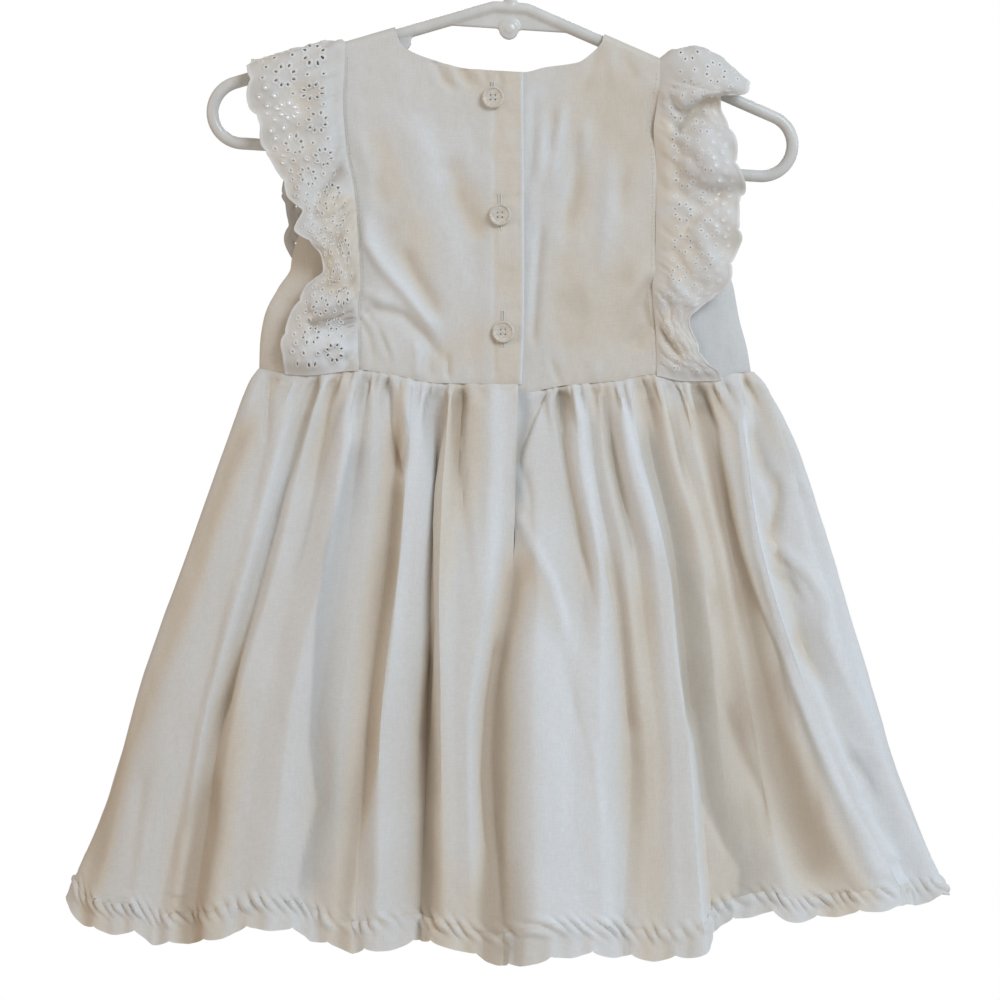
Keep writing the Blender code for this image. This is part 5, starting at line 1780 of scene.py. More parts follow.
RIGHT_RUFFLE_CREASES = table_of(
    Crease,
    (((84, 69), (90.5, 59), (100, 54.5), (113, 52)), -4.6, 7.0, 2.0, 5, 0.1),
    (((86, 56), (99, 49.5), (113, 46.5)), 1.8, 2.5, 4.5, 5, 0.1),
    (((97, 64), (102.5, 84), (107, 101)), 2.2, 5.5, 5.5, 8, 8),
    (((112, 100), (99, 108), (88, 122)), -2.4, 3.0, 3.0, 4, 6),
    (((95, 114), (108, 140)), 2.0, 4.0, 4.0, 6, 6),
    (((88, 70), (86, 90), (90, 106)), -1.8, 3.5, 4.0, 6, 6),
    (((84, 126), (92, 140), (104, 152)), -2.0, 3.0, 4.0, 5, 6),
    (((82, 146), (92, 156), (99, 158)), 1.8, 4.0, 3.0, 4, 4),
    (((74, 165), (81, 175), (90, 186)), -2.8, 3.0, 1.4, 2, 3),
    (((80, 166), (88, 175), (97, 183)), 1.8, 3.0, 4.0, 4, 4),
    (((113, 72), (117, 88)), -1.4, 4, 4, 5, 5),
)


# Painted light and shade on the ruffles: tan where a lobe lies in shade, bluish where it faces the light.
LEFT_RUFFLE_PAINTED_LIGHT = table_of(
    Crease,
    (((-86, 98), (-91, 125), (-90, 146), (-96, 156)), 0.6, 9, 10, 6, 8),
    (((-118, 44), (-108, 60)), 0.2, 8, 8, 4, 4),
    (((-104, 172), (-96, 182), (-86, 190)), -0.9, 14, 14, 3, 0.1),
    (((-90, 56), (-92, 80)), -0.25, 6, 6, 6, 8),
)
# Painted shade under the ruffles' overhanging folds.
LEFT_RUFFLE_SHADES = table_of(
    Crease,
    (((-108, 169), (-92, 167), (-80, 164)), 0.55, 4, 1.2, 3, 2),
    (((-86, 84), (-101, 103)), 0.45, 2, 4, 4, 6),
)
RIGHT_RUFFLE_PAINTED_LIGHT = table_of(
    Crease,
    (((79, 55), (81, 90), (83, 110)), 0.34, 6, 8, 8, 10),
    (((80, 110), (86, 130), (90, 150)), 0.30, 6, 10, 8, 10),
    (((78, 160), (84, 178), (92, 190)), 0.3, 6, 8, 6, 2),
)
RIGHT_RUFFLE_SHADES = table_of(
    Crease,
    (((84, 66), (92, 61), (104, 57)), 0.45, 5, 2, 4, 3),
    (((90, 62), (88, 74), (84, 84)), 0.35, 5, 3, 4, 5),
    (((75, 165), (82, 174), (89, 184)), 0.3, 3, 1.5, 3, 3),
)


@dataclass
class Ruffle:
    """One gathered strip of eyelet cotton, from the back waist over the shoulder to the front waist."""

    side: Side
    back: tuple[Ray, ...]
    front: tuple[Ray, ...]
    depth: float = 46.0
    scallop: float = 19.0
    notch: float = 2.6
    blend: float = 25.0
    grain: float = 1.75
    corners: int = 10
    hole: float = 0.72
    emboss: float = 0.46
    rumple: float = 0.7
    lean: float = 0.75
    welt: float = 0.75
    set_in: float = 0.06
    gathering: float = 1.0
    creases: tuple[Crease, ...] = ()
    # painted light and painted shade, laid on the back by place
    painted_light_tones: tuple[Crease, ...] = ()
    shades: tuple[Crease, ...] = ()

    @property
    def node(self) -> str:
        """The name of its solid."""
        return f"ruffle_{self.side.name.lower()}"

    def table(self) -> Array:
        """Its rays in order from the back waist to the front waist.

        Returns:
            A row for each ray: its place along the seam, its tip and its belly.
        """
        way = self.side.value
        rows = [(-ray.down, way * ray.reach, -ray.out, -ray.drop, ray.belly) for ray in reversed(self.back)]
        stretch = self.back[-1].down / self.front[-1].down
        rows += [(ray.down * stretch, way * ray.reach, ray.out, -ray.drop, ray.belly)
                 for ray in self.front[1:]]
        return np.array(rows)

    def root(self, along: Array, lift: ArrayLike) -> Array:
        """Points above the seam, by their way along it from the top of the shoulder.

        Args:
            along: Length along the seam, negative on the back.
            lift: Height above the panels.

        Returns:
            The points.
        """
        start = BODY_FORM.root_x(self.side, BODY_FORM.strap_top)
        length = np.abs(along)
        arch = BODY_FORM.arch
        turn = np.clip(length / arch, 0, math.pi / 2)
        drop = BODY_FORM.shoulder_drop(start) + arch * (1 - np.cos(turn))
        drop = drop + np.maximum(length - arch * math.pi / 2, 0)
        x = BODY_FORM.root_x(self.side, drop)
        drop = np.maximum(drop, BODY_FORM.shoulder_drop(x) + 1e-3)
        back, out_back = BODY_FORM.place(BODY_FORM.depth, Face.BACK, x, drop)
        front, out_front = BODY_FORM.place(BODY_FORM.depth, Face.FRONT, x, drop)
        behind = (along < 0)[..., None]
        out = np.where(behind, out_back, out_front)
        return np.where(behind, back, front) + out * np.asarray(lift)[..., None]

    def surface(self, ray: Array, across: Array) -> Array:
        """Points of the smooth ruffle at a place along its rays and a share of the way across it.

        Args:
            ray: Places from ray to ray.
            across: Shares of the way across.

        Returns:
            The points.
        """
        row = smooth(np.arange(len(self.rows)), self.rows, ray)
        along = row[..., 0]
        root = self.root(along, 0.2 + (BODY_FORM.layer - 0.2) * ease(across / self.set_in))
        tip = row[..., 1:4]
        swing = np.clip(along / self.blend, -1, 1) * math.pi / 2
        bulge = np.stack([0 * swing, np.sin(swing), np.cos(swing)], axis=-1)
        middle = (root + tip) / 2 + 2 * row[..., 4:5] * bulge
        part = across[..., None]
        return root * (1 - part) ** 2 + 2 * middle * part * (1 - part) + tip * part**2

    def edge(self, s: Array) -> Array:
        """How far across the strip its scalloped edge lies."""
        step = self.length / round(self.length / self.scallop)
        return self.depth + 0.8 - self.notch * (1 - np.abs(np.sin(math.pi * s / step)) ** 0.65)

    def gathers(self, s: Array, t: Array) -> Array:
        """Heights of the gathers at the seam and of the small flutes that run out of them.

        Args:
            s: Places along the strip.
            t: Places across it.

        Returns:
            One height for each place.
        """
        seed = 60 + self.side.value
        share = t / self.depth
        slant = s + self.lean * t
        fine = np.sin(2 * math.pi * slant / 5.6 + 5.0 * Wander(seed, 13)(s))
        fine = fine * (0.5 + 0.4 * Wander(seed + 1, 9)(s))
        middle = np.sin(2 * math.pi * slant / 13.5 + 4.0 * Wander(seed + 2, 21)(s))
        middle = middle * 0.9 * bell(share - 0.3, 0.28)
        flute = Wander(seed + 5, 15)(s + 7 * share) * 2.4 * ease(share / 0.9)
        rumple = Crumple(seed + 9, 9, 12)(slant, t) + 0.35 * Crumple(seed + 11, 3.2, 4.2)(s, t)
        total = self.gathering * (fine * bell(share - 0.08, 0.14) + middle) + flute
        total = total + self.rumple * rumple * (0.35 + 0.65 * ease(np.minimum(s, self.length - s) / 45))
        welt = self.welt * (1 + 0.3 * Wander(seed + 7, 3)(s)) * bell(t - 1.9, 0.9)
        return total * ease(share / self.set_in) + welt

    def gathered_in(self, points: Array, foot: Array) -> Array:
        """Draws the strip's ends down into the waist seam.

        Args:
            points: Places on the strip.
            foot: Their distance along the strip from its nearer end.

        Returns:
            The places, drawn in.
        """
        x, y, z = points.T
        cut = Cut.BACK_LEFT if self.side is Side.LEFT else Cut.BACK_RIGHT
        waist = np.where(y < 0, BODY_FORM.waist(x, cut), BODY_FORM.waist(x, Cut.FRONT))
        drop = -z + (waist + 0.5 - foot + z) * bell(foot, 6)
        near = np.sign(y) * (BODY_FORM.depth(x, np.minimum(drop, BODY_FORM.waist_line)) + 0.9)
        return np.stack([x, y + (near - y) * bell(foot, 3.2), -drop], axis=-1)

    def outside(self, places: Array, holes: Array, margin: float) -> Array:
        """Which places lie outside every hole by a margin.

        Args:
            places: Places on the flat strip.
            holes: The holes.
            margin: The margin.

        Returns:
            True for each place that is clear.
        """
        clear = np.ones(len(places), bool)
        inner = math.cos(math.pi / self.corners) * 0.98 if margin == 0 else 1.0
        for s, t, long, wide, slant in holes:
            near = np.where((np.abs(places[:, 0] - s) < 4) & (np.abs(places[:, 1] - t) < 4))[0]
            off = places[near] - (s, t)
            along = (off[:, 0] * math.cos(slant) + off[:, 1] * math.sin(slant)) / (long * inner + margin)
            across = (off[:, 1] * math.cos(slant) - off[:, 0] * math.sin(slant)) / (wide * inner + margin)
            clear[near] &= np.hypot(along, across) > 1
        return clear

    def strip(self) -> tuple[Array, Array, Array]:
        """Lays the flat strip out as triangles about its holes.

        Returns:
            The flat points, the triangles and each point's height of raised stitching.
        """
        holes = self.eyelets.places()
        along = np.arange(0, self.length + 1e-6, self.length / round(self.length / 1.05))
        rings = [np.stack([along, self.edge(along) - inset], axis=1) for inset in (0.0, 0.9, 1.9)]
        rings.append(np.stack([along, 0 * along], axis=1))
        raised = [0.28, 0.42, 0.0, 0.0]
        heights = [np.full(len(along), height) for height in raised]
        grid = []
        rows = int(self.depth / (self.grain * 0.87))
        for row in range(1, rows):
            t = row * self.depth / rows
            shift = (row % 2) * self.grain / 2
            s = np.arange(shift if shift else self.grain, self.length - 0.4 * self.grain, self.grain)
            grid.append(np.stack([s, np.full(len(s), t)], axis=1))
        ends = np.arange(self.grain, self.depth - 2, self.grain)
        grid.append(np.stack([0 * ends, ends], axis=1))
        grid.append(np.stack([0 * ends + self.length, ends], axis=1))
        plain = np.concatenate(grid)
        keep = plain[:, 1] < self.edge(plain[:, 0]) - 2.7
        keep &= self.outside(plain, holes, 1.5)
        plain = plain[keep]
        turns = np.linspace(0, 2 * math.pi, self.corners, endpoint=False)
        for grow, height, twist in ((0.0, 0.12, 0.0), (0.55, self.emboss, 0.5), (1.25, 0.0, 0.0)):
            angle = turns[None, :] + twist * 2 * math.pi / self.corners
            long = (holes[:, 2:3] + grow) * np.cos(angle)
            wide = (holes[:, 3:4] + grow) * np.sin(angle)
            cos = np.cos(holes[:, 4:5])
            sin = np.sin(holes[:, 4:5])
            ring_s = holes[:, 0:1] + long * cos - wide * sin
            ring_t = holes[:, 1:2] + long * sin + wide * cos
            rings.append(np.stack([ring_s, ring_t], axis=-1).reshape(-1, 2))
            heights.append(np.full(len(holes) * self.corners, height))
        flat = np.concatenate([plain, *rings])
        height = np.concatenate([np.zeros(len(plain)), *heights])
        made = delaunay_2d_cdt([Vector(p) for p in flat.tolist()], [], [], 0, 1e-6, True)
        source = np.array([origin[0] for origin in made[3]])
        flat = flat[source]
        height = height[source]
        faces = np.array([list(face) for face in made[2]])
        centre = flat[faces].mean(axis=1)
        inside = centre[:, 1] < self.edge(centre[:, 0]) - 0.02
        inside &= self.outside(centre, holes, 0.0)
        used, faces = renumbered(faces[inside], len(flat))
        return flat[used], faces, height[used]

    def build(self) -> Piece:
        """Builds the ruffle.

        Returns:
            The ruffle's object.
        """
        self.rows = self.table()
        rays = np.linspace(0, len(self.rows) - 1, 1500)
        tips = self.surface(rays, np.ones_like(rays))
        lengths = lengths_along(tips)
        self.length = float(lengths[-1])
        self.eyelets = Eyelets(self.length, self.depth, self.scallop, self.hole)
        flat, faces, stitched = self.strip()
        s, t = flat.T
        ray = np.interp(s, lengths, rays)
        across = t / self.depth
        points = self.surface(ray, across)
        over_ray = self.surface(ray + NUDGE, across) - self.surface(ray - NUDGE, across)
        over_across = self.surface(ray, across + NUDGE) - self.surface(ray, across - NUDGE)
        outward = unit(np.cross(over_ray, over_across)) * -self.side.value
        folds = self.gathers(s, t)
        behind = points[:, 1] < -2
        creased = relief(self.creases, points[:, 0], -points[:, 2])
        folds = folds + np.where(behind, creased, 0) * ease(across / 0.2)
        foot = np.minimum(s, self.length - s)
        folds = folds + 0.8 * np.sin(t / 1.5) * bell(foot, 5)
        points = self.gathered_in(points + outward * folds[:, None], foot)
        sheet = Cloth(points, faces, outward)
        sheet.points = points + sheet.turned()[1] * stitched[:, None]
        edge = 1 - ease((self.edge(s) - t - 1.0) / 0.9)
        # painted light and shade: the gathers' hollows tan, with the tables' painted light and shade on the
        # back
        tone = np.where(behind, relief(self.painted_light_tones, points[:, 0], -points[:, 2]), 0)
        sheet.values = {
            "warm": np.clip(0.16 - 0.07 * folds + 0.08 * bell(across, 0.12) + tone, -1, 0.8),
            "shade": np.where(behind, relief(self.shades, points[:, 0], -points[:, 2]), 0),
            "stitched": np.maximum(np.clip(stitched / 0.3, 0, 1), edge),
        }
        piece = sheet.shell(f"{self.node}_cloth", EyeletCotton(), 0.45)
        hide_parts(self.node)
        return piece


# ---------------------------------------------------------------- skirt


def puckers(points: Array, above: Array, free: Array) -> Array:
    """Heights of the slanting puckers along the hem's seam.

    Args:
        points: Places on the cloth.
        above: Their height above the seam.
        free: 0 at the side seams, which hold the cloth flat, and 1 away from them.

    Returns:
        One height for each place.
    """
    along = points[..., 0] - 0.45 * np.abs(points[..., 1]) * np.tanh(points[..., 0] / 60)
    phase = along / 6.1 + 0.45 * Wander(17, 13)(along) + above * (0.12 + 0.06 * Wander(19, 26)(along))
    size = 2.7 + 0.9 * Wander(18, 9)(along)
    lumps = (np.cos(math.pi * phase) ** 2 + 0.025) ** 0.4 * (1 + 0.35 * Wander(21, 3)(along + above))
    return size * (lumps - 0.42) * bell(above + 0.6, 4.6) * (0.15 + 0.85 * free)


SKIRT_CREASES = table_of(
    Crease,
    (((-127.5, 198), (-129.5, 228)), -1.3, 1.4, 1.8, 0, 14),
    (((-101, 196), (-105, 210), (-118, 251), (-136, 313), (-148.5, 364), (-158, 391),
      (-170.5, 434)), -1.8, 5.0, 1.8, 0.1, 70),
    (((-94, 198), (-98, 225), (-106.5, 263)), -1.5, 2.2, 2.2, 0.1, 40),
    (((-84, 197), (-85, 230), (-93, 272), (-100, 318), (-106, 340)), 1.7, 6.0, 1.6, 0.1, 60),
    (((-75, 197), (-79.5, 230), (-84, 263)), -1.5, 1.6, 3.0, 0.1, 30),
    (((-64, 197), (-62.5, 225), (-56.5, 250)), -2.2, 2.6, 1.3, 0.1, 6),
    (((-51.5, 197), (-52, 220), (-56, 250)), -1.4, 1.3, 2.6, 0.1, 14),
    (((-57, 246), (-59, 282), (-63, 323), (-68.5, 364), (-72.5, 404), (-80.5, 460)), -2.4, 6.0, 1.3, 6, 60),
    (((-34.5, 197), (-37.5, 235), (-39.5, 272), (-39, 323), (-44, 384),
      (-47, 462)), -2.2, 3.5, 1.3, 0.1, 150),
    (((-39, 212), (-41, 272), (-43, 330), (-45, 390)), 4.0, 7.5, 6.5, 50, 80),
    (((12, 300), (16, 390), (20, 485)), 3.4, 12, 34, 60, 0.1),
    (((88, 290), (92, 323), (95, 355), (100, 387), (104, 419), (118, 455)), -2.4, 2.6, 20, 30, 30),
    (((-74, 330), (-78, 389), (-83, 485)), 2.2, 7, 6, 50, 0.1),
    (((-38.5, 198), (-42.5, 217), (-46.5, 243)), -1.2, 1.5, 1.5, 0.1, 16),
    (((-24.5, 198), (-23.5, 207), (-27.5, 233), (-24.5, 261), (-16.5, 325)), -1.9, 2.6, 1.0, 0.1, 90),
    (((-31, 198), (-29, 214), (-33, 240)), -1.3, 1.2, 1.8, 0.1, 24),
    (((-18, 207), (-16, 250), (-14, 325)), -0.6, 2.2, 2.2, 12, 60),
    (((-6.5, 330), (-11, 364), (-14, 404), (-11.5, 439), (-5, 462)), -2.0, 1.6, 5.0, 10, 30),
    (((-100.5, 371), (-97.5, 399), (-103.5, 449)), -1.6, 5, 5, 20, 30),
    (((-172, 430), (-176, 470)), 1.0, 4, 4, 10, 1),
    (((-194, 400), (-204, 470)), -1.2, 4, 3, 20, 1),
    (((-150, 300), (-166, 380)), -0.9, 5, 4, 20, 30),
    (((-118, 330), (-128, 400)), -0.8, 6, 6, 20, 30),
    (((24, 199), (18, 208), (12.3, 218), (7, 232), (3, 246)), -2.8, 6.0, 1.1, 0.1, 8),
    (((5, 242), (8.5, 252), (11, 268)), -1.6, 2.0, 2.6, 4, 10),
    (((4, 265), (12, 284), (22, 302), (31.5, 340)), 1.3, 3.0, 2.4, 6, 26),
    (((25.5, 197), (24.5, 215), (29, 243), (35.5, 277), (45.5, 325)), -2.1, 1.5, 2.4, 0.1, 40),
    (((36, 200), (37, 225), (45, 280)), 1.0, 2.4, 2.4, 2, 34),
    (((49.5, 197), (51.5, 225), (58, 256), (64, 286)), -2.1, 2.8, 1.4, 0.1, 26),
    (((59, 200), (61, 225), (70.5, 261), (78, 299)), 1.0, 2.6, 2.4, 2, 34),
    (((64, 197), (66.5, 220), (76, 261), (85.5, 300), (88.5, 343), (97, 398)), -2.6, 1.1, 5.0, 0.1, 50),
    (((81.5, 197), (86.5, 225), (94, 263)), -1.5, 1.8, 2.2, 0.1, 26),
    (((101, 197), (108, 225), (115, 266), (126, 307), (142.5, 346), (151, 392)), -1.6, 7.0, 1.4, 0.1, 36),
    (((119, 197), (123, 228), (126.5, 261), (135, 307), (146.5, 340)), 0.9, 1.3, 1.3, 2, 16),
    (((146.5, 338), (165.5, 386), (181, 426), (200, 455)), 1.2, 2.0, 4.0, 10, 20),
    (((128, 235), (133, 261), (132, 284)), -0.9, 2.0, 2.0, 8, 10),
    (((131.5, 283), (151, 297), (167.5, 309)), -0.8, 2.0, 2.4, 5, 16),
    (((174, 311), (176, 340)), -0.7, 2.4, 2.4, 8, 12),
    (((49.5, 285), (56.5, 318), (61, 364), (62.5, 388)), -1.9, 1.6, 4.0, 14, 12),
    (((31.5, 358), (35.5, 374), (40.5, 391)), -0.9, 3.0, 2.0, 8, 8),
    (((42.5, 382), (45.5, 414), (47.5, 436)), 0.6, 1.6, 1.6, 8, 14),
    (((113, 362), (123, 396), (134, 419), (134.5, 442)), -1.6, 2.4, 3.0, 14, 14),
    (((112, 330), (124, 380), (146, 430), (166, 470)), -2.8, 12, 16, 50, 20),
    (((142, 338), (163, 392), (182, 436), (196, 466)), 2.4, 2.6, 13, 30, 10),
    (((157.5, 392), (162, 414), (164.5, 434)), -1.3, 3.0, 3.0, 10, 12),
    (((-64.5, 352), (-41, 346)), 0.5, 1.2, 1.2, 6, 8),
    (((-69, 382), (-56.5, 384)), -0.5, 1.4, 1.4, 4, 6),
    (((13, 408), (24, 396), (30, 404)), 0.5, 1.8, 1.8, 6, 8),
    (((20, 430), (32, 418)), 0.45, 1.8, 1.8, 5, 6),
    (((176, 350), (190, 372), (196, 380)), -0.8, 2.2, 2.2, 8, 10),
    (((188, 396), (196, 408)), -0.7, 2.2, 2.2, 4, 6),
    (((126, 222), (133, 243), (138, 254)), -2.4, 3.0, 3.0, 6, 6),
    (((128, 250), (135, 262), (136, 278)), 2.6, 2.4, 2.2, 5, 6),
    (((139, 247), (142, 260), (139, 280)), -2.4, 2.6, 2.6, 5, 6),
    (((135, 285), (146, 291), (157, 301), (165, 312)), 2.8, 1.5, 3.2, 4, 10),
    (((134, 296), (148, 304), (156, 316)), -2.2, 3.2, 1.8, 5, 8),
    (((143, 254), (153, 252), (160, 256)), 1.6, 2.2, 2.6, 5, 5),
    (((168, 309), (167, 331), (174, 349), (181, 362)), 1.8, 3.0, 3.0, 6, 8),
    (((150, 326), (157, 344), (168, 362)), -1.8, 4.0, 3.0, 8, 10),
    (((164, 385), (174, 404), (186, 421)), 2.4, 1.8, 3.6, 6, 8),
    (((178, 396), (190, 410), (196, 424)), -2.2, 2.6, 2.6, 6, 8),
    (((184, 420), (188, 436), (198, 450), (208, 456)), 2.4, 2.0, 3.2, 5, 8),
    (((100, 305), (108, 312), (106, 326)), -1.0, 2.5, 2.5, 5, 6),
    (((176, 384), (186, 396), (199, 402)), 0.8, 2.0, 2.4, 6, 8),
)
# Painted light on the skirt's facets: tan where they turn from the light, bluish where they face it, and a
# painted highlight along the side seam's ridge.
SKIRT_PAINTED_LIGHT = table_of(
    Crease,
    (((-59.7, 214), (-59.7, 244), (-76.4, 389), (-88, 485)), 0.55, 9, 5, 20, 0.1),
    (((-26.4, 203), (-40.5, 341), (-38.4, 495)), 0.5, 8, 9, 10, 0.1),
    (((7, 283), (-5, 355), (-10, 495)), 0.55, 10, 7, 20, 0.1),
    (((7, 283), (28, 340), (40, 389)), 0.42, 5, 6, 10, 40),
    (((96, 205), (116, 292), (139, 379), (172, 452), (192, 480)), 0.45, 14, 8, 10, 0.1),
    (((68, 290), (71, 400), (73, 485)), 0.42, 11, 9, 30, 0.1),
    (((-139, 320), (-149, 389), (-170, 484)), 0.55, 9, 12, 50, 0.1),
    (((-135, 210), (-170, 310), (-206, 400), (-226, 480)), 0.6, 9, 6, 20, 0.1),
    (((-156, 390), (-166, 450), (-168, 495)), 0.45, 12, 12, 50, 0.1),
    (((-20, 430), (-18, 495)), 0.3, 14, 14, 40, 0.1),
    (((-31, 199), (-32, 229), (-35, 274), (-37, 330)), 0.3, 4.5, 6, 1, 40),
    (((-22, 199), (-20, 240), (-22, 300)), 0.22, 5, 5, 1, 40),
    (((-47, 199), (-51.5, 254), (-57, 297), (-62, 360)), -0.42, 5, 5, 1, 60),
    (((-4, 203), (-4, 229), (-8.6, 274), (-13, 320)), -0.42, 6, 5, 1, 30),
    (((4, 265), (12, 284), (22, 302), (31.5, 340)), -0.35, 3, 3, 6, 26),
    (((-178, 300), (-196, 360), (-212, 440)), -0.2, 8, 8, 30, 40),
    (((34, 300), (32, 390), (40, 480)), -0.35, 22, 14, 40, 0.1),
    (((-110, 230), (-130, 330), (-136, 400)), -0.25, 14, 12, 40, 40),
    (((136, 230), (170, 330), (206, 440), (216, 480)), -0.4, 14, 20, 30, 0.1),
    (((121.7, 216), (124, 250), (131.5, 289), (145, 340), (161.7, 382), (180, 425)), -0.9, 1.4, 2, 6, 30),
    (((139, 247), (142, 260), (139, 280), (144, 300)), 0.5, 4, 4, 5, 6),
    (((-57, 200), (-57.4, 222), (-57.6, 246)), 0.5, 4, 4, 1, 3),
    (((-116, 204), (-124, 240), (-140, 290)), -0.3, 6, 6, 2, 30),
    (((57, 206), (66, 244), (80, 296)), -0.35, 4, 4, 2, 26),
    (((30, 206), (38, 250), (48, 300)), -0.3, 4, 5, 2, 26),
    (((74, 206), (86, 250), (104, 320)), 0.25, 5, 6, 2, 40),
)
# Painted shade in the skirt's hollows, beside the folds that cast it.
SKIRT_SHADES = table_of(
    Crease,
    (((66, 215), (68.5, 236), (77.9, 268), (85, 305), (91, 355), (97.5, 387), (101, 419), (112, 440),
      (122, 455), (121, 482)), 0.4, 1.5, 17, 20, 0.1),
    (((-82.6, 221), (-89.4, 258), (-96, 286), (-101.3, 321), (-105, 387), (-101, 419), (-109, 451),
      (-112, 475)), 0.45, 1.6, 15, 16, 20),
    (((-38.5, 203), (-40.5, 230), (-40, 300), (-40.5, 341), (-40, 400),
      (-43, 490)), 0.42, 6.5, 2.5, 4, 0.1),
    (((103, 203), (110.8, 244), (118.6, 279), (128, 307), (141, 339), (152, 392)), 0.26, 4.5, 1.0, 1, 40),
    (((7, 203), (8, 216), (4, 240), (5, 270)), 0.6, 3.5, 4, 1, 14),
    (((-1, 320), (-5, 345)), 0.3, 5, 4, 14, 20),
    (((50, 205), (55, 244), (62, 276), (65, 292)), 0.5, 1.6, 1.2, 1, 10),
    (((25, 203), (26, 228), (32, 268), (43, 308)), 0.4, 1.6, 1.2, 1, 20),
    (((-86, 205), (-96, 235), (-110, 290), (-122, 323)), 0.34, 3.0, 2.0, 10, 40),
    (((-22.8, 199), (-24, 230), (-22, 262)), 0.4, 1.6, 1.2, 1, 20),
    (((-129, 200), (-130.5, 230)), 0.3, 1.2, 0.8, 1, 4),
    (((119.5, 216), (121.5, 250), (128.5, 289), (142, 340), (158.5, 382), (177, 425)), 0.22, 3, 0.8, 6, 40),
    (((-106, 214), (-118, 250), (-136, 306), (-150, 364), (-163, 410), (-176, 450)), 0.28, 3.5, 2.5, 4, 30),
    (((-94, 200), (-98, 222), (-104, 258)), 0.3, 0.8, 1.6, 1, 20),
    (((-63.2, 200), (-62, 224), (-57.4, 250)), 0.42, 0.8, 1.0, 1, 3),
    (((-51.6, 200), (-53, 224), (-57.4, 250)), 0.42, 1.2, 0.8, 1, 3),
    (((-58, 254), (-60.6, 280), (-64.5, 322), (-70, 370)), 0.34, 3.5, 0.9, 3, 50),
    (((80.5, 200), (86, 224), (93, 258)), 0.36, 0.9, 1.6, 1, 20),
    (((120, 200), (123.4, 249), (129, 287)), 0.2, 0.9, 1.2, 1, 14),
)


class Pleat(NamedTuple):
    """A short pleat at the waist: its x and its length."""

    x: float
    length: float


class Patch(NamedTuple):
    """One grid of the skirt: its points, directions outward, its warmth and shade, mostly painted light and
    shade, and the hem that the trim is sewn to.
    """

    points: Array
    outward: Array
    warm: Array
    shade: Array
    hem: Array


GATHERS_BACK = table_of(
    Pleat, (-121.5, 9), (-114, 12), (-109.5, 20), (-100.5, 26), (-88.5, 12), (-82.5, 14), (-77.5, 26),
    (-73, 14), (-69, 9), (-63.5, 22), (-58, 8), (-46.5, 12), (-41.5, 26), (-33, 20), (-29, 10), (-24.5, 16),
    (-14, 7), (18.5, 18), (25, 24), (29, 14), (31.5, 20), (37, 12), (42, 16), (46, 9), (54, 12), (59, 22),
    (68.5, 24), (74.5, 12), (86.5, 22), (90, 12), (94.5, 16), (99.5, 22), (106, 24), (112, 12), (125, 18),
)
FRONT_PLEATS = (-128, 126, 6.3)  # first x, last x and pitch


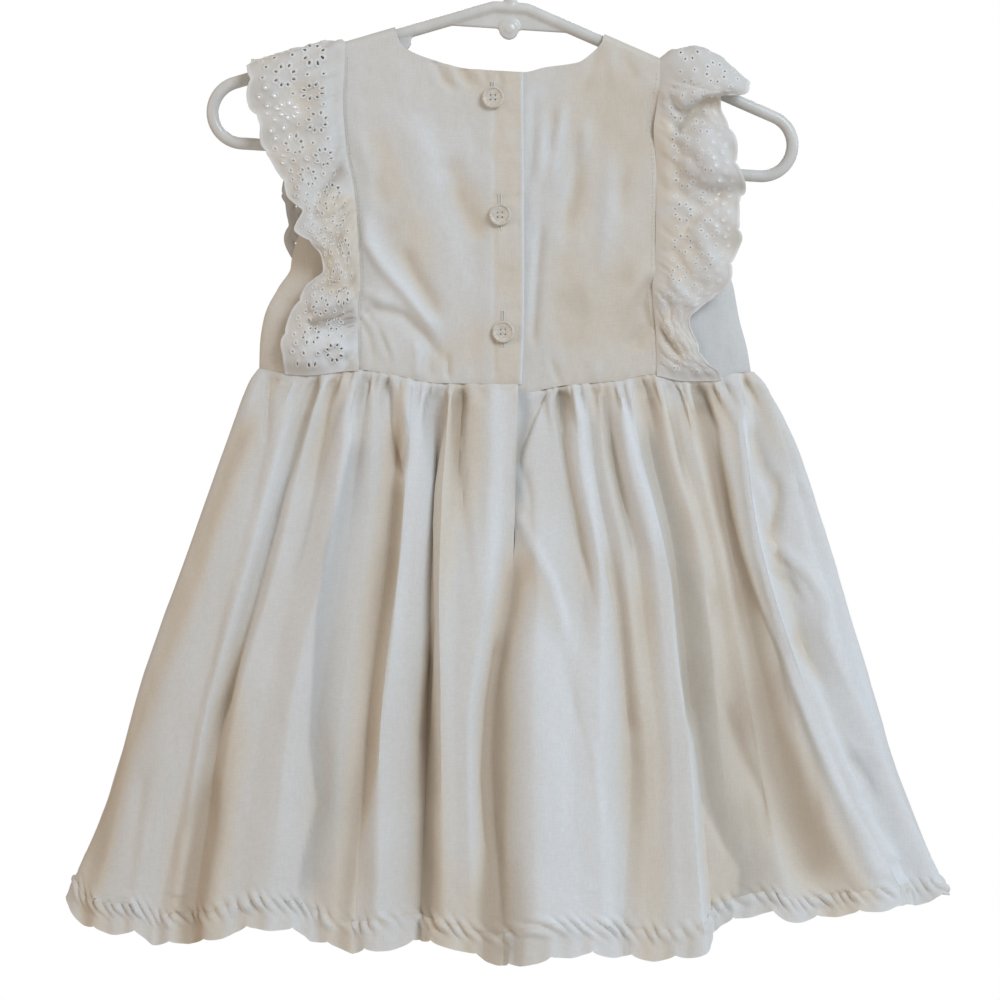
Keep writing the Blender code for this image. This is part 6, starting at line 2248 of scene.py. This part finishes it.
@dataclass
class Skirt:
    """The gathered skirt: main folds lofted between named lines, with finer creases laid over them."""

    pitch: float = 1.05
    front_pitch: float = 1.6
    crisp: float = 0.45
    pleat_depth: float = 2.5
    seam_fade: float = 6.0
    rows: tuple[tuple[float, float, int], ...] = ((0, 0.1, 22), (0.1, 0.93, 56), (0.93, 1.0, 18))
    thick: float = 0.6

    def reach(self, angle: Array, level: ArrayLike) -> Array:
        """Reach of the section on the side that the angle points to.

        Args:
            angle: Angles about the skirt.
            level: Places down.

        Returns:
            The reach at each angle.
        """
        left = lookup(SKIRT, "level", "left", level)
        right = lookup(SKIRT, "level", "right", level)
        return np.where(np.cos(angle) > 0, left, right)

    def angle_of(self, side_x: Sequence[float]) -> Array:
        """Angles of a back line that is given by its x at each fold level.

        Args:
            side_x: The line's x at each fold level.

        Returns:
            Its angle at each of them.
        """
        levels = np.array(FOLD_LEVELS)
        x = np.array(side_x, float)
        left = lookup(SKIRT, "level", "left", levels)
        right = lookup(SKIRT, "level", "right", levels)
        return np.arccos(-x / np.where(x < 0, left, right))

    def back_lines(self) -> tuple[Array, Array]:
        """Angle and lift of the back's fold lines at each fold level.

        Returns:
            The angles and the lifts, a row for each fold level.
        """
        angles = [np.zeros(len(FOLD_LEVELS))] + [self.angle_of(fold.x) for fold in BACK_FOLDS]
        lifts = [(0,) * len(FOLD_LEVELS)] + [fold.lift for fold in BACK_FOLDS]
        return np.array(angles, float).T, np.array(lifts, float).T

    def front_lines(self) -> tuple[Array, Array]:
        """The same for the front, from the right side seam round to the left one.

        Returns:
            The angles and the lifts, a row for each fold level.
        """
        seam = BACK_FOLDS[-1]
        start = self.angle_of(seam.x)
        count = 2 * FRONT_FOLDS + 1
        angles = [start]
        lifts: list[ArrayLike] = [seam.lift]
        for line in range(1, count):
            share = (line + FRONT_UNEVEN[line % len(FRONT_UNEVEN)]) / count
            angles.append(start + (2 * math.pi - start) * share)
            lift = FRONT_LIFTS[(line * 3 // 2) % len(FRONT_LIFTS)]
            lifts.append(np.array(FRONT_GROWTH) * lift * (FRONT_RIDGE if line % 2 == 0 else -1))
        angles.append(np.full(len(FOLD_LEVELS), 2 * math.pi))
        lifts.append((0,) * len(FOLD_LEVELS))
        return np.array(angles).T, np.array(lifts, float).T

    def between(self, values: Array, cell: Array, share: Array) -> Array:
        """Values of each row at a share of the way from one line to the next."""
        low = np.take_along_axis(values, cell, 1)
        return low * (1 - share) + np.take_along_axis(values, cell + 1, 1) * share

    def surface(self, lines: tuple[Array, Array], cut: Cut, line: Array, level: Array) -> Array:
        """Points of the smooth skirt.

        Args:
            lines: Angles and lifts of the fold lines.
            cut: The part of the skirt.
            line: Places along the fold lines.
            level: Places down, the same along each row.

        Returns:
            The points.
        """
        levels = level[:, 0]
        angles = smooth(FOLD_LEVELS, lines[0], levels)
        lifts = smooth(FOLD_LEVELS, lines[1], levels)
        if cut is Cut.BACK_RIGHT:
            lap = lookup(UNDER_EDGE, "level", "lap", levels)
            angles[:, SLIT] -= lap / lookup(SKIRT, "level", "right", levels)
            lifts[:, SLIT] -= lookup(UNDER_EDGE, "level", "inset", levels)
        cell = np.clip(np.floor(line).astype(int), 0, lines[0].shape[1] - 2)
        share = line - cell
        angle = self.between(angles, cell, share)
        lift = self.between(lifts, cell, self.crisp * share + (1 - self.crisp) * ease(share))
        reach = self.reach(angle, level)
        depth = lookup(SKIRT, "level", "depth", level)
        base_x = -reach * np.cos(angle)
        base_y = -depth * np.sin(angle)
        out = unit(np.stack([-np.cos(angle) / reach, -np.sin(angle) / depth], axis=-1))
        placket = BODY_FORM.placket_lift(base_x) if cut is Cut.BACK_LEFT else 0
        lift = placket + (lift - placket) * ease(level / GATHER_LEVEL)
        hem = HEM_FRONT if cut is Cut.FRONT else HEM_BACK
        ends = []
        for row, at in ((0, 0.0), (-1, 1.0)):
            edge = lines[0][row]
            turn = edge[cell] * (1 - share) + edge[cell + 1] * share
            ends.append(-self.reach(turn, at) * np.cos(turn))
        top = BODY_FORM.waist(ends[0], cut)
        drop = top + (lookup(hem, "x", "drop", ends[1]) - top) * level
        return np.stack([base_x + lift * out[..., 0], base_y + lift * out[..., 1], -drop], axis=-1)

    def columns(self, lines: tuple[Array, Array], first: int, last: int) -> Array:
        """Places of the grid's columns, about one pitch apart low on the skirt.

        Args:
            lines: Angles and lifts of the fold lines.
            first: The line that the grid starts on.
            last: The line that it ends on.

        Returns:
            The places, from line to line.
        """
        section = next(row for row in SKIRT if row.level == COLUMN_LEVEL)
        angles = lines[0][FOLD_LEVELS.index(section.level)]
        x = -np.where(np.cos(angles) > 0, section.left, section.right) * np.cos(angles)
        y = -section.depth * np.sin(angles)
        places: list[float] = []
        for line in range(first, last):
            gap = math.hypot(x[line + 1] - x[line], y[line + 1] - y[line])
            steps = max(2, round(gap / (self.pitch if lines[0].shape[1] > 30 else self.front_pitch)))
            places += [line + step / steps for step in range(steps)]
        return np.array(places + [last], float)

    def levels(self) -> Array:
        """Places of the grid's rows, closer at the waist and the hem."""
        parts = [np.linspace(low, high, count, endpoint=False) for low, high, count in self.rows]
        return np.concatenate(parts + [[1.0]])

    def gathers(self, cut: Cut, x: Array, drop: Array) -> Array:
        """Heights of the short pleats that start at the waist seam.

        Args:
            cut: The part of the skirt.
            x: Places across.
            drop: Places down.

        Returns:
            One height for each place.
        """
        below = np.maximum(drop - BODY_FORM.waist(x, cut), 0)
        if cut is Cut.FRONT:
            places = np.arange(*FRONT_PLEATS)
            places = places + 2.0 * Wander(5, 6)(places)
            lengths = 15 + 9 * Wander(6, 6)(places)
            pleats = list(map(Pleat, places, lengths))
        else:
            pleats = GATHERS_BACK
        total = np.zeros(x.shape)
        for number, (start, length) in enumerate(pleats):
            off = x - start * (1 + 0.14 * below / 38)
            turned = -1 if number % 4 == 2 else 1
            steep = 0.55 + 0.04 * below
            gentle = 2.6 + 1.2 * ((number * 7) % 3) / 2 + 0.05 * below
            groove = np.where(off * turned > 0, bell(off, steep), bell(off, gentle))
            total -= (self.pleat_depth * groove * ease(1.2 - below / (length * 1.5))
                      * (0.25 + 0.75 * ease(below / 5)))
        nips = np.abs(np.cos(x / 1.9 + 1.6 * Wander(8, 7)(x))) ** 9
        total -= 0.35 * nips * np.exp(-below / 6.5)
        return total + 0.25 * bell(below - 3.5, 3.5) - 0.35 * bell(below, 1.0)

    def behind(self, cut: Cut, points: Array) -> Array:
        """1 where the cloth is seen from behind, and 0 where it faces forward."""
        return ease(-points[..., 1] / 3) if cut is Cut.FRONT else np.ones(points.shape[:-1])

    def heights(self, cut: Cut, points: Array, level: Array, seam: Array) -> Array:
        """Creases, crumples and hem puckers over the smooth skirt.

        Args:
            cut: The part of the skirt.
            points: Places on the smooth skirt.
            level: Their place from the waist (0) to the hem (1).
            seam: 0 on the side seams, and 1 away from them.

        Returns:
            One height for each place.
        """
        x = points[..., 0]
        drop = -points[..., 2]
        seed = 90 if cut is Cut.FRONT else 80
        crumple = crumpled(SKIRT_CRUMPLES, seed, x, drop)
        nicks = np.exp(-np.abs(Crumple(seed + 3, 17, 38)(x, drop)) / 0.07)
        crumple += 0.28 * nicks * ease(0.35 + 1.5 * Crumple(seed + 4, 46, 60)(x, drop))
        behind = self.behind(cut, points)
        crumple *= 1 + 1.1 * bell(x - 158, 26) * bell(drop - 300, 60) * behind
        total = crumple * ease(level / 0.1) * (0.6 + 0.4 * level)
        below = drop - BODY_FORM.waist(x, cut)
        total = total + relief(SKIRT_CREASES, x, drop) * (0.3 + 0.7 * ease(below / 7)) * behind
        total = total * seam
        above = (1 - level) * SKIRT_LENGTH
        facing = 0.12 * ease((15.5 - above) / 1.2) * ease(above / 6)
        corner = 3.0 * bell(x - CORNER_X, 18) * ease((level - 0.8) / 0.2)
        return total + puckers(points, above, seam) + facing + corner

    def grid(self, lines: tuple[Array, Array], cut: Cut, first: int, last: int) -> Patch:
        """One grid of the skirt with its relief.

        Args:
            lines: Angles and lifts of the fold lines.
            cut: The part of the skirt.
            first: The line that it starts on.
            last: The line that it ends on.

        Returns:
            The grid.
        """
        line, level = np.meshgrid(self.columns(lines, first, last), self.levels())
        surface = partial(self.surface, lines, cut)
        points = surface(line, level)
        inside = np.clip(level, NUDGE, 1 - NUDGE)
        over_line = surface(line + NUDGE, inside) - surface(line - NUDGE, inside)
        over_level = surface(line, inside + NUDGE) - surface(line, inside - NUDGE)
        outward = unit(np.cross(over_line, over_level))
        outward *= np.sign(np.sum(outward[..., 1] * points[..., 1]))
        steps = np.linalg.norm(np.diff(points, axis=1), axis=-1)
        arc = np.concatenate([np.zeros((len(points), 1)), np.cumsum(steps, axis=1)], axis=1)
        seam = ease(arc / self.seam_fade) if cut is not Cut.BACK_RIGHT else 1 + 0 * arc
        if cut is not Cut.BACK_LEFT:
            seam = seam * ease((arc[:, -1:] - arc) / self.seam_fade)
        x = points[..., 0]
        drop = -points[..., 2]
        gathers = self.gathers(cut, x, drop)
        height = self.heights(cut, points, level, seam) + gathers
        lifts = smooth(FOLD_LEVELS, lines[1], level[:, 0])
        cell = np.clip(np.floor(line).astype(int), 0, lines[0].shape[1] - 2)
        lift = self.between(lifts, cell, ease(line - cell))
        # painted light and shade: tan in hollows and low folds, bluish on ridges
        warm = 0.1 - 0.045 * lift - 0.1 * height
        behind = self.behind(cut, points)
        below = np.maximum(drop - 197, 0)
        # painted light from the table, stronger low on the skirt; the wander adds random tone near the waist
        tone = relief(SKIRT_PAINTED_LIGHT, x, drop) * (1 + 0.4 * ease((level - 0.5) / 0.3))
        tone = tone + 0.36 * Wander(51, 7)(x / (1 + 0.0037 * below)) * np.exp(-below / 80)
        warm = np.clip(warm + tone * behind, -1, 1.1)
        # painted shade in the deepest gathers, darker towards the hem, and from the table
        shade = 0.26 * ease((-gathers - 1.2) / 1.3) + 0.1 * ease((level - 0.35) / 0.4)
        shade = shade + relief(SKIRT_SHADES, x, drop) * behind
        rim = height[-1] - puckers(points[-1], 0 * height[-1], seam[-1])
        hem = np.concatenate([points[-1], points[-1] + outward[-1] * rim[:, None], outward[-1]], axis=-1)
        return Patch(points + outward * height[..., None], outward, warm, shade, hem)

    def build_back(self) -> Array:
        """Builds the back: two grids that are one cloth below the slit.

        Returns:
            The hem's points.
        """
        lines = self.back_lines()
        left = self.grid(lines, Cut.BACK_LEFT, 0, SLIT)
        right = self.grid(lines, Cut.BACK_RIGHT, SLIT, lines[0].shape[1] - 1)
        rows, columns = left.warm.shape
        left_index = np.arange(rows * columns).reshape(rows, columns)
        right_index = np.arange(right.warm.size).reshape(rows, -1) + left_index.size
        closed = int(np.searchsorted(self.levels(), SLIT_END))
        right_index[closed:, 0] = left_index[closed:, -1]
        points, outward = (np.concatenate([one.reshape(-1, 3), other.reshape(-1, 3)])
                           for one, other in zip(left[:2], right[:2]))
        warm, shade = (np.concatenate([one.reshape(-1), other.reshape(-1)])
                       for one, other in zip(left[2:4], right[2:4]))
        faces = np.concatenate([faces_of(left_index), faces_of(right_index)])
        used, faces = renumbered(faces, len(points))
        sheet = Cloth(points[used], faces, outward[used], {"warm": warm[used], "shade": shade[used]})
        piece = sheet.shell("skirt_back_cloth", Cotton(), self.thick)
        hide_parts("skirt_back")
        return np.concatenate([left.hem, right.hem[1:]])

    def build_front(self) -> Array:
        """Builds the front.

        Returns:
            The hem's points.
        """
        lines = self.front_lines()
        made = self.grid(lines, Cut.FRONT, 0, lines[0].shape[1] - 1)
        sheet = Cloth.of_grid(made.points, made.outward, warm=made.warm, shade=made.shade)
        piece = sheet.shell("skirt_front_cloth", Cotton(), self.thick)
        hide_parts("skirt_front")
        return made.hem


@dataclass
class Trim:
    """A gathered, scalloped strip along a hem."""

    node: str
    hem: Array
    scallops: int = 22
    scallop_depth: float = 3.2
    overlap: float = 0.7
    tuck: float = 0.9
    pucker: float = 1.0
    flare: float = 2.5
    pitch: float = 0.85
    rows: int = 18

    def build(self) -> Piece:
        """Builds the trim.

        Returns:
            The trim's object.
        """
        plain, rim, slope = self.hem[:, :3], self.hem[:, 3:6], self.hem[:, 6:]
        length = lengths_along(rim)
        total = float(length[-1])
        scallop = total / self.scallops
        stations = np.linspace(0, total, round(total / self.pitch))
        along, down = np.meshgrid(stations, np.linspace(0, 1, self.rows + 1), indexing="ij")
        read = partial(read_along, length)
        run = read(rim, along + 5) - read(rim, along - 5)
        level = unit(np.stack([-run[..., 1], run[..., 0], 0 * along], axis=-1))
        level = level * np.sign(np.sum(level * (read(rim, along) - rim.mean(axis=0))))
        share = ease(3 * down)[..., None]
        out = unit(unit(read(slope, along)) * (1 - share) + level * share)
        seed = 120 if self.node.endswith("back") else 130
        phase = along + 3.0 * Wander(seed, 31)(along)
        middle = 2 * along / total - 1
        free = ease((1 - np.abs(middle)) * total / 16)
        points = read(rim, along) + unit(run) * (self.overlap * middle**41 * ease(3 * down))[..., None]
        lobe = np.abs(np.sin(math.pi * phase / scallop)) ** 0.6 * free + 0.5 * (1 - free)
        depth = lookup(TRIM_DEPTHS, "x", "depth", points[..., 0]) + self.scallop_depth * lobe
        fall = (depth + self.tuck) * down - self.tuck
        wave = 0.5 * self.pucker * np.cos(4 * math.pi * phase / scallop) * ease(down * 3)
        wave = wave + 1.3 * Wander(seed + 2, 17)(along + 4 * down) * ease(down / 0.7)
        wave = wave + 0.5 * Wander(seed + 3, 6)(along + 3 * down) * bell(down - 0.45, 0.35)
        edge = bell(depth * (1 - down), 0.9) * 0.22
        puff = 0.5 * bell(down - 0.2, 0.2) + 0.2
        away = ease((1 - np.abs(middle)) * total / 12)
        height = wave * free + puckers(read(plain, along), -fall, away) + puff + edge + self.flare * down
        height = height + 2.4 * bell(points[..., 0] - CORNER_X, 16) * down
        points = points + out * height[..., None]
        points[..., 2] -= fall
        # painted shade: tan in the puckers' hollows, with a tan band along the seam; the skirt's painted
        # light carries on down the back trim
        warm = 0.14 - 0.1 * (height - self.flare * down) + 0.2 * bell(down, 0.1)
        if self.node.endswith("back"):
            warm = warm + 1.1 * relief(SKIRT_PAINTED_LIGHT, points[..., 0], 0 * fall + HEM_DROP)
        sheet = Cloth.of_grid(points, out, warm=warm)
        piece = sheet.shell(f"{self.node}_cloth", Cotton(), 0.6)
        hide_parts(self.node)
        return piece


# ---------------------------------------------------------------- sewing


@dataclass
class Button:
    """A round four-hole button with a narrow rim, and the thread that holds it."""

    number: int
    at: Edge
    radius: float = 5.7
    height: float = 2.3
    rim: float = 0.95
    hole: float = 0.5
    spread: float = 1.15
    sides: int = 64
    gap: float = 0.7

    def frame(self) -> tuple[Array, Array, Array, Array]:
        """The button's seat and its axes: right, up and outward.

        Returns:
            The seat and the three axes.
        """
        x, drop = np.array([self.at.x]), np.array([self.at.drop])
        points, outward = BODY_FORM.place(BODY_FORM.placket_depth, Face.BACK, x, drop)
        axis = outward[0]
        right = unit(np.cross(axis, (0, 0, 1.0)))
        return points[0] + axis * self.gap, right, np.cross(right, axis), axis

    def build(self) -> None:
        """Builds the button and its thread."""
        base, right, up, axis = self.frame()
        profile = ((0.0, 0.0), (4.6, 0.0), (5.4, 0.35), (self.radius, 0.95), (self.radius, 1.55), (5.5, 2.05),
                   (5.2, self.height), (4.85, self.height - 0.02), (4.6, 1.95), (4.35, 1.62), (3.9, 1.5),
                   (2.9, 1.5), (2.6, 1.42), (0.0, 1.38))
        turns = np.linspace(0, 2 * math.pi, self.sides, endpoint=False)
        form = bmesh.new()
        rings = []
        for radius, height in profile:
            if radius == 0:
                rings.append([form.verts.new((0, 0, height))])
            else:
                rings.append([form.verts.new((radius * math.cos(a), radius * math.sin(a), height))
                              for a in turns])
        for first, second in zip(rings, rings[1:]):
            for i in range(self.sides):
                j = (i + 1) % self.sides
                if len(first) == 1:
                    form.faces.new((first[0], second[j], second[i]))
                elif len(second) == 1:
                    form.faces.new((first[i], first[j], second[0]))
                else:
                    form.faces.new((first[i], first[j], second[j], second[i]))
        disc = self.solid(form, "button_disc")
        for x in (-1, 1):
            for y in (-1, 1):
                drill = bmesh.new()
                centre = Matrix.Translation((x * self.spread, y * self.spread, 1))
                bmesh.ops.create_cone(drill, cap_ends=True, segments=20, radius1=self.hole, radius2=self.hole,
                                      depth=6, matrix=centre)
                cutter = self.solid(drill, "button_drill")
                cut = disc.modifiers.new("hole", "BOOLEAN")
                cut.operation = "DIFFERENCE"
                cut.solver = "EXACT"
                cut.object = cutter
        points, faces = evaluated(disc)
        for stale in [o for o in bpy.data.objects if o.name.startswith("button_d")]:
            bpy.data.objects.remove(stale)
        turned = base + points[:, :1] * right + points[:, 1:2] * up + points[:, 2:] * axis
        name = f"button_{self.number}_moulding"
        piece = make_object(name, (turned + APEX) * MM, faces, ButtonPlastic(), 40)
        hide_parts(f"button_{self.number}")
        self.build_thread(base, right, up, axis)

    def solid(self, form: Form, name: str) -> Piece:
        """A helper object from a form, whose faces are turned outward."""
        bmesh.ops.recalc_face_normals(form, faces=form.faces)
        return plain_object(name, form)

    def build_thread(self, base: Array, right: Array, up: Array, axis: Array) -> None:
        """Builds the crossed threads in the button's holes.

        Args:
            base: The button's seat.
            right: Its axis to the right.
            up: Its axis up.
            axis: Its axis outward.
        """
        starts = []
        ends = []
        for x0, y0, x1, y1 in ((-1, -1, 1, 1), (-1, 1, 1, -1)):
            for aside in (-0.28, 0.0, 0.28):
                shift = (right * y0 * x0 + up) * aside * 0.7
                start = base + (right * x0 + up * y0) * self.spread + axis * 1.35 + shift
                end = base + (right * x1 + up * y1) * self.spread + axis * 1.35 + shift
                starts.append(start)
                ends.append(end)
        count = len(starts)
        outward = np.repeat(axis[None], count, axis=0)
        points, faces = capsules(np.array(starts), np.array(ends), outward, 0.24, 1.6)
        make_object(f"button_{self.number}_thread", (points + APEX) * MM, faces, Thread())


@dataclass
class Sewing:
    """Rows of stitches and the buttonholes."""

    radius: float = 0.2
    pitch: float = 2.5
    gap: float = 0.45
    beside: float = 2.0

    def row(self, name: str, points: Array, outward: Array, lift: float = 0.32) -> Piece:
        """A row of stitches along a line on the cloth.

        Args:
            name: The piece's name.
            points: The line's points, close together.
            outward: Directions outward along it.
            lift: Height above the line.

        Returns:
            The stitches' object.
        """
        length = lengths_along(points)
        at = np.arange(self.pitch, length[-1] - self.pitch, self.pitch)
        out = unit(read_along(length, outward, at))
        starts = read_along(length, points, at - self.pitch / 2 + self.gap / 2) + out * lift
        ends = read_along(length, points, at + self.pitch / 2 - self.gap / 2) + out * lift
        bars, faces = capsules(starts, ends, out, self.radius)
        return make_object(name, (bars + APEX) * MM, faces, Thread())

    def root_row(self, panel: Panel, side: Side) -> None:
        """The row of stitches on a panel, beside a ruffle's seam.

        Args:
            panel: The panel.
            side: The ruffle's side.
        """
        top = float(BODY_FORM.shoulder_drop(BODY_FORM.root_x(side, BODY_FORM.strap_top)))
        drop = np.linspace(top + 6, 190, 200)
        x = BODY_FORM.root_x(side, drop) - side.value * self.beside
        points, outward = BODY_FORM.place(panel.depth, panel.face, x, drop)
        points = points + outward * panel.relief_height(x, drop)[:, None]
        self.row(f"seam_stitches_{panel.face.name.lower()}_{side.name.lower()}", points, outward)

    def buttonhole(self, number: int, at: Edge, reach: float, up: float = 1.5) -> Piece:
        """The worked slit under a button: close stitches across both of its lips.

        Args:
            number: The button's number.
            at: The button's place.
            reach: Half the slit's length.
            up: How far its middle lies above the button's.

        Returns:
            The stitches' object.
        """
        drop = at.drop - up + np.arange(-reach, reach, 0.42)
        starts = []
        ends = []
        place = partial(BODY_FORM.place, BODY_FORM.placket_depth, Face.BACK)
        for way in (-1, 1):
            inner, out = place(at.x + way * 0.1 + 0 * drop, drop)
            outer, _ = place(at.x + way * 1.15 + 0 * drop, drop + 0.1)
            starts.append(inner + out * 0.34)
            ends.append(outer + out * 0.34)
        outward = np.concatenate([out, out])
        points, faces = capsules(np.concatenate(starts), np.concatenate(ends), outward, 0.26)
        return make_object(f"buttonhole_{number}", (points + APEX) * MM, faces, Thread())

    def build(self) -> None:
        """Builds every row of stitches."""
        left, right, front = Bodice().panels()
        for side, back in ((Side.LEFT, left), (Side.RIGHT, right)):
            for panel in (back, front):
                self.root_row(panel, side)
        for number, at in enumerate(BUTTONS, 1):
            self.buttonhole(number, at, 7.0 if number == 1 else 9.6)


# ---------------------------------------------------------------- studio


@dataclass(frozen=True)
class Lamp:
    """A soft square light that points at the dress."""

    name: str
    at: tuple[float, float, float]
    size: float
    power: float
    colour: tuple[float, float, float]


@dataclass
class Studio:
    """The floor, the soft light and the camera."""

    target: tuple[float, float, float] = (-0.0092, 0.0, -0.3202)
    camera_at: tuple[float, float, float] = (-0.0092, -1.35, -0.208)
    lens: float = 91.4
    ambient: float = 0.36
    ambient_colour: Colour = (1.0, 0.89, 0.78, 1)
    floor_radius: float = 0.5
    floor_depth: float = 0.02
    floor_at: tuple[float, float, float] = (0, 0, -0.80)
    lamps: tuple[Lamp, ...] = (
        Lamp("key_light", (1.25, -1.85, 1.0), 1.0, 30.8, (0.76, 0.88, 1.0)),
        Lamp("warm_light", (-2.1, -0.9, 0.1), 1.2, 8.0, (1.0, 0.84, 0.68)),
        Lamp("cool_light", (2.3, -0.3, 0.3), 1.0, 8.0, (0.60, 0.81, 1.0)),
        Lamp("rear_light", (0.4, 2.2, 0.6), 1.6, 24.0, (0.94, 0.97, 1.0)),
    )

    def aim(self, obj: Piece, at: tuple[float, float, float]) -> None:
        """Puts an object at a place, looking at the dress.

        Args:
            obj: The object.
            at: Its place.
        """
        obj.location = at
        way = Vector(self.target) - Vector(at)
        obj.rotation_euler = way.to_track_quat("-Z", "Y").to_euler()

    def build(self) -> None:
        """Builds the floor, the lights and the camera."""
        scene = bpy.context.scene
        scene.view_settings.view_transform = "Standard"
        camera = bpy.data.objects.new("camera", bpy.data.cameras.new("camera"))
        camera.data.sensor_width = 36
        camera.data.lens = self.lens
        scene.collection.objects.link(camera)
        self.aim(camera, self.camera_at)
        scene.camera = camera
        for lamp in self.lamps:
            light = bpy.data.lights.new(lamp.name, "AREA")
            light.shape = "SQUARE"
            light.size = lamp.size
            light.energy = lamp.power
            light.color = lamp.colour
            obj = bpy.data.objects.new(lamp.name, light)
            scene.collection.objects.link(obj)
            self.aim(obj, lamp.at)
        self.build_world(scene)
        self.build_floor()

    def build_world(self, scene: bpy.types.Scene) -> None:
        """A white surround that lights the dress more softly than it shows.

        Args:
            scene: The scene.
        """
        world = bpy.data.worlds.new("surround")
        world.use_nodes = True
        tree = world.node_tree
        tree.nodes.clear()
        nodes = Nodes(tree)
        seen = nodes.add("Background", {}, {"Color": WHITE})
        soft = nodes.add("Background", {}, {"Color": self.ambient_colour, "Strength": self.ambient})
        camera_ray = nodes.add("LightPath", {}, {}, "Is Camera Ray")
        mixed = nodes.add("MixShader", {}, {0: camera_ray, 1: soft, 2: seen})
        tree.links.new(mixed.socket, tree.nodes.new("ShaderNodeOutputWorld").inputs["Surface"])
        scene.world = world

    def build_floor(self) -> None:
        """A plain pale round floor under the dress."""
        form = bmesh.new()
        bmesh.ops.create_cone(form, cap_ends=True, segments=96, radius1=self.floor_radius,
                              radius2=self.floor_radius, depth=self.floor_depth,
                              matrix=Matrix.Translation(self.floor_at))
        floor = plain_object("floor", form)
        shader = Shader("floor_paint")
        shader.feed("Base Color", shader.mix(shader.noise(3), (0.80, 0.80, 0.79, 1), (0.84, 0.84, 0.83, 1)))
        shader.feed("Roughness", 0.8)
        floor.data.materials.append(shader.material)


# ---------------------------------------------------------------- the dress


def main() -> None:
    """Builds the dress, its hanger and the studio."""
    logging.basicConfig(level=logging.INFO, format="%(name)s: %(message)s")
    HANGER.build()
    Bodice().build()
    Ruffle(
        Side.LEFT, RAYS_OPEN, RAYS_FLUTED, creases=LEFT_RUFFLE_CREASES, painted_light_tones=LEFT_RUFFLE_PAINTED_LIGHT,
        shades=LEFT_RUFFLE_SHADES,
    ).build()
    Ruffle(
        Side.RIGHT, RAYS_FLUTED, RAYS_TUCKED, hole=0.46, emboss=0.28, rumple=0.8, welt=0.25, set_in=0.14,
        gathering=0.5, creases=RIGHT_RUFFLE_CREASES, painted_light_tones=RIGHT_RUFFLE_PAINTED_LIGHT, shades=RIGHT_RUFFLE_SHADES,
    ).build()
    skirt = Skirt()
    Trim("hem_trim_back", skirt.build_back()).build()
    Trim("hem_trim_front", skirt.build_front()).build()
    for number, at in enumerate(BUTTONS, 1):
        Button(number, at).build()
    Sewing().build()
    Studio().build()


if __name__ == "__main__":
    main()
